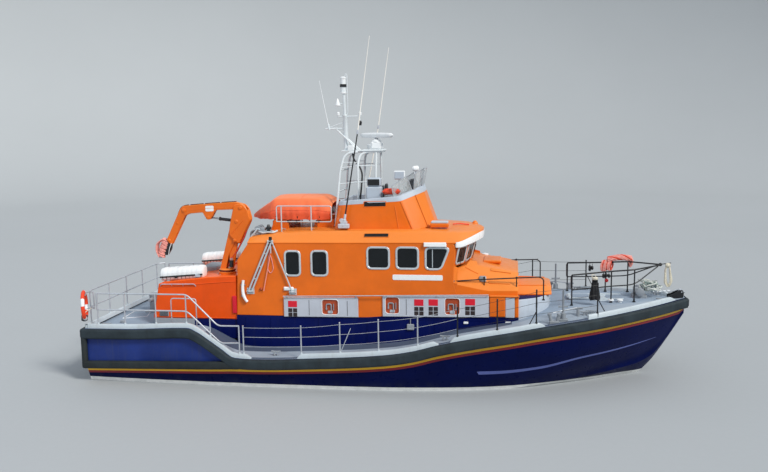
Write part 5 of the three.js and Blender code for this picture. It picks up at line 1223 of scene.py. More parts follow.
b = Build()
outer = [(0.0, 0.0, 0), (0.55, 0.0, 0), (0.86, 0.0, 0)]
rings = [tub_ring(t, o_) for t, o_, _ in outer]
b.loft(rings, 0, caps=False)
band = [tub_ring(0.86, 0.0), tub_ring(0.865, -0.004), tub_ring(0.985, -0.004), tub_ring(1.0, 0.010, 0.004), tub_ring(1.0, 0.045, 0.004), tub_ring(0.985, 0.058)]
b.loft(band, 1, caps=False)
b.loft([tub_ring(0.985, 0.058), tub_ring(0.6, 0.06), tub_ring(0.20, 0.06)], 2, caps=False)
V = tub_ring(0.20, 0.06)
b.add(V, [tuple(range(len(V)))], 3)
V2 = tub_ring(0.0, 0.0)
b.add(V2, [tuple(range(len(V2)))[::-1]], 0)
o = b.make("upper_tub", [ORANGE, PANEL, LOCKER, SIDE_DECK], 28)
done(o, "boat", ["upper_steering_position"])
b = Build()
for s in (-1, 1):
    # vent slot on the tub's side, in its frame
    p0, p1 = np.array([-0.585, 0, 5.03]), np.array([0.055, 0, 4.98])
    def tub_side(x, z):
        return 1.15 - (z - 4.22) / (5.13 - 4.22) * 0.11
    org = np.array([-0.245, s * (tub_side(0, 4.99) + 0.001), 4.985])
    U = unit(np.array([0.64, 0, 0.012]))
    Vv = unit(np.array([0, -s * 0.11, 0.91]))
    N = np.array([0, s * 0.993, 0.12])
    slot_vent(b, org, U, Vv, N, 0.63, 0.145)
    # stiffening ribs up the tub's sides
    for x in (-1.15, 0.45):
        b.tube([(x + 0.0, s * 1.150, 4.26), (x + (0.10 if x < 0 else -0.12), s * 1.072, 4.93)], 0.012, 8, m=0)
    # fold lines of the bow panels
    b.tube([(0.85, s * 1.150, 4.24), (0.49, s * 1.056, 5.06)], 0.010, 8, m=0)
    b.tube([(1.25, s * 0.82, 4.30), (0.88, s * 0.768, 5.22)], 0.010, 8, m=0)
    # foot flange
    b.tube([(-1.42, s * 1.165, 4.26), (0.86, s * 1.165, 4.27), (1.27, s * 0.83, 4.32), (1.46, s * 0.38, 4.345)], 0.022, 8, m=0)
b.tube([(1.455, -0.38, 4.345), (1.455, 0.38, 4.345)], 0.022, 8, m=0)
b.tube([(-1.45, -1.12, 4.26), (-1.45, 1.12, 4.26)], 0.022, 8, m=0)
b.box((1.33, -1.08, 4.325), (1.84, -0.80, 4.44), 0.02, 0)
b.box((1.34, -1.07, 4.43), (1.83, -0.81, 4.50), 0.025, 6)
b.turn((2.52, 0.30, 4.20), (2.52, 0.30, 4.37), [(0, 0.10), (0.3, 0.095), (0.6, 0.085), (0.85, 0.06), (1, 0.02)], 22, 0)
b.tube([(1.92, -0.42, 4.345), (2.10, -0.36, 4.36), (2.38, -0.30, 4.325)], 0.017, 8, bend=0.06, m=7)
done(b.make("upper_tub_details", [ORANGE, VENT, VISOR, GREYBOX, BLACK, WHITE, LOCKER, REDBUOY], 32), "boat")

# upper console, seats, windscreen, gear inside the tub
b = Build()
b.slab([(0.52, 4.405), (0.80, 4.405), (0.80, 5.30), (0.74, 5.43), (0.66, 5.43), (0.52, 5.20)], "xz", -0.555, 0.555, 0.02, 0)
for y, w in ((-0.33, 0.18), (0.02, 0.12), (0.33, 0.18)):
    b.box((0.62, y - w, 5.42), (0.70, y + w, 5.60 if w > 0.15 else 5.52), 0.012, 0)
    b.box((0.612, y - w + 0.02, 5.44), (0.622, y + w - 0.02, 5.58 if w > 0.15 else 5.50), 0.004, 1)
b.turn((0.50, -0.32, 5.12), (0.46, -0.32, 5.14), [(0, 0.15), (0.5, 0.165), (1, 0.15)], 28, 0)
for y in (0.15, 0.22):
    b.tube([(0.57, y, 5.22), (0.50, y, 5.36)], 0.012, 8, m=2)
    b.turn((0.50, y, 5.35), (0.49, y, 5.39), [(0, 0.02), (0.5, 0.025), (1, 0.01)], 12, 3)
# repeater screen on a bracket, and a white lamp beside it
b.box((0.27, -0.80, 5.66), (0.59, -0.72, 5.91), 0.02, 4)
b.box((0.30, -0.812, 5.69), (0.56, -0.80, 5.88), 0.004, 6)
b.tube([(0.41, -0.74, 5.30), (0.41, -0.74, 5.70)], 0.014, 8, m=2)
b.turn((0.87, -0.60, 5.42), (0.87, -0.60, 5.90), [(0, 0.02), (1, 0.016)], 10, 2)
b.turn((0.78, -0.62, 5.96), (0.95, -0.58, 5.96), [(0, 0.045), (0.2, 0.072), (0.85, 0.082), (1, 0.07)], 24, 4)
b.turn((0.945, -0.58, 5.96), (0.962, -0.577, 5.96), [(0, 0.068), (1, 0.05)], 24, 5)
done(b.make("upper_console_fine", [CONSOLE, GLASS, STEEL, BLACK, WHITE, LENS_W, PANEL], 32), "boat", ["upper_console"])


def cushion(b, c, size, crown=0.35, n=9, m=0, tilt=0.0, pinch=0.06):
    """A padded shape: crowned faces, rounded rim, sides drawn in between the corners."""
    cx, cy, cz = c
    lx, ly, lz = (q / 2 for q in size)
    grid = []
    for side in (1, -1):
        g = []
        for i in range(n + 1):
            row = []
            for j in range(n + 1):
                u, v = -1 + 2 * i / n, -1 + 2 * j / n
                du, dv = abs(u) ** 4, abs(v) ** 4
                h = (1 - du) * (1 - dv)
                z = side * (0.45 + 0.55 * h ** 0.35) if h > 0 else 0.0
                px = u * (1 - pinch * (1 - v * v)) if abs(u) == 1 else u * (1 - pinch * (1 - v * v) * abs(u))
                py = v * (1 - pinch * (1 - u * u)) if abs(v) == 1 else v * (1 - pinch * (1 - u * u) * abs(v))
                if h <= 0:
                    z = side * 0.12
                wob = 1 + 0.05 * math.sin(3.1 * u + 1.7 * v)
                p = np.array([px * lx, py * ly, z * lz * wob])
                if tilt:
                    ca, sa = math.cos(tilt), math.sin(tilt)
                    p = np.array([p[0] * ca + p[2] * sa, p[1], -p[0] * sa + p[2] * ca])
                row.append(p + np.array(c))
            g.append(row)
        grid.append(g)
    V = [p for g in grid for row in g for p in row]
    L = (n + 1) ** 2
    F = []
    for k in (0, 1):
        for i in range(n):
            for j in range(n):
                q = (k * L + i * (n + 1) + j, k * L + (i + 1) * (n + 1) + j, k * L + (i + 1) * (n + 1) + j + 1, k * L + i * (n + 1) + j + 1)
                F.append(q if k == 0 else q[::-1])
    rim = [(i, 0) for i in range(n)] + [(n, j) for j in range(n)] + [(i, n) for i in range(n, 0, -1)] + [(0, j) for j in range(n, 0, -1)]
    for a in range(len(rim)):
        i, j = rim[a]
        i2, j2 = rim[(a + 1) % len(rim)]
        p, q = i * (n + 1) + j, i2 * (n + 1) + j2
        F.append((p, q, L + q, L + p))
    return b.add(V, F, m)


for s, side in ((-1, "starboard"), (1, "port")):
    b = Build()
    cushion(b, (0.085, s * 0.38, 4.945), (0.40, 0.42, 0.13), m=0)
    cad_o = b.make(f"upper_seat_cushion_{side}", [VINYL], 60)
    done(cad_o, "boat")
    b = Build()
    cushion(b, (-0.125, s * 0.38, 5.24), (0.46, 0.40, 0.075), m=0, tilt=math.radians(-90))
    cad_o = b.make(f"upper_seat_back_{side}", [VINYL], 60)
    done(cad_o, "boat")
b = Build()
for s in (-1, 1):
    b.box((-0.08, s * 0.38 - 0.17, 4.38), (0.22, s * 0.38 + 0.17, 4.87), 0.03, 0)
    b.tube([(-0.10, s * 0.38 - 0.20, 4.90), (-0.15, s * 0.38 - 0.20, 5.12), (0.16, s * 0.38 - 0.20, 5.12)], 0.014, 8, bend=0.06, m=1)
    b.tube([(-0.10, s * 0.38 + 0.20, 4.90), (-0.15, s * 0.38 + 0.20, 5.12), (0.16, s * 0.38 + 0.20, 5.12)], 0.014, 8, bend=0.06, m=1)
# stowage box with dark ends and a red bag behind the starboard seat
b.box((-0.52, -0.92, 5.10), (-0.08, -0.62, 5.46), 0.03, 2)
b.box((-0.50, -0.90, 5.46), (-0.10, -0.64, 5.72), 0.05, 2)
b.box((-0.47, -0.912, 5.50), (-0.13, -0.895, 5.68), 0.01, 3)
done(b.make("upper_seat_frames", [CONSOLE, STEEL, PANEL, BLACK], 32), "boat", ["upper_seats"])
b = Build()
cushion(b, (0.22, -0.88, 5.33), (0.52, 0.26, 0.17), m=0)
bag = b.make("red_gear_bag", [ROPE_R], 60)
done(bag, "boat")

b = Build()
wn = unit(np.array([0.98, 0, -0.17]))
wu = unit(np.array([0.17, 0, 0.98]))
q = [(-0.355, 0.0), (0.355, 0.0), (0.33, 0.50), (-0.33, 0.50)]
b.pane(q, 0.05, 0.01, (1.02, 0, 5.45), (0, 1, 0), wu, wn, -0.004, 0.004, 1, 6)
b.ring(q, 0.05, (1.02, 0, 5.45), (0, 1, 0), wu, wn, [(-0.004, -0.008), (-0.008, 0.0), (-0.004, 0.008), (0.014, 0.008), (0.018, 0.0), (0.014, -0.008), (-0.004, -0.008)], 0, 6)
for s in (-1, 1):
    b.tube([(1.03, s * 0.345, 5.70), (0.84, s * 0.40, 5.46)], 0.010, 8, m=0)
for s in (-1, 1):       # clear side screens that follow the tub's rim
    for A_, B_, h0, h1 in ((vec((0.28, s * 1.015, 5.15)), vec((0.80, s * 0.765, 5.36)), 0.34, 0.46), (vec((0.82, s * 0.745, 5.365)), vec((1.00, s * 0.385, 5.445)), 0.46, 0.50)):
        L = float(np.linalg.norm(B_ - A_))
        U = unit(B_ - A_)
        Vv = unit(wu - U * float(wu @ U))
        N_ = unit(np.cross(U, Vv))
        q = [(0.015, 0.0), (L - 0.015, 0.0), (L - 0.02, h1), (0.06, h0)]
        b.pane(q, 0.03, 0.008, A_, U, Vv, N_, -0.004, 0.004, 1, 5)
        b.ring(q, 0.03, A_, U, Vv, N_, [(-0.004, -0.008), (-0.008, 0.0), (-0.004, 0.008), (0.012, 0.008), (0.016, 0.0), (0.012, -0.008), (-0.004, -0.008)], 0, 5)
done(b.make("upper_windscreen_fine", [STEEL, CLEAR], 32), "boat", ["upper_windscreen"])

# -------------------------------------------------------------- mast frame
LEGS = [[(-1.492, 0.64, 4.25), (-1.40, 0.64, 5.10), (-1.33, 0.56, 5.90), (-1.23, 0.48, 6.30), (-1.08, 0.43, 6.42), (-0.82, 0.43, 6.43)],
        [(-0.79, 0.64, 4.66), (-0.81, 0.56, 6.10), (-0.75, 0.48, 6.35), (-0.60, 0.43, 6.43), (-0.15, 0.43, 6.44)],
        [(-0.30, 0.64, 4.66), (-0.285, 0.43, 6.44)]]
b = Build()
for s in (-1, 1):
    for leg in LEGS:
        b.tube([(x, s * y, z) for x, y, z in leg], 0.034, 14, bend=0.16, m=0)
    b.tube([(-1.315, s * 0.545, 5.98), (-0.81, s * 0.565, 6.05), (-0.29, s * 0.475, 6.05)], 0.016, 10, m=0)
    b.tube([(-1.37, s * 0.60, 5.52), (-0.80, s * 0.60, 5.58), (-0.295, s * 0.54, 5.58)], 0.016, 10, m=0)
    b.tube([(-1.30, s * 0.52, 6.14), (-0.80, s * 0.55, 6.14)], 0.013, 10, m=0)
    for x in (-0.79, -0.30):
        b.box((x - 0.09, min(s * 0.56, s * 0.72), 4.26), (x + 0.09, max(s * 0.56, s * 0.72), 4.70), 0.02, 1)
    for x, y, z in ((-1.47, 0.64, 4.33), (-0.79, 0.64, 4.75), (-0.30, 0.64, 4.75)):
        b.turn((x, s * y, z - 0.02), (x, s * y, z + 0.02), [(0, 0.062), (0.7, 0.062), (1, 0.05)], 18, 0)
    # lower edge of the platforms, edge rails
    b.tube([(-1.33, s * 0.30, 6.46), (-0.80, s * 0.30, 6.46)], 0.018, 10, m=0)
    b.tube([(-0.74, s * 0.47, 6.475), (-0.12, s * 0.47, 6.475)], 0.018, 10, m=0)
    b.tube([(-1.52, s * 0.02, 7.08), (-1.20, s * 0.10, 6.80), (-0.85, s * 0.16, 6.47)], 0.022, 10, bend=0.1, m=0)
for x, z, y in ((-1.385, 5.30, 0.62), (-1.08, 6.425, 0.43), (-0.16, 6.44, 0.43), (-1.33, 5.9, 0.56), (-0.30, 5.58, 0.545)):
    b.tube([(x, -y, z), (x, y, z)], 0.022, 12, m=0)
b.box((-1.33, -0.30, 6.442), (-0.80, 0.30, 6.478), 0.008, 0)
b.box((-0.74, -0.47, 6.452), (-0.12, 0.47, 6.488), 0.008, 0)
for y in np.linspace(-0.36, 0.36, 5):
    b.tube([(-0.72, y, 6.494), (-0.14, y, 6.494)], 0.007, 6, m=0)
b.turn((-1.24, 0, 6.46), (-1.27, 0, 7.52), [(0, 0.095), (0.03, 0.095), (0.04, 0.075), (0.96, 0.063), (0.97, 0.07), (1, 0.065)], 24, 0)
b.turn((-1.27, 0, 7.50), (-1.29, 0, 8.14), [(0, 0.042), (1, 0.040)], 18, 0)
b.turn((-1.305, 0, 8.12), (-1.305, 0, 8.62), [(0, 0.05), (0.02, 0.09), (0.10, 0.092), (0.12, 0.078), (0.38, 0.078), (0.40, 0.094), (0.55, 0.094), (0.57, 0.078), (0.86, 0.078), (0.88, 0.09), (0.95, 0.09), (1, 0.045)], 26, 2)
b.turn((-1.305, 0, 8.315), (-1.305, 0, 8.40), [(0, 0.097), (1, 0.097)], 26, 3)
b.turn((-1.305, 0, 8.18), (-1.305, 0, 8.31), [(0, 0.082), (1, 0.082)], 26, 4)
b.tube([(-1.235, 0, 7.48), (-1.18, 0, 7.56), (-1.185, 0, 8.62), (-1.20, 0, 8.69), (-1.24, 0, 8.69), (-1.25, 0, 8.64)], 0.013, 10, bend=0.05, m=0)
b.tube([(-1.50, 0, 7.465), (-0.79, 0, 7.465)], 0.020, 10, m=0)
for x in (-1.47, -0.82):
    b.turn((x, 0, 7.45), (x, 0, 7.60), [(0, 0.018), (0.3, 0.018), (0.32, 0.045), (0.85, 0.05), (1, 0.02)], 16, 2)
b.tube([(-0.82, 0, 7.46), (-0.82, 0, 7.32)], 0.012, 8, m=0)
b.turn((-0.82, 0, 7.34), (-0.82, 0, 7.20), [(0, 0.03), (0.3, 0.055), (1, 0.04)], 18, 3)
b.tube([(-1.52, 0, 7.80), (-1.40, 0, 7.84), (-1.27, 0, 7.84)], 0.016, 8, bend=0.05, m=0)
b.turn((-1.48, 0, 7.76), (-1.48, 0, 7.99), [(0, 0.03), (0.1, 0.085), (0.2, 0.085), (1, 0.012)], 22, 2)
b.tube([(-1.86, 0, 7.115), (-1.25, 0, 7.115)], 0.020, 10, m=0)
b.tube([(-1.25, 0, 7.32), (-1.80, 0, 7.13)], 0.011, 8, m=0)
b.tube([(-1.75, 0, 7.10), (-2.02, 0, 8.52)], 0.012, 8, m=2, r2=0.006)
b.turn((-1.743, 0, 7.08), (-1.775, 0, 7.26), [(0, 0.03), (0.2, 0.034), (0.9, 0.028), (1, 0.014)], 14, 0)
b.box((-0.505, -0.15, 6.485), (-0.175, 0.15, 6.73), 0.05, 2)
b.turn((-0.34, 0, 6.71), (-0.34, 0, 6.79), [(0, 0.145), (0.4, 0.14), (0.7, 0.11), (1, 0.07)], 30, 2)
b.box((-0.185, -0.09, 6.52), (-0.145, 0.09, 6.68), 0.015, 2)
b.tube([(-1.02, -0.20, 6.40), (-0.98, -0.26, 6.20), (-0.80, -0.30, 6.02), (-0.72, -0.32, 5.80), (-0.74, -0.42, 5.40), (-0.76, -0.60, 4.95)], 0.026, 10, bend=0.14, m=3)
b.box((-1.16, -0.28, 6.48), (-0.98, -0.05, 6.62), 0.015, 2)
b.turn((-0.62, 0.34, 6.49), (-0.62, 0.34, 6.64), [(0, 0.05), (0.5, 0.05), (0.55, 0.075), (0.9, 0.07), (1, 0.03)], 18, 2)
b.box((-1.69, -0.008, 7.13), (-1.49, 0.008, 7.13 + 0.012), 0.002, 0)
o = b.make("mast_frame_fine", [MAST, LOCKER, WHITE, BLACK, LENS_W], 34)
done(o, "boat", ["mast_frame"])
b = Build()
c, sn = math.cos(math.radians(-30)), math.sin(math.radians(-30))
prof = []
for i in range(17):
    t = i / 16
    x = lerp(-0.62, 0.62, t)
    e = abs(2 * t - 1)
    w = 0.078 * (1 - 0.30 * e ** 2) * (1 if e < 0.96 else math.sqrt(max(0.05, 1 - ((e - 0.96) / 0.04) ** 2)))
    hgt = 0.078 * (1 - 0.25 * e ** 2) * (1 if e < 0.96 else math.sqrt(max(0.05, 1 - ((e - 0.96) / 0.04) ** 2)))
    ring_ = []
    for k in range(12):
        a = 2 * math.pi * k / 12
        yy = w * np.sign(math.cos(a)) * abs(math.cos(a)) ** 0.6
        zz = hgt * np.sign(math.sin(a)) * abs(math.sin(a)) ** 0.6
        ring_.append((-0.34 + x * c - yy * sn, x * sn + yy * c, 6.905 + zz))
    prof.append(ring_)
b.loft(prof, 0)
b.turn((-0.34, 0, 6.80), (-0.34, 0, 6.87), [(0, 0.05), (0.5, 0.062), (1, 0.062)], 22, 1)
done(b.make("radar_scanner_fine", [WHITE, GREYBOX], 40), "radar_scanner", ["radar_scanner"])

# ------------------------------------------------------------------- whips
for side, s, pts in (("starboard", -1, [(-1.09, -1.24, 4.56), (-0.675, -1.20, 7.03), (-0.30, -1.20, 9.64)]), ("port", 1, [(-0.99, 1.24, 4.56), (-0.47, 1.20, 7.15), (-0.12, 1.20, 9.52)])):
    b = Build()
    a, m_, e = (vec(p) for p in pts)
    b.tube([a - (m_ - a) * 0.02, a + (m_ - a) * 0.5, m_ - (m_ - a) * 0.01], 0.021, 12, m=0 if side == "starboard" else 1, r2=0.017)
    b.tube([m_ - (m_ - a) * 0.02, m_ + (e - m_) * 0.5, e], 0.0175, 10, m=1, r2=0.008)
    b.turn(m_ - unit(m_ - a) * 0.07, m_ + unit(e - m_) * 0.05, [(0, 0.024), (0.2, 0.027), (0.8, 0.026), (1, 0.018)], 14, 2)
    b.turn((a[0] - 0.035, a[1], a[2] - 0.20), a + unit(m_ - a) * 0.16, [(0, 0.075), (0.12, 0.080), (0.15, 0.055), (0.55, 0.055), (0.6, 0.036), (0.95, 0.032), (1, 0.024)], 20, 2)
    b.box((a[0] - 0.12, min(a[1] - s * 0.075, a[1] + s * 0.055), a[2] - 0.13), (a[0] + 0.07, max(a[1] - s * 0.075, a[1] + s * 0.055), a[2] - 0.05), 0.012, 2)
    b.box((a[0] - 0.19, min(a[1] - s * 0.085, a[1] + s * 0.07), a[2] - 0.25), (a[0] + 0.13, max(a[1] - s * 0.085, a[1] + s * 0.07), a[2] - 0.12), 0.02, 3)
    b.cyl((a[0] - 0.09, a[1] - 0.05, a[2] - 0.02), (a[0] - 0.09, a[1] + 0.05, a[2] - 0.02), 0.055, 20, m=2)
    done(b.make(f"whip_aerial_{side}_fine", [BLACK, WHIP, LOCKER, LOCKER], 35), "boat", [f"whip_aerial_{side}"])

# ------------------------------------------------------------------- crane
CY = -1.15


def plate(b, pts, w, m=0, bev=0.012, rad=0.03):
    q = [(p[0], p[2]) for p in rounded([(x / 1000, 0, z / 1000) for x, z in pts], rad, 4, closed=True)]
    b.slab(q, "xz", CY - w / 2000, CY + w / 2000, bev, m)


b = Build()
b.turn((-4.64, CY, 2.90), (-4.64, CY, 3.02), [(0, 0.30), (0.2, 0.30), (0.3, 0.258), (0.9, 0.258), (1, 0.245)], 40, 0)
for i in range(12):
    a = 2 * math.pi * i / 12
    b.turn((-4.64 + 0.28 * math.cos(a), CY + 0.28 * math.sin(a), 2.92), (-4.64 + 0.28 * math.cos(a), CY + 0.28 * math.sin(a), 2.955), [(0, 0.016), (1, 0.016)], 6, 1)
done(b.make("crane_pedestal_fine", [ORANGE, STEEL], 32), "boat", ["crane_pedestal"])

b = Build()
b.turn((-4.64, CY, 3.032), (-4.64, CY, 3.115), [(0, 0.225), (0.1, 0.237), (0.6, 0.237), (1, 0.20)], 40, 0)
b.turn((-4.64, CY, 3.045), (-4.64, CY, 3.075), [(0, 0.243), (1, 0.243)], 40, 1)
COLP = [[-4830, 3100], [-4640, 3780], [-4480, 4360], [-4360, 4700], [-4290, 4780], [-4215, 4560], [-4290, 4300], [-4350, 3900], [-4560, 3500], [-4650, 3100]]
for dy in (-80, 80):
    q = [(p[0], p[2]) for p in rounded([(x / 1000, 0, z / 1000) for x, z in COLP], 0.03, 4, closed=True)]
    b.slab(q, "xz", CY + dy / 1000 - 0.013, CY + dy / 1000 + 0.013, 0.005, 0)
core = [[-4805, 3105], [-4620, 3780], [-4462, 4360], [-4345, 4690], [-4290, 4745], [-4238, 4560], [-4312, 4300], [-4372, 3910], [-4590, 3510], [-4680, 3105]]
plate(b, core, 150, 0, 0.01)
STR = [[-4440, 3100], [-4300, 3850], [-4360, 4000], [-4560, 3700], [-4540, 3100]]
plate(b, STR, 118, 0)
CHK = [[-4480, 4360], [-4330, 4990], [-4090, 5010], [-3950, 4880], [-3860, 4540], [-4215, 3840], [-4500, 4100]]
for s in (-1, 1):
    q = [(p[0], p[2]) for p in rounded([(x / 1000, 0, z / 1000) for x, z in CHK], 0.09, 6, closed=True)]
    b.slab(q, "xz", CY + s * 0.102, CY + s * 0.148, 0.012, 0)
    b.turn((-4.13, CY + s * 0.146, 4.90), (-4.13, CY + s * 0.175, 4.90), [(0, 0.062), (0.4, 0.062), (0.5, 0.050), (1, 0.040)], 20, 0)
    b.turn((-4.27, CY + s * 0.146, 4.50), (-4.27, CY + s * 0.168, 4.50), [(0, 0.052), (0.5, 0.052), (1, 0.036)], 18, 0)
    b.turn((-4.34, CY + s * 0.146, 3.95), (-4.34, CY + s * 0.163, 3.95), [(0, 0.045), (0.5, 0.045), (1, 0.03)], 16, 0)
    b.tube([(-4.42, CY + s * 0.152, 4.15), (-4.05, CY + s * 0.152, 4.55)], 0.010, 6, m=0)
REAR = [[-4060, 4480], [-3935, 4850], [-3860, 4540], [-4215, 3840], [-4400, 3900]]
plate(b, REAR, 214, 0)
# luffing ram in the column's foot, hoses down its back
b.tube([(-4.57, CY - 0.0, 3.20), (-4.49, CY - 0.0, 3.56)], 0.048, 18, m=1)
b.tube([(-4.49, CY, 3.56), (-4.44, CY, 3.80)], 0.026, 14, m=2)
for i, mt in enumerate((3, 3, 3, 1)):
    y = CY - 0.07 + 0.035 * i
    b.tube([(-4.60, y, 3.16), (-4.49, y, 3.40), (-4.34, y, 3.58), (-4.22, y, 3.80), (-4.10, y, 4.00), (-4.02, y, 4.20)], 0.014, 8, bend=0.12, m=mt)
b.box((-4.52, CY - 0.175, 3.16), (-4.42, CY - 0.06, 3.36), 0.012, 1)
for i in range(4):
    b.tube([(-4.50 + 0.022 * i, CY - 0.12, 3.35), (-4.50 + 0.022 * i, CY - 0.12, 3.44)], 0.006, 6, m=2)
    b.turn((-4.50 + 0.022 * i, CY - 0.12, 3.43), (-4.50 + 0.022 * i, CY - 0.12, 3.455), [(0, 0.006), (0.5, 0.011), (1, 0.006)], 8, 3)
done(b.make("crane_column_fine", [ORANGE, BLACK, STEEL, ROPE_R], 32), "crane_column", ["crane_column"])

# boom: side webs, top and bottom plates, with the slot the ram's eye works in
b = Build()
BOOM = [[-4110, 4790], [-4020, 4900], [-4110, 5010], [-4310, 5058], [-5220, 4998], [-5900, 4943], [-5985, 4862], [-5842, 4653], [-5692, 4717], [-5302, 4752], [-5190, 4547], [-5070, 4547], [-4900, 4822], [-4350, 4842]]
q = [(p[0], p[2]) for p in rounded([(x / 1000, 0, z / 1000) for x, z in BOOM], 0.035, 4, closed=True)]
b.slab(q, "xz", CY - 0.084, CY + 0.084, 0.012, 0)
o = b.make("crane_boom_beam", [ORANGE, BLACK, STEEL, WHITE, ROPE_R], 30)
cut = Build()
cut.slab([(-5.30, 4.50), (-4.70, 4.47), (-4.70, 4.72), (-5.00, 4.74), (-5.27, 4.70)], "xz", CY - 0.048, CY + 0.048, 0, 0)
carve(o, [cut.make("cut_slot", [ORANGE])], 30)
done(o, "crane_boom", ["crane_boom"])
b = Build()
for s in (-1, 1):
    b.turn((-5.13, CY + s * 0.083, 4.60), (-5.13, CY + s * 0.098, 4.60), [(0, 0.056), (0.6, 0.056), (1, 0.04)], 20, 0)
    b.turn((-4.13, CY + s * 0.083, 4.90), (-4.13, CY + s * 0.092, 4.90), [(0, 0.085), (1, 0.075)], 26, 0)
    b.tube([(-4.42, CY + s * 0.086, 4.905), (-5.20, CY + s * 0.086, 4.87), (-5.82, CY + s * 0.086, 4.80)], 0.006, 6, m=0)
    b.turn((-5.87, CY + s * 0.083, 4.81), (-5.87, CY + s * 0.104, 4.81), [(0, 0.058), (0.6, 0.058), (1, 0.04)], 20, 0)
b.slab([(p[0], p[2]) for p in rounded([(-5.21, 0, 4.78), (-4.96, 0, 4.79), (-4.96, 0, 4.95), (-5.21, 0, 4.945)], 0.04, 4, closed=True)], "xz", CY - 0.089, CY - 0.083, 0.002, 3)       # blank label
for i, y in enumerate((CY - 0.03, CY, CY + 0.03)):
    b.tube([(-4.30, y, 5.066), (-4.60, y, 5.052), (-5.22, y, 5.010), (-5.86, y, 4.958), (-5.98, y, 4.895), (-6.08, y, 4.70)], 0.010, 8, bend=0.06, m=1 if i != 1 else 4)
for x in (-4.75, -5.25, -5.7):
    zt = float(np.interp(x, [-5.90, -5.22, -4.31], [4.943, 4.998, 5.058]))
    b.box((x - 0.02, CY - 0.055, zt - 0.004), (x + 0.02, CY + 0.055, zt + 0.026), 0.005, 2)
ARM = [[-5900, 4930], [-5990, 4860], [-6450, 3930], [-6380, 3850], [-6290, 3800], [-5840, 4650], [-5760, 4700]]
for s in (-1, 1):
    q = [(p[0], p[2]) for p in rounded([(x / 1000, 0, z / 1000) for x, z in ARM], 0.03, 4, closed=True)]
    b.slab(q, "xz", CY + s * 0.052, CY + s * 0.074, 0.006, 0)
plate(b, [[-5905, 4900], [-5965, 4850], [-6420, 3930], [-6370, 3865], [-6310, 3830], [-5862, 4672], [-5800, 4720]], 112, 0, 0.010)
b.turn((-6.36, CY - 0.092, 3.92), (-6.36, CY + 0.092, 3.92), [(0, 0.03), (0.06, 0.045), (0.94, 0.045), (1, 0.03)], 18, 0)
for s in (-1, 1):
    b.turn((-6.09, CY + s * 0.073, 4.43), (-6.09, CY + s * 0.086, 4.43), [(0, 0.03), (0.6, 0.03), (1, 0.018)], 14, 0)
# the arm's dark end, the web sling wound round it in a bundle, and the hook
plate(b, [[-6300, 3860], [-6470, 3960], [-6560, 3820], [-6600, 3480], [-6440, 3478], [-6330, 3660]], 104, 1, 0.012)
for i in range(12):
    t = i / 11
    k = 0.118 + 0.004 * t + 0.006 * math.sin(3.7 * i)
    c0 = np.array([lerp(-6.50, -6.66, t) + 0.006 * math.sin(2.3 * i), CY + 0.006 * math.cos(1.9 * i), lerp(3.905, 3.465, t)])
    d = unit(np.array([-0.30 + 0.10 * math.sin(2.9 * i), 0.10 * math.cos(2.1 * i), -0.42]))
    b.turn(c0 - d * 0.027, c0 + d * 0.027, [(0, k - 0.022), (0.18, k - 0.004), (0.5, k), (0.82, k - 0.004), (1, k - 0.022)], 18, 5)
for i in range(4):
    y = CY - 0.10 + 0.066 * i
    b.tube([(-6.43, y, 3.90), (-6.56 - 0.02 * (i % 2), y, 3.97), (-6.76, y, 3.83), (-6.79, y, 3.62), (-6.70, y, 3.42)], 0.016, 8, bend=0.08, m=5)
b.tube([(-6.62, CY, 3.47), (-6.66, CY, 3.40), (-6.72, CY, 3.385), (-6.75, CY, 3.43), (-6.71, CY, 3.455)], 0.014, 8, bend=0.02, m=2)
b.tube([(-6.30, CY - 0.085, 3.84), (-6.37, CY - 0.10, 3.66), (-6.40, CY - 0.09, 3.50)], 0.009, 6, bend=0.04, m=3)
o = b.make("crane_boom_fittings", [ORANGE, BLACK, STEEL, WHITE, ROPE_R, PINK], 32)
done(o, "crane_boom")

RAX = unit(np.array([-0.86, 0, 0.1]))
RF0 = np.array([-4.27, CY, 4.5])
b = Build()
b.turn(RF0 + RAX * 0.055, RF0 + RAX * 0.56, [(0, 0.03), (0.02, 0.045), (0.10, 0.048), (0.88, 0.048), (0.89, 0.054), (0.99, 0.054), (1, 0.034)], 26, 0)
b.turn((RF0[0], CY - 0.047, RF0[2]), (RF0[0], CY + 0.047, RF0[2]), [(0, 0.046), (0.08, 0.05), (0.92, 0.05), (1, 0.046)], 26, 0)
b.tube([RF0 + RAX * 0.12 + np.array([0, -0.03, 0.042]), RF0 + RAX * 0.30 + np.array([0, -0.035, 0.052]), RF0 + RAX * 0.50 + np.array([0, -0.03, 0.048])], 0.006, 6, m=1)
done(b.make("crane_ram_barrel_fine", [BLACK, STEEL], 35), "crane_ram_barrel", ["crane_ram_barrel"])
b = Build()
RH = np.array([-5.13, CY, 4.6])
b.turn(RF0 + RAX * 0.14, RH - RAX * 0.03, [(0, 0.024), (1, 0.024)], 20, 0)
b.turn((RH[0], CY - 0.034, RH[2]), (RH[0], CY + 0.034, RH[2]), [(0, 0.040), (0.1, 0.046), (0.9, 0.046), (1, 0.040)], 24, 1)
done(b.make("crane_ram_rod_fine", [CHROME, BLACK], 35), "crane_ram_rod", ["crane_ram_rod"])

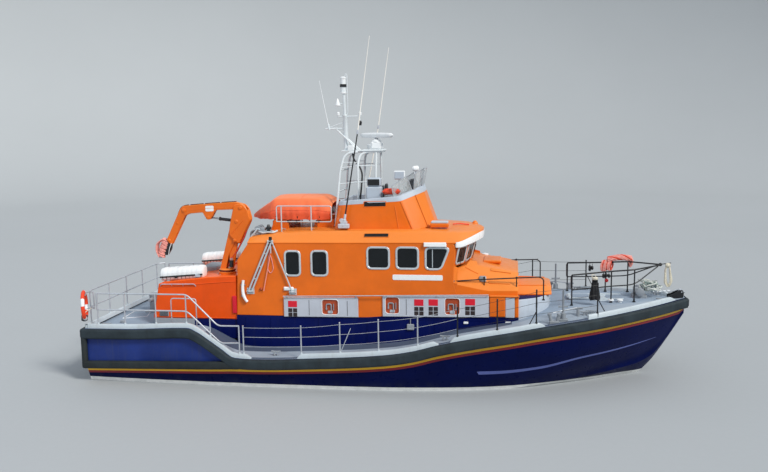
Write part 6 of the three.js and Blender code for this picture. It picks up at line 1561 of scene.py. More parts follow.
# ------------------------------------------------------- life raft canisters
for s, side in ((-1, "starboard"), (1, "port")):
    b = Build()
    x0, x1, y, z, R = (-6.56 if s < 0 else -6.35), (-5.22 if s < 0 else -5.10), s * 1.40, 3.03, 0.214
    n = 28
    lean = lambda x: float(np.interp(x, [-6.62, -5.08], [2.935, 3.055]))       # it lies along the sloping roof
    rings = []
    for t in [0, 0.012, 0.03] + [0.06 + 0.88 * i / 56 for i in range(57)] + [0.97, 0.988, 1]:
        x = lerp(x0, x1, t)
        e = min(t, 1 - t)
        k = 0.55 if e == 0 else 0.80 if e < 0.02 else 0.93 if e < 0.04 else 0.985 if e < 0.08 else 1.0
        rib = 0.975 + 0.035 * abs(math.sin(math.pi * 8 * (t - 0.06) / 0.88)) ** 0.6
        ring_ = []
        for a in range(n):
            w = 2 * math.pi * a / n
            # a slightly squared oval with a flatter belly
            cy_, sz_ = math.cos(w), math.sin(w)
            rr_ = R * k * rib * (abs(cy_) ** 2.6 + abs(sz_) ** 2.6) ** (-1 / 2.6)
            rr_ *= 1 + 0.012 * math.sin(23 * x + 3 * w) * max(0, sz_ + 0.4)
            ring_.append((x, y + rr_ * cy_, lean(x) + rr_ * sz_ * 0.93))
        rings.append(ring_)
    b.loft(rings, 0)
    for i in range(11):      # short lashings from the seam down to the cradle
        x = lerp(x0 + 0.09, x1 - 0.09, i / 10)
        for q in (-1, 1):
            b.tube([(x, y + q * (R - 0.006), lean(x) - 0.03), (x + 0.01, y + q * (R - 0.004), lean(x) - 0.08), (x, y + q * (R - 0.045), lean(x) - 0.145)], 0.007, 6, bend=0.02, m=1)
    for zz in (-0.045, -0.060):    # dark lacing between the halves
        for q in (-1, 1):
            b.tube([(x0 + 0.02, y + q * (R + 0.002), lean(x0) + zz), (x1 - 0.02, y + q * (R + 0.002), lean(x1) + zz)], 0.016, 6, m=1)
    for x in (-6.30, -5.50):
        zf = float(np.interp(x, [-6.44, -5.05], [2.76, 2.93]))
        b.loft([[(x - 0.05, y - 0.20, zf - 0.01), (x + 0.05, y - 0.20, zf - 0.01), (x + 0.05, y + 0.20, zf - 0.01), (x - 0.05, y + 0.20, zf - 0.01)],
                [(x - 0.035, y - 0.16, lean(x) - 0.15), (x + 0.035, y - 0.16, lean(x) - 0.15), (x + 0.035, y + 0.16, lean(x) - 0.15), (x - 0.035, y + 0.16, lean(x) - 0.15)]], 2)
    b.turn((-6.05, y - s * 0.0 + s * (R - 0.01), z - 0.13), (-6.05, y + s * (R + 0.02), z - 0.13), [(0, 0.04), (0.6, 0.04), (1, 0.025)], 16, 1)
    b.box((-5.46, min(y + s * (R - 0.02), y + s * (R + 0.018)), z - 0.12), (-5.30, max(y + s * (R - 0.02), y + s * (R + 0.018)), z - 0.03), 0.008, 3)
    done(b.make(f"liferaft_{side}_fine", [WHITE, BLACK, GREYBOX, PANEL], 35), "boat", [f"liferaft_{side}"])

# ------------------------------------------------ cover over the inflatable
COVER_R = [(-3.89, 0.14, 4.575, 4.675), (-3.65, 0.48, 4.52, 4.855), (-3.35, 0.715, 4.49, 5.055), (-3.20, 0.795, 4.48, 5.16), (-2.50, 0.845, 4.47, 5.195),
           (-1.95, 0.845, 4.47, 5.18), (-1.68, 0.815, 4.48, 5.07), (-1.57, 0.735, 4.51, 4.975)]
CW, CL, CH = (pchip([r[0] for r in COVER_R], [r[i] for r in COVER_R]) for i in (1, 2, 3))
NX, NY = 92, 64
V, F, M = [], [], []
for i in range(NX + 1):
    x = lerp(-3.885, -1.575, i / NX)
    hw, z0, z1 = CW(x), CL(x), CH(x)
    for j in range(NY + 1):
        t = -1 + 2 * j / NY
        a = abs(t)
        sg = 1 if t > 0 else -1
        # from the crown over the tube's shoulder, then down to the hem
        if a < 0.52:
            u = a / 0.52
            y = hw * 0.80 * u
            z = z1 - (z1 - z0) * 0.10 * u ** 2.2
        else:
            u = (a - 0.52) / 0.48
            ang = u * math.pi * 0.62
            y = hw * (0.80 + 0.19 * math.sin(min(ang, math.pi / 2)) - 0.07 * max(0.0, u - 0.72) / 0.28)
            z = z1 - (z1 - z0) * (0.10 + 0.86 * u ** 1.25)
        y *= sg
        # the fabric sags between its supports and creases towards its ties
        sag = -0.020 * math.sin(math.pi * min(1, max(0, (x + 3.3) / 1.6))) ** 2 * (1 - a) ** 1.2
        wr = 0.006 * math.sin(17 * x + 5 * y + 2.0 * math.sin(6 * y)) * (0.25 + 0.75 * a)
        wr += 0.007 * math.sin(31 * x + 1.3 * math.sin(9 * x)) * max(0, a - 0.45) * 1.7
        wr += 0.004 * math.sin(9 * x - 14 * y)
        pull = 0.012 * max(0, a - 0.7) * (1 + math.cos(2 * math.pi * (x + 3.9) / 0.335))
        z += sag + wr * (0.7 if a < 0.5 else 0.5)
        y -= sg * (pull + (wr * 0.9 if a > 0.5 else 0))
        # the hem end is drawn out and down to a point
        V.append((x - 0.21 * max(0.0, (-2.6 - x) / 1.285) ** 1.3, y, z - 0.075 * max(0.0, (-3.15 - x) / 0.735) ** 1.2))
for i in range(NX):
    for j in range(NY):
        k = i * (NY + 1) + j
        F.append((k, k + NY + 1, k + NY + 2, k + 1))
        a = abs(-1 + 2 * (j + 0.5) / NY)
        M.append(1 if a > 0.80 else 0)
me = bpy.data.meshes.new("inflatable_cover")
me.from_pydata(V, [], F)
# lower band of the cover: the same cloth a touch darker as painted shade, with a weaker painted highlight on faces that
# look up or forward
COVER2 = surface("cover_fabric_lower", rgb("f0643a"), 0.6, var=0.12, vscale=2.6, weave=520, bump=0.35, dist=0.0010, painted_top_light=0.3, sheen=0.2, fine=2.5)
me.materials.append(COVER)
me.materials.append(COVER2)
me.polygons.foreach_set("material_index", M)
cover = bpy.data.objects.new("inflatable_cover", me)
bpy.context.scene.collection.objects.link(cover)
tidy(cover, 80)
VV = np.array(V).reshape(NX + 1, NY + 1, 3)
q = VV
done(cover, "boat", ["covered_inflatable"])

# the boat under the cover: two grey tubes and their cone ends showing at the hem
b = Build()
for s in (-1, 1):
    b.tube([(-3.72, s * 0.20, 4.62), (-3.45, s * 0.46, 4.62), (-3.10, s * 0.62, 4.63), (-2.4, s * 0.66, 4.64), (-1.78, s * 0.64, 4.66)], 0.115, 18, bend=0.3, m=0)
b.tube([(-3.72, 0.20, 4.62), (-3.80, 0.0, 4.62), (-3.72, -0.20, 4.62)], 0.075, 18, bend=0.1, m=0)
# tie straps over the cover's hem
straps = []
for x in (-3.25, -2.92, -2.58, -2.25, -1.92):
    for s in (-1, 1):
        hw = CW(x)
        b.tube([(x, s * (hw * 0.952), 4.60), (x, s * (hw * 0.90), 4.50), (x, s * 0.60, 4.43)], 0.010, 6, bend=0.03, m=1)
hull_in = b.make("inflatable_tubes", [GREYBOX, BLACK], 40)
done(hull_in, "boat")
# piped seams that follow the cover's cloth
b = Build()
for j in (int(NY * 0.5 * (1 - 0.80)) , NY - int(NY * 0.5 * (1 - 0.80))):
    line = [VV[i, j] + np.array([0, -0.004 if j < NY / 2 else 0.004, 0.0]) for i in range(0, NX + 1, 2)]
    b.tube(line, 0.007, 6, m=0)
for i in (24, 56):
    line = [VV[i, j] + np.array([0, 0, 0.002]) for j in range(4, NY - 3)]
    b.tube(line, 0.005, 6, m=0)
seams = b.make("cover_seams", [COVER2], 60)
done(seams, "boat")

# cradle: chocks, posts and rails
b = Build()
for x0_, x1_ in ((-3.42, -2.88), (-2.02, -1.52)):      # deep chock boxes
    for s in (-1, 1):
        b.slab([(x0_, 4.15), (x1_, 4.15), (x1_, 4.50), (x0_ + (0.10 if x0_ < -3 else 0), 4.50)], "xz", s * 0.70, s * 0.62, 0.012, 0)
    b.box((x0_ + 0.04, -0.63, 4.16), (x0_ + 0.10, 0.63, 4.45), 0.01, 0)
for x in (-3.01, -2.13):
    b.slab([(-0.64, 4.17), (-0.56, 4.40), (-0.40, 4.44), (0.40, 4.44), (0.56, 4.40), (0.64, 4.17), (0.55, 4.15), (-0.55, 4.15)], "yz", x, x + 0.12, 0.012, 0)
    for y in (-0.62, 0.62):
        b.box((x - 0.03, y - 0.05, 4.14), (x + 0.15, y + 0.05, 4.19), 0.01, 1)
for s in (-1, 1):
    y = s * 1.20
    for x in (-2.95, -2.07):
        b.turn((x, y, 4.12), (x, y, 4.94), [(0, 0.055), (0.03, 0.055), (0.035, 0.019), (1, 0.018)], 14, 1)
    b.tube([(-3.09, y, 4.60), (-3.09, y, 4.94), (-1.48, y, 4.94), (-1.48, y, 4.49), (-3.09, y, 4.49)], 0.0155, 12, bend=0.07, m=1)
    b.tube([(-3.09, y, 4.49), (-3.09, y, 4.62)], 0.020, 12, m=1)
    b.tube([(-2.95, y - s * 0.0, 4.30), (-2.95, s * 0.62, 4.18)], 0.018, 10, m=1)
    b.tube([(-2.07, y - s * 0.0, 4.30), (-2.07, s * 0.62, 4.18)], 0.018, 10, m=1)
    for x in (-2.75, -2.5, -1.85):
        b.box((x - 0.03, min(y - s * 0.05, y + s * 0.012), 4.46), (x + 0.03, max(y - s * 0.05, y + s * 0.012), 4.53), 0.008, 2)
done(b.make("inflatable_cradle_fine", [ORANGE, ALU, BLACK], 34), "boat", ["inflatable_cradle"])

# hoses, reels and valves on the roof's aft end
b = Build()
for y, mt in ((-1.30, 1), (-1.05, 1)):
    b.turn((-3.62, y - 0.08, 4.29), (-3.62, y + 0.08, 4.29), [(0, 0.085), (0.08, 0.09), (0.1, 0.05), (0.9, 0.05), (0.92, 0.09), (1, 0.085)], 24, mt)
    b.box((-3.70, y - 0.09, 4.13), (-3.54, y + 0.09, 4.22), 0.01, 1)
b.turn((-3.30, -1.33, 4.15), (-3.30, -1.33, 4.42), [(0, 0.06), (0.2, 0.075), (0.7, 0.075), (0.8, 0.05), (1, 0.03)], 18, 0)
b.box((-3.52, -1.42, 4.13), (-3.40, -1.24, 4.34), 0.02, 1)
for i in range(5):      # grey hoses in loops at the roof's after corner
    b.tube([(-3.84, -1.36 + 0.03 * i, 4.06), (-3.80 + 0.03 * i, -1.43 + 0.03 * i, 4.24 + 0.02 * i), (-3.60 + 0.03 * i, -1.42 + 0.03 * i, 4.30 + 0.02 * (i % 3)), (-3.42 - 0.03 * i, -1.40 + 0.03 * i, 4.20), (-3.30, -1.38 + 0.03 * i, 4.30 - 0.02 * i), (-3.18, -1.34 + 0.03 * i, 4.22)], 0.018, 8, bend=0.09, m=2 if i % 2 else 1)
b.tube([(-3.60, -1.38, 4.24), (-3.45, -1.44, 4.19), (-3.28, -1.44, 4.22), (-3.14, -1.42, 4.20), (-3.05, -1.30, 4.24)], 0.026, 10, bend=0.08, m=2)
b.tube([(-3.62, -1.42, 4.28), (-3.78, -1.44, 4.10), (-3.86, -1.42, 3.98)], 0.024, 10, bend=0.08, m=2)
done(b.make("roof_aft_gear", [BLACK, GREYBOX, ALU, LENS_R], 34), "boat")

# ------------------------------------------------------------------- rails
GP = [(-3.70, 1.77), (-2.06, 1.81), (-0.98, 1.93), (0.08, 2.04), (1.14, 2.17), (2.20, 2.41), (3.24, 2.63), (4.26, 2.86), (5.88, 2.95)]
for s, side in ((-1, "starboard"), (1, "port")):
    b = Build()
    for i, (x, z1) in enumerate(GP):
        y = s * (H["yb"](x) - 0.062)
        z0 = H["zs"](x) + 0.004
        mt = 0 if x < 2.0 else 1
        b.turn((x, y, z0), (x, y, z1 + 0.02), [(0, 0.020), (0.97, 0.019), (0.985, 0.024), (1, 0.012)], 14, mt)
        b.turn((x, y, z0), (x, y, z0 + 0.16), [(0, 0.034), (0.8, 0.032), (1, 0.024)], 14, 2 if x < 2 else 1)
        h = z1 - z0
        if x in (4.26, 5.88):
            d = -0.24 if x < 5 else 0.26
            b.tube([(x, y, z0 + (0.44 if x < 5 else 0.52)), (x + d, y - s * (-0.02 if x < 5 else 0.30), H["zs"](x + d) + 0.01)], 0.013, 8, m=1)
        for k in (0.95, 0.66, 0.36):
            b.turn((x, y - 0.03, z0 + h * k), (x, y + 0.03, z0 + h * k), [(0, 0.010), (0.3, 0.012), (0.7, 0.012), (1, 0.010)], 8, mt)
    for k in (0.95, 0.66, 0.36):
        pts = []
        for i in range(len(GP) - 1):
            (xa, za), (xb_, zb_) = GP[i], GP[i + 1]
            for t in np.linspace(0, 1, 7)[:-1]:
                x = lerp(xa, xb_, t)
                y0_, y1_ = H["yb"](xa) - 0.062, H["yb"](xb_) - 0.062
                za_, zb2 = H["zs"](xa) + (za - H["zs"](xa)) * k, H["zs"](xb_) + (zb_ - H["zs"](xb_)) * k
                pts.append((x, s * lerp(y0_, y1_, t), lerp(za_, zb2, t) - 0.012 * math.sin(math.pi * t)))
        x, z1 = GP[-1]
        pts.append((x, s * (H["yb"](x) - 0.062), H["zs"](x) + (z1 - H["zs"](x)) * k))
        cutp = min(range(len(pts)), key=lambda i: abs(pts[i][0] - 2.2))
        b.tube(pts[:cutp + 1], 0.0055, 8, m=0)
        b.tube(pts[cutp:], 0.005, 8, m=1)
    # gate frame lines and braces in the low part of the rail
    for x in (-0.98,):
        y = s * (H["yb"](x) - 0.075)
        b.tube([(x + 0.02, y, H["zs"](x) + 0.14), (x + 0.30, y - s * 0.0, H["zs"](x) + 0.80)], 0.011, 8, m=0 if x < 2 else 1)
    done(b.make(f"guardrail_{side}_fine", [STEEL, BLACK, TOE], 34), "boat", [f"guardrail_{side}"])
    b = Build()
    off = lambda x: s * (H["yb"](x) - 0.062)
    for P in ([(-8.06, 2.58), (-5.30, 2.62), (-4.42, 1.76), (-3.81, 1.77)], [(-8.06, 2.11), (-5.31, 2.15), (-4.35, 1.27), (-3.81, 1.29)]):
        b.tube([(x, off(x), z) for x, z in P], 0.021, 14, bend=0.12, m=0)
    for x in (-8.04, -7.20, -6.25, -5.34, -4.65, -3.82):
        zt = float(np.interp(x, [-8.06, -5.30, -4.42, -3.81], [2.58, 2.62, 1.76, 1.77]))
        z0 = H["zs"](x) + 0.004
        b.tube([(x, off(x), z0), (x, off(x), zt - 0.005)], 0.019, 14, m=0)
        b.turn((x, off(x), z0), (x, off(x), z0 + 0.16), [(0, 0.034), (0.8, 0.032), (1, 0.024)], 14, 1)
    b.tube([(-8.06, off(-8.06), 2.58), (-8.06, off(-8.06), 2.11)], 0.021, 12, m=0)
    # inner frame at the after part
    b.tube([(-5.90, s * 2.40, 1.90), (-5.90, s * 2.40, 2.44), (-5.16, s * 2.40, 2.44), (-5.16, s * 2.40, 1.93)], 0.016, 10, bend=0.08, m=0)
    b.tube([(-5.90, s * 2.40, 1.50), (-5.90, s * 2.40, 1.92)], 0.016, 10, m=0)
    b.tube([(-5.16, s * 2.40, 1.48), (-5.16, s * 2.40, 1.95)], 0.016, 10, m=0)
    done(b.make(f"quarter_rail_{side}_fine", [STEEL, TOE], 34), "boat", [f"quarter_rail_{side}"])
b = Build()
for z in (2.60, 2.13):
    b.tube([(-8.17, -2.51, z), (-8.388, -2.36, z), (-8.388, 2.36, z), (-8.17, 2.51, z)], 0.020, 14, bend=0.14, m=0)
for y in (-2.30, -1.15, 0, 1.15, 2.30):
    b.tube([(-8.388, y, 1.565), (-8.388, y, 2.60)], 0.019, 12, m=0)
    b.turn((-8.388, y, 1.565), (-8.388, y, 1.725), [(0, 0.034), (0.8, 0.032), (1, 0.024)], 14, 1)
for s in (-1, 1):
    b.tube([(-8.17, s * 2.51, 2.13), (-8.17, s * 2.51, 2.60)], 0.019, 12, m=0)
done(b.make("stern_rail_fine", [STEEL, TOE], 34), "boat", ["stern_rail"])

# gear at the starboard quarter: round fender on its line, a lifebuoy on the rail
b = Build()
b.turn((-8.41, -2.66, 1.79), (-8.39, -2.66, 1.98), [(0, 0.045), (0.12, 0.085), (0.85, 0.09), (1, 0.04)], 22, 0)
b.tube([(-8.40, -2.66, 1.97), (-8.38, -2.62, 2.05), (-8.28, -2.46, 2.12)], 0.010, 6, bend=0.05, m=1)


def buoy(b, c, ax, R=0.30, r=0.062, m=0, m2=1, a0=0.0):
    """A lifebuoy: fat ring with four bands, its axis along ax."""
    c, ax = vec(c), unit(vec(ax))
    up = np.array([0, 0, 1.0]) if abs(ax[2]) < 0.9 else np.array([1.0, 0, 0])
    e = unit(np.cross(up, ax))
    g = np.cross(ax, e)
    N1, N2 = 48, 12
    V, F, M = [], [], []
    for i in range(N1):
        a = 2 * math.pi * i / N1
        d = e * math.cos(a) + g * math.sin(a)
        for k in range(N2):
            w = 2 * math.pi * k / N2
            V.append(c + d * (R + r * 1.12 * math.cos(w)) + ax * (r * 0.88 * math.sin(w)))
    for i in range(N1):
        for k in range(N2):
            F.append((i * N2 + k, ((i + 1) % N1) * N2 + k, ((i + 1) % N1) * N2 + (k + 1) % N2, i * N2 + (k + 1) % N2))
            ph = ((i + 0.5) / N1 * 4 + a0) % 1
            M.append(m2 if ph < 0.28 else m)
    b.add(V, F, M)


buoy(b, (-8.385, -2.65, 2.245), (0.93, 0.36, 0.03), 0.365, 0.062, 2, 3, 0.40)
for z in (2.13, 2.60):
    b.tube([(-8.28, -2.44, z), (-8.36, -2.58, z), (-8.40, -2.66, z - 0.01)], 0.012, 8, bend=0.03, m=4)
# outline strip of the flush hatch on the after deck, and its catch
HQ = [(-8.12, -0.82), (-7.96, -0.30), (-7.62, 0.02), (-7.42, -0.42)]
HQ = [(-8.05, -1.05), (-8.12, -0.15), (-7.62, 0.05), (-7.40, -0.75)]
b.tube([(x, y, 1.496) for x, y in HQ] + [(HQ[0][0], HQ[0][1], 1.496)], 0.012, 6, m=3)
b.box((-7.86, -1.62, 1.485), (-7.74, -1.50, 1.56), 0.01, 4)
done(b.make("quarter_gear", [BLACK, ROPE, REDBUOY, WHITE, GREYBOX], 40), "boat")

# ------------------------------------------------------------------ pulpit
b = Build()
PUL = [(5.26, 1.02, 3.01), (6.35, 0.76, 3.085), (6.98, 0.70, 3.125), (7.77, 0.04, 3.16)]
for s in (-1, 1):
    b.tube([(x, s * y, z) for x, y, z in PUL], 0.021, 14, bend=0.22, m=0)
    low = [(x, s * y, z - 0.42) for x, y, z in PUL[:3]] + [(7.70, s * 0.095, 3.13)]
    b.tube(low, 0.017, 12, bend=0.22, m=0)
    for x, y, z in PUL[:3]:
        zd = H["zd"](x) + 0.012
        b.tube([(x, s * y, zd), (x, s * y, z)], 0.019, 12, m=0)
        b.turn((x, s * y, zd), (x, s * y, zd + 0.09), [(0, 0.045), (0.2, 0.045), (0.3, 0.028), (1, 0.023)], 14, 0)
    b.tube([(5.26, s * 1.02, 3.01), (5.235, s * 1.02, 2.96), (5.24, s * 1.02, 2.60), (5.30, s * 1.01, 2.59)], 0.017, 10, bend=0.04, m=0)
b.turn((7.74, 0, 3.13), (7.815, 0, 3.20), [(0, 0.02), (0.25, 0.044), (0.5, 0.052), (0.75, 0.044), (1, 0.02)], 18, 0)
done(b.make("bow_pulpit_fine", [BLACK], 36), "boat", ["bow_pulpit"])

# line bundle, bag and coiled line carried on the pulpit
b = Build()
def prail(x):
    return float(np.interp(x, [5.26, 6.35, 6.98], [1.02, 0.76, 0.70])), float(np.interp(x, [5.26, 6.35, 6.98], [3.01, 3.085, 3.125]))


for i in range(13):      # orange line: loops hung over the port rail
    t = i / 12
    xa = 6.25 + 0.27 * t
    yr, zr = prail(xa)
    dn = 0.23 + 0.05 * math.sin(2.7 * i) - 0.05 * t
    up = 0.035 + 0.028 * abs(math.sin(1.9 * i + 0.6)) + 0.05 * t
    b.tube([(xa - 0.03, yr - 0.05, zr - dn), (xa - 0.05, yr - 0.065, zr - dn * 0.45), (xa, yr - 0.035, zr + up * 0.7), (xa + 0.02, yr + 0.01, zr + up), (xa + 0.05, yr + 0.055, zr - dn * 0.4),
            (xa + 0.02, yr + 0.06, zr - dn * 0.85), (xa - 0.02, yr + 0.0, zr - dn - 0.02)], 0.019, 8, bend=0.05, m=(3, 3, 2, 3, 3)[i % 5])
for i in range(9):      # and a slack roll of it lying along the rail, turned back at its forward end
    ph = 2 * math.pi * i / 9
    P_ = []
    for j in range(10):
        xa = 6.40 + 0.68 * j / 9
        yr, zr = prail(xa)
        w_ = 0.058 + 0.012 * math.sin(1.3 * i + j)
        P_.append((xa, yr + w_ * math.cos(ph + 0.55 * j), zr + 0.085 + 0.05 * math.sin(math.pi * j / 9) + w_ * math.sin(ph + 0.55 * j)))
    if i % 3 == 0:
        x_, y_, z_ = P_[-1]
        P_ += [(x_ + 0.03, y_, z_ - 0.07), (x_ - 0.03, y_ + 0.02, z_ - 0.20), (x_ - 0.08, y_, z_ - 0.10)]
    b.tube(P_, 0.026, 8, bend=0.05, m=(3, 3, 2, 3, 3)[i % 5])
b.turn((6.21, -0.86, 2.84), (6.21, -0.81, 2.84), [(0, 0.03), (0.2, 0.052), (0.8, 0.052), (1, 0.03)], 16, 5)
b.tube([(6.21, -0.835, 2.88), (6.19, -0.83, 2.95), (6.20, -0.80, 3.07)], 0.010, 6, bend=0.03, m=0)
for xx, ya, yb2, za, zb2 in ((6.13, -0.86, -0.78, 2.90, 3.03), (6.20, -0.87, -0.79, 2.93, 3.04), (6.275, -0.85, -0.77, 2.91, 3.02), (5.90, 0.80, 0.88, 2.80, 2.98), (5.97, 0.79, 0.87, 2.84, 2.96)):      # small dark pouches under the top rails
    b.box((xx - 0.038, ya, za), (xx + 0.038, yb2, zb2), 0.025, 0)
    b.tube([(xx, (ya + yb2) / 2, zb2 - 0.01), (xx, (ya + yb2) / 2 + (0.03 if ya < 0 else -0.01), zb2 + 0.07)], 0.008, 6, m=0)
b.tube([(7.78, 0.0, 3.17), (8.07, 0.0, 3.215)], 0.012, 8, m=0)       # short arm past the tip
for i in range(9):      # hank of cream line hung on the arm
    a_ = 0.007 * i
    w = 0.075 + 0.02 * math.sin(1.7 * i)
    b.tube([(7.98 - 0.02 + a_, -0.035 + 0.009 * i, 3.20), (7.98 - w * 0.8, -0.035 + 0.009 * i, 3.02), (7.98 - w + a_, -0.036 + 0.009 * i, 2.66 - 0.02 * (i % 3)), (7.985 + a_, -0.035 + 0.009 * i, 2.50 + 0.015 * (i % 4)),
            (7.98 + w + a_, -0.034 + 0.009 * i, 2.68), (7.98 + w * 0.8, -0.035 + 0.009 * i, 3.02), (7.99 + a_, -0.035 + 0.009 * i, 3.205)], 0.0145, 6, bend=0.07, m=4)
b.turn((7.92, 0.0, 3.14), (8.05, 0.0, 3.15), [(0, 0.05), (0.3, 0.07), (0.7, 0.07), (1, 0.05)], 14, 4)
done(b.make("pulpit_gear", [BLACK, ROPE, ROPE_R, PINK, ROPE, LENS_R], 40), "boat")
b = Build()
rings = []
NB = 40
for t in np.linspace(0, 1, 16):      # pleated cloth bag, gathered at its neck
    z = lerp(2.33, 2.90, t)
    w = lerp(0.150, 0.070, t ** 0.8) * (0.86 if t == 0 else 1) + 0.008 * math.sin(5 * t)
    ple = 0.016 * (1 - 0.35 * t)
    rings.append([(5.88 + (w + ple * math.sin(9 * 2 * math.pi * k / NB + 1.5 * t)) * math.cos(2 * math.pi * k / NB), -1.03 + (w * 0.72 + ple * math.sin(9 * 2 * math.pi * k / NB + 1.5 * t)) * math.sin(2 * math.pi * k / NB), z + 0.012 * math.sin(3 * 2 * math.pi * k / NB) * (1 - t)) for k in range(NB)])
b.loft(rings, 0)
b.turn((5.88, -1.03, 2.885), (5.88, -1.03, 2.965), [(0, 0.062), (0.2, 0.080), (0.7, 0.082), (0.92, 0.062), (1, 0.03)], 20, 1)
b.tube([(5.83, -0.99, 2.90), (5.80, -0.93, 2.98), (5.82, -0.885, 3.02), (5.90, -0.87, 2.99), (5.93, -0.95, 2.90)], 0.009, 6, bend=0.03, m=1)
b.turn((5.88, -1.03, 2.872), (5.88, -1.03, 2.892), [(0, 0.080), (1, 0.080)], 20, 2)
bagp = b.make("pulpit_bag", [BAG, ROPE, BLACK], 50)
done(bagp, "boat")

# ---------------------------------------------------------- coach handrails
for s, side in ((-1, "starboard"), (1, "port")):
    b = Build()
    b.tube([(2.03, s * 1.70, 2.895), (2.09, s * 1.69, 2.92), (2.45, s * 1.66, 2.945), (2.86, s * 1.61, 2.965), (4.38, s * 1.48, 3.03), (4.47, s * 1.48, 2.96), (4.47, s * 1.48, 2.39)], 0.0175, 12, bend=0.07, m=0)
    for x, y in ((2.86, 1.61), (3.74, 1.535)):
        b.tube([(x, s * y, 2.60), (x, s * y, 3.0)], 0.016, 10, m=0)
        b.turn((x, s * y, 2.985), (x, s * y, 3.04), [(0, 0.018), (0.3, 0.030), (0.7, 0.030), (1, 0.016)], 14, 0)
    b.turn((2.03, s * 1.70, 2.855), (2.03, s * 1.70, 2.945), [(0, 0.02), (0.5, 0.040), (1, 0.02)], 14, 0)
    b.turn((4.47, s * 1.48, 2.385), (4.47, s * 1.48, 2.42), [(0, 0.045), (0.5, 0.045), (1, 0.02)], 14, 0)
    b.turn((4.38, s * 1.48, 3.0), (4.38, s * 1.48, 3.055), [(0, 0.018), (0.4, 0.030), (1, 0.016)], 14, 0)
    done(b.make(f"coach_handrail_{side}_fine", [BLACK], 36), "boat", [f"coach_handrail_{side}"])
    # searchlight and deck lamp on the coach roof
    b = Build()
    if s < 0:
        b.turn((2.82, -1.52, 2.80), (2.82, -1.52, 2.90), [(0, 0.05), (0.3, 0.05), (0.4, 0.02), (1, 0.02)], 14, 0)
        b.box((2.72, -1.54, 2.87), (2.90, -1.40, 3.03), 0.02, 3)
        b.box((2.895, -1.525, 2.885), (2.912, -1.415, 3.015), 0.006, 1)
    else:
        b.turn((2.80, 0.98, 3.06), (2.80, 0.98, 3.30), [(0, 0.06), (0.3, 0.05), (0.4, 0.09), (0.9, 0.10), (1, 0.03)], 20, 2)
    done(b.make(f"coach_roof_light_{side}", [BLACK, LENS_W, WHITE, GREYBOX], 36), "boat")

# ----------------------------------------------- hatch, windlass, deck gear
b = Build()
hx, hw = 5.55, 0.31
for x0, x1, y0, y1 in ((hx - hw, hx + hw, -hw, -hw + 0.05), (hx - hw, hx + hw, hw - 0.05, hw), (hx - hw, hx - hw + 0.05, -hw, hw), (hx + hw - 0.05, hx + hw, -hw, hw)):
    b.box((x0, y0, 2.05), (x1, y1, 2.18), 0.008, 0)
done(b.make("hatch_coaming_fine", [TOE], 34), "boat", ["foredeck_hatch_coaming"])
b = Build()
b.slab([(p[0], p[1]) for p in rounded([(hx - 0.33, -0.33, 0), (hx + 0.33, -0.33, 0), (hx + 0.33, 0.33, 0), (hx - 0.33, 0.33, 0)], 0.05, 5, closed=True)], "xy", 2.186, 2.232, 0.010, 0)
b.slab([(p[0], p[1]) for p in rounded([(hx - 0.25, -0.25, 0), (hx + 0.25, -0.25, 0), (hx + 0.25, 0.25, 0), (hx - 0.25, 0.25, 0)], 0.04, 5, closed=True)], "xy", 2.228, 2.2385, 0.004, 1)
b.tube([(5.195, -0.20, 2.205), (5.195, 0.20, 2.205)], 0.021, 12, m=2)
for y in (-0.14, 0.14):
    b.box((5.19, y - 0.04, 2.205), (5.30, y + 0.04, 2.238), 0.006, 2)
b.tube([(5.80, -0.05, 2.235), (5.815, -0.05, 2.262), (5.815, 0.05, 2.262), (5.80, 0.05, 2.235)], 0.008, 8, bend=0.015, m=2)
done(b.make("foredeck_hatch_fine", [TOE, DECK, STEEL], 34), "foredeck_hatch", ["foredeck_hatch"])

b = Build()
b.box((7.01, -0.225, 2.19), (7.41, 0.225, 2.30), 0.02, 0)
b.box((7.05, -0.12, 2.28), (7.33, 0.12, 2.52), 0.03, 0)
b.turn((7.21, -0.295, 2.40), (7.21, 0.295, 2.40), [(0, 0.10), (0.02, 0.12), (0.07, 0.12), (0.10, 0.075), (0.30, 0.075), (0.34, 0.10), (0.66, 0.10), (0.70, 0.075), (0.90, 0.075), (0.93, 0.12), (0.98, 0.12), (1, 0.10)], 28, 0)
b.turn((7.21, 0, 2.50), (7.21, 0, 2.56), [(0, 0.09), (0.5, 0.085), (1, 0.05)], 22, 0)
for i in range(7):      # anchor chain to the roller
    t = i / 6
    b.tube([(lerp(7.33, 7.98, t), -0.012, lerp(2.44, 2.42, t) - 0.05 * math.sin(math.pi * t)), (lerp(7.33, 7.98, t) + 0.075, 0.012, lerp(2.44, 2.42, t + 0.1) - 0.05 * math.sin(math.pi * min(1, t + 0.1)))], 0.016, 8, m=1)
for i in range(12):      # working line dropped in a pile over the drum
    a0, rr_ = 2.4 * i, 0.15 + 0.045 * math.sin(2.1 * i)
    cx_, cy_, cz_ = 7.50 + 0.10 * math.sin(1.7 * i), 0.07 * math.cos(2.3 * i), 2.47 + 0.019 * i
    tx_, ty_ = 0.30 * math.sin(1.1 * i), 0.30 * math.cos(1.6 * i)
    P_ = []
    for j in range(11):
        w = a0 + 2 * math.pi * j / 11.5
        dx_, dy_ = rr_ * 1.25 * math.cos(w), rr_ * math.sin(w)
        P_.append((cx_ + dx_, cy_ + dy_, cz_ + tx_ * dx_ + ty_ * dy_ + 0.012 * math.sin(3 * w)))
    b.tube(P_, 0.019, 7, bend=0.05, m=2 if i % 3 else 3)
done(b.make("anchor_windlass_fine", [GREYBOX, STEEL, LINE, LINE2], 34), "boat", ["anchor_windlass"])
b = Build()
for s in (-1, 1):
    b.slab([(8.0, 2.20), (8.40, 2.22), (8.425, 2.36), (8.38, 2.455), (8.30, 2.45), (8.12, 2.33), (8.0, 2.30)], "xz", s * 0.09, s * 0.13, 0.008, 0)
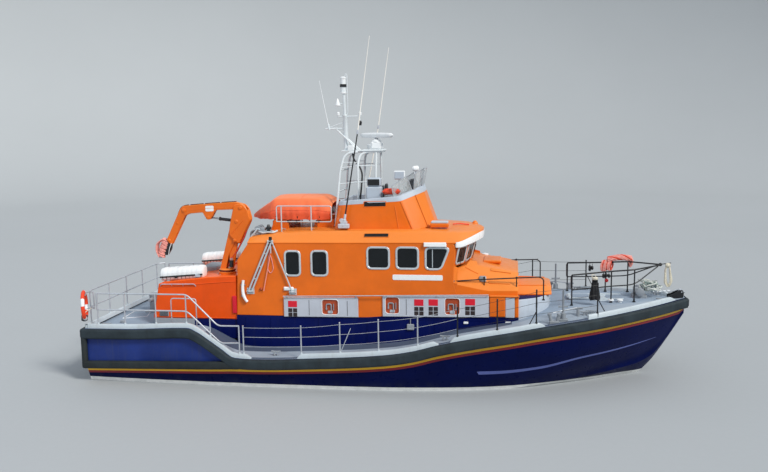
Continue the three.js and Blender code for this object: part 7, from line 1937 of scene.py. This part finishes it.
b.turn((8.36, -0.088, 2.40), (8.36, 0.088, 2.40), [(0, 0.068), (0.15, 0.068), (0.4, 0.045), (0.6, 0.045), (0.85, 0.068), (1, 0.068)], 24, 1)
b.turn((8.36, -0.14, 2.40), (8.36, 0.14, 2.40), [(0, 0.012), (0.02, 0.018), (0.98, 0.018), (1, 0.012)], 14, 1)
b.tube([(8.02, 0, 2.36), (8.30, 0, 2.46), (8.42, 0, 2.43), (8.47, 0, 2.36)], 0.020, 8, bend=0.05, m=1)
done(b.make("bow_fairlead_fine", [BLACK, STEEL], 34), "boat", ["bow_fairlead"])
b = Build()
b.turn((-7.50, 0, 1.48), (-7.50, 0, 2.075), [(0, 0.13), (0.85, 0.128), (0.9, 0.14), (0.97, 0.14), (1, 0.11)], 32, 0)
b.turn((-7.50, -0.315, 1.90), (-7.50, 0.315, 1.90), [(0, 0.05), (0.03, 0.06), (0.97, 0.06), (1, 0.05)], 24, 0)
b.box((-7.718, -0.22, 1.47), (-7.282, 0.22, 1.53), 0.015, 0)
for x in (-7.67, -7.33):
    for y in (-0.17, 0.17):
        b.turn((x, y, 1.525), (x, y, 1.55), [(0, 0.022), (0.8, 0.022), (1, 0.012)], 6, 0)
done(b.make("towing_post_fine", [GREYBOX], 34), "boat", ["towing_post"])

b = Build()
for s in (-1, 1):
    # bitts on a raised base, a tall post on a box, a low T post
    b.box((4.60, min(s * 2.16, s * 2.30), 1.90), (4.86, max(s * 2.16, s * 2.30), 1.99), 0.015, 0)
    for x in (4.65, 4.81):
        b.turn((x, s * 2.23, 1.98), (x - 0.05 * (1 if x < 4.7 else -1), s * 2.23, 2.19), [(0, 0.042), (0.75, 0.042), (0.8, 0.058), (0.95, 0.058), (1, 0.04)], 18, 0)
    b.box((4.84, min(s * 1.98, s * 2.14), 1.93), (5.10, max(s * 1.98, s * 2.14), 2.02), 0.015, 0)
    b.turn((4.97, s * 2.06, 2.0), (4.97, s * 2.06, 2.82), [(0, 0.075), (0.20, 0.07), (0.23, 0.030), (0.96, 0.024), (0.98, 0.034), (1, 0.015)], 16, 0)
    b.tube([(4.84, s * 2.06, 2.34), (5.10, s * 2.06, 2.35)], 0.022, 10, m=0)
    b.tube([(4.70, s * 2.20, 2.20), (4.97, s * 2.06, 2.24), (5.34, s * 1.80, 2.26)], 0.014, 8, bend=0.05, m=1)
    b.turn((5.38, s * 1.78, 1.98), (5.38, s * 1.78, 2.24), [(0, 0.08), (0.1, 0.08), (0.15, 0.045), (1, 0.04)], 16, 0)
    b.tube([(5.26, s * 1.78, 2.24), (5.50, s * 1.78, 2.25)], 0.032, 12, m=0)
    for i in range(6):
        b.tube([(5.58 + 0.05 * i, s * 1.66, 2.02), (5.60 + 0.05 * i, s * 1.60, 2.15), (5.66 + 0.05 * i, s * 1.52, 2.12), (5.66 + 0.05 * i, s * 1.50, 2.03)], 0.013, 6, bend=0.04, m=0)
    for x in (5.58, 7.75, -7.9, -2.85, 1.85):       # cleats
        inn = 0.30 if x < 5 else 0.34 if x < 6 else 0.26
        yy = s * (H["yb"](x) - inn)
        zz = lerp(H["zs"](x), H["zd"](x), 0.35) if x > 5 else max(H["zs"](x), H["zd"](x)) - 0.01
        b.tube([(x - 0.13, yy, zz + 0.095), (x - 0.06, yy, zz + 0.085), (x + 0.06, yy, zz + 0.085), (x + 0.13, yy, zz + 0.095)], 0.021, 10, bend=0.04, m=0)
        for d in (-0.045, 0.045):
            b.turn((x + d, yy, zz - 0.02), (x + d, yy, zz + 0.085), [(0, 0.030), (0.5, 0.020), (1, 0.020)], 12, 0)
    b.box((6.0, min(s * 0.30, s * 0.36), 2.19), (6.75, max(s * 0.30, s * 0.36), 2.235), 0.012, 2)
b.slab([(5.95, -0.55), (6.9, -0.42), (6.9, 0.42), (5.95, 0.55)], "xy", 2.165, 2.205, 0.01, 2)
for x in (6.35, 6.60):
    b.turn((x, -0.72, 2.17), (x, -0.72, 2.30), [(0, 0.075), (0.15, 0.075), (0.2, 0.05), (0.6, 0.05), (0.65, 0.085), (0.9, 0.08), (1, 0.03)], 20, 3)
done(b.make("deck_fittings", [GREYBOX, STEEL, TOE, WHITE], 34), "boat")

# anodes on the skeg
b = Build()
for s in (-1, 1):
    for x in (-5.6, -4.4):
        b.box((x, min(s * 0.066, s * 0.095), -1.42), (x + 0.42, max(s * 0.066, s * 0.095), -1.32), 0.02, 0)
done(b.make("skeg_anodes", [ZINC], 34), "boat")

# ------------------------------------------------------------ floor, lights
fm = surface("studio_floor", rgb("a7acb0"), 0.75, var=0.015, vscale=0.05, bump=0.0, spec=0.2)
prof = [(0.0, 0.0), (20, 0.0), (45, 0.0), (62, 0.0)] + [(62 + 30 * math.sin(a), 30 - 30 * math.cos(a)) for a in np.linspace(0.12, math.pi / 2, 12)] + [(92, 44)]
V, F = [(0, 0, 0)], []
NS = 72
for r, z in prof[1:]:
    for k in range(NS):
        a = 2 * math.pi * k / NS
        V.append((r * math.cos(a), r * math.sin(a), z))
for k in range(NS):
    F.append((0, 1 + k, 1 + (k + 1) % NS))
for i in range(len(prof) - 2):
    for k in range(NS):
        F.append((1 + i * NS + k, 1 + (i + 1) * NS + k, 1 + (i + 1) * NS + (k + 1) % NS, 1 + i * NS + (k + 1) % NS))
me = bpy.data.meshes.new("studio_floor")
me.from_pydata(V, [], F)
me.materials.append(fm)
floor = bpy.data.objects.new("studio_floor", me)
bpy.context.scene.collection.objects.link(floor)
floor.data.polygons.foreach_set("use_smooth", [True] * len(floor.data.polygons))

world = bpy.data.worlds.new("studio")
bpy.context.scene.world = world
world.use_nodes = True
bg = world.node_tree.nodes["Background"]
bg.inputs["Color"].default_value = (0.86, 0.92, 1.0, 1)
bg.inputs["Strength"].default_value = 0.70


def lamp(name, kind, loc, aim, power, color, size=None, angle=None):
    d = bpy.data.lights.new(name, kind)
    d.energy = power
    d.color = color
    if size:
        d.shape = "RECTANGLE"
        d.size, d.size_y = size
    if angle:
        d.angle = math.radians(angle)
    o = bpy.data.objects.new(name, d)
    bpy.context.scene.collection.objects.link(o)
    o.location = loc
    o.rotation_mode = "QUATERNION"
    o.rotation_quaternion = (Vector(aim) - Vector(loc)).to_track_quat("-Z", "Y")
    return o


lamp("key", "SUN", (24, -17, 27), (0, 0, 2), 2.9, (1.0, 0.965, 0.90), angle=14)
lamp("fill", "AREA", (-20, -30, 12), (0, 0, 2), 1500, (0.95, 0.97, 1.0), size=(16, 10))
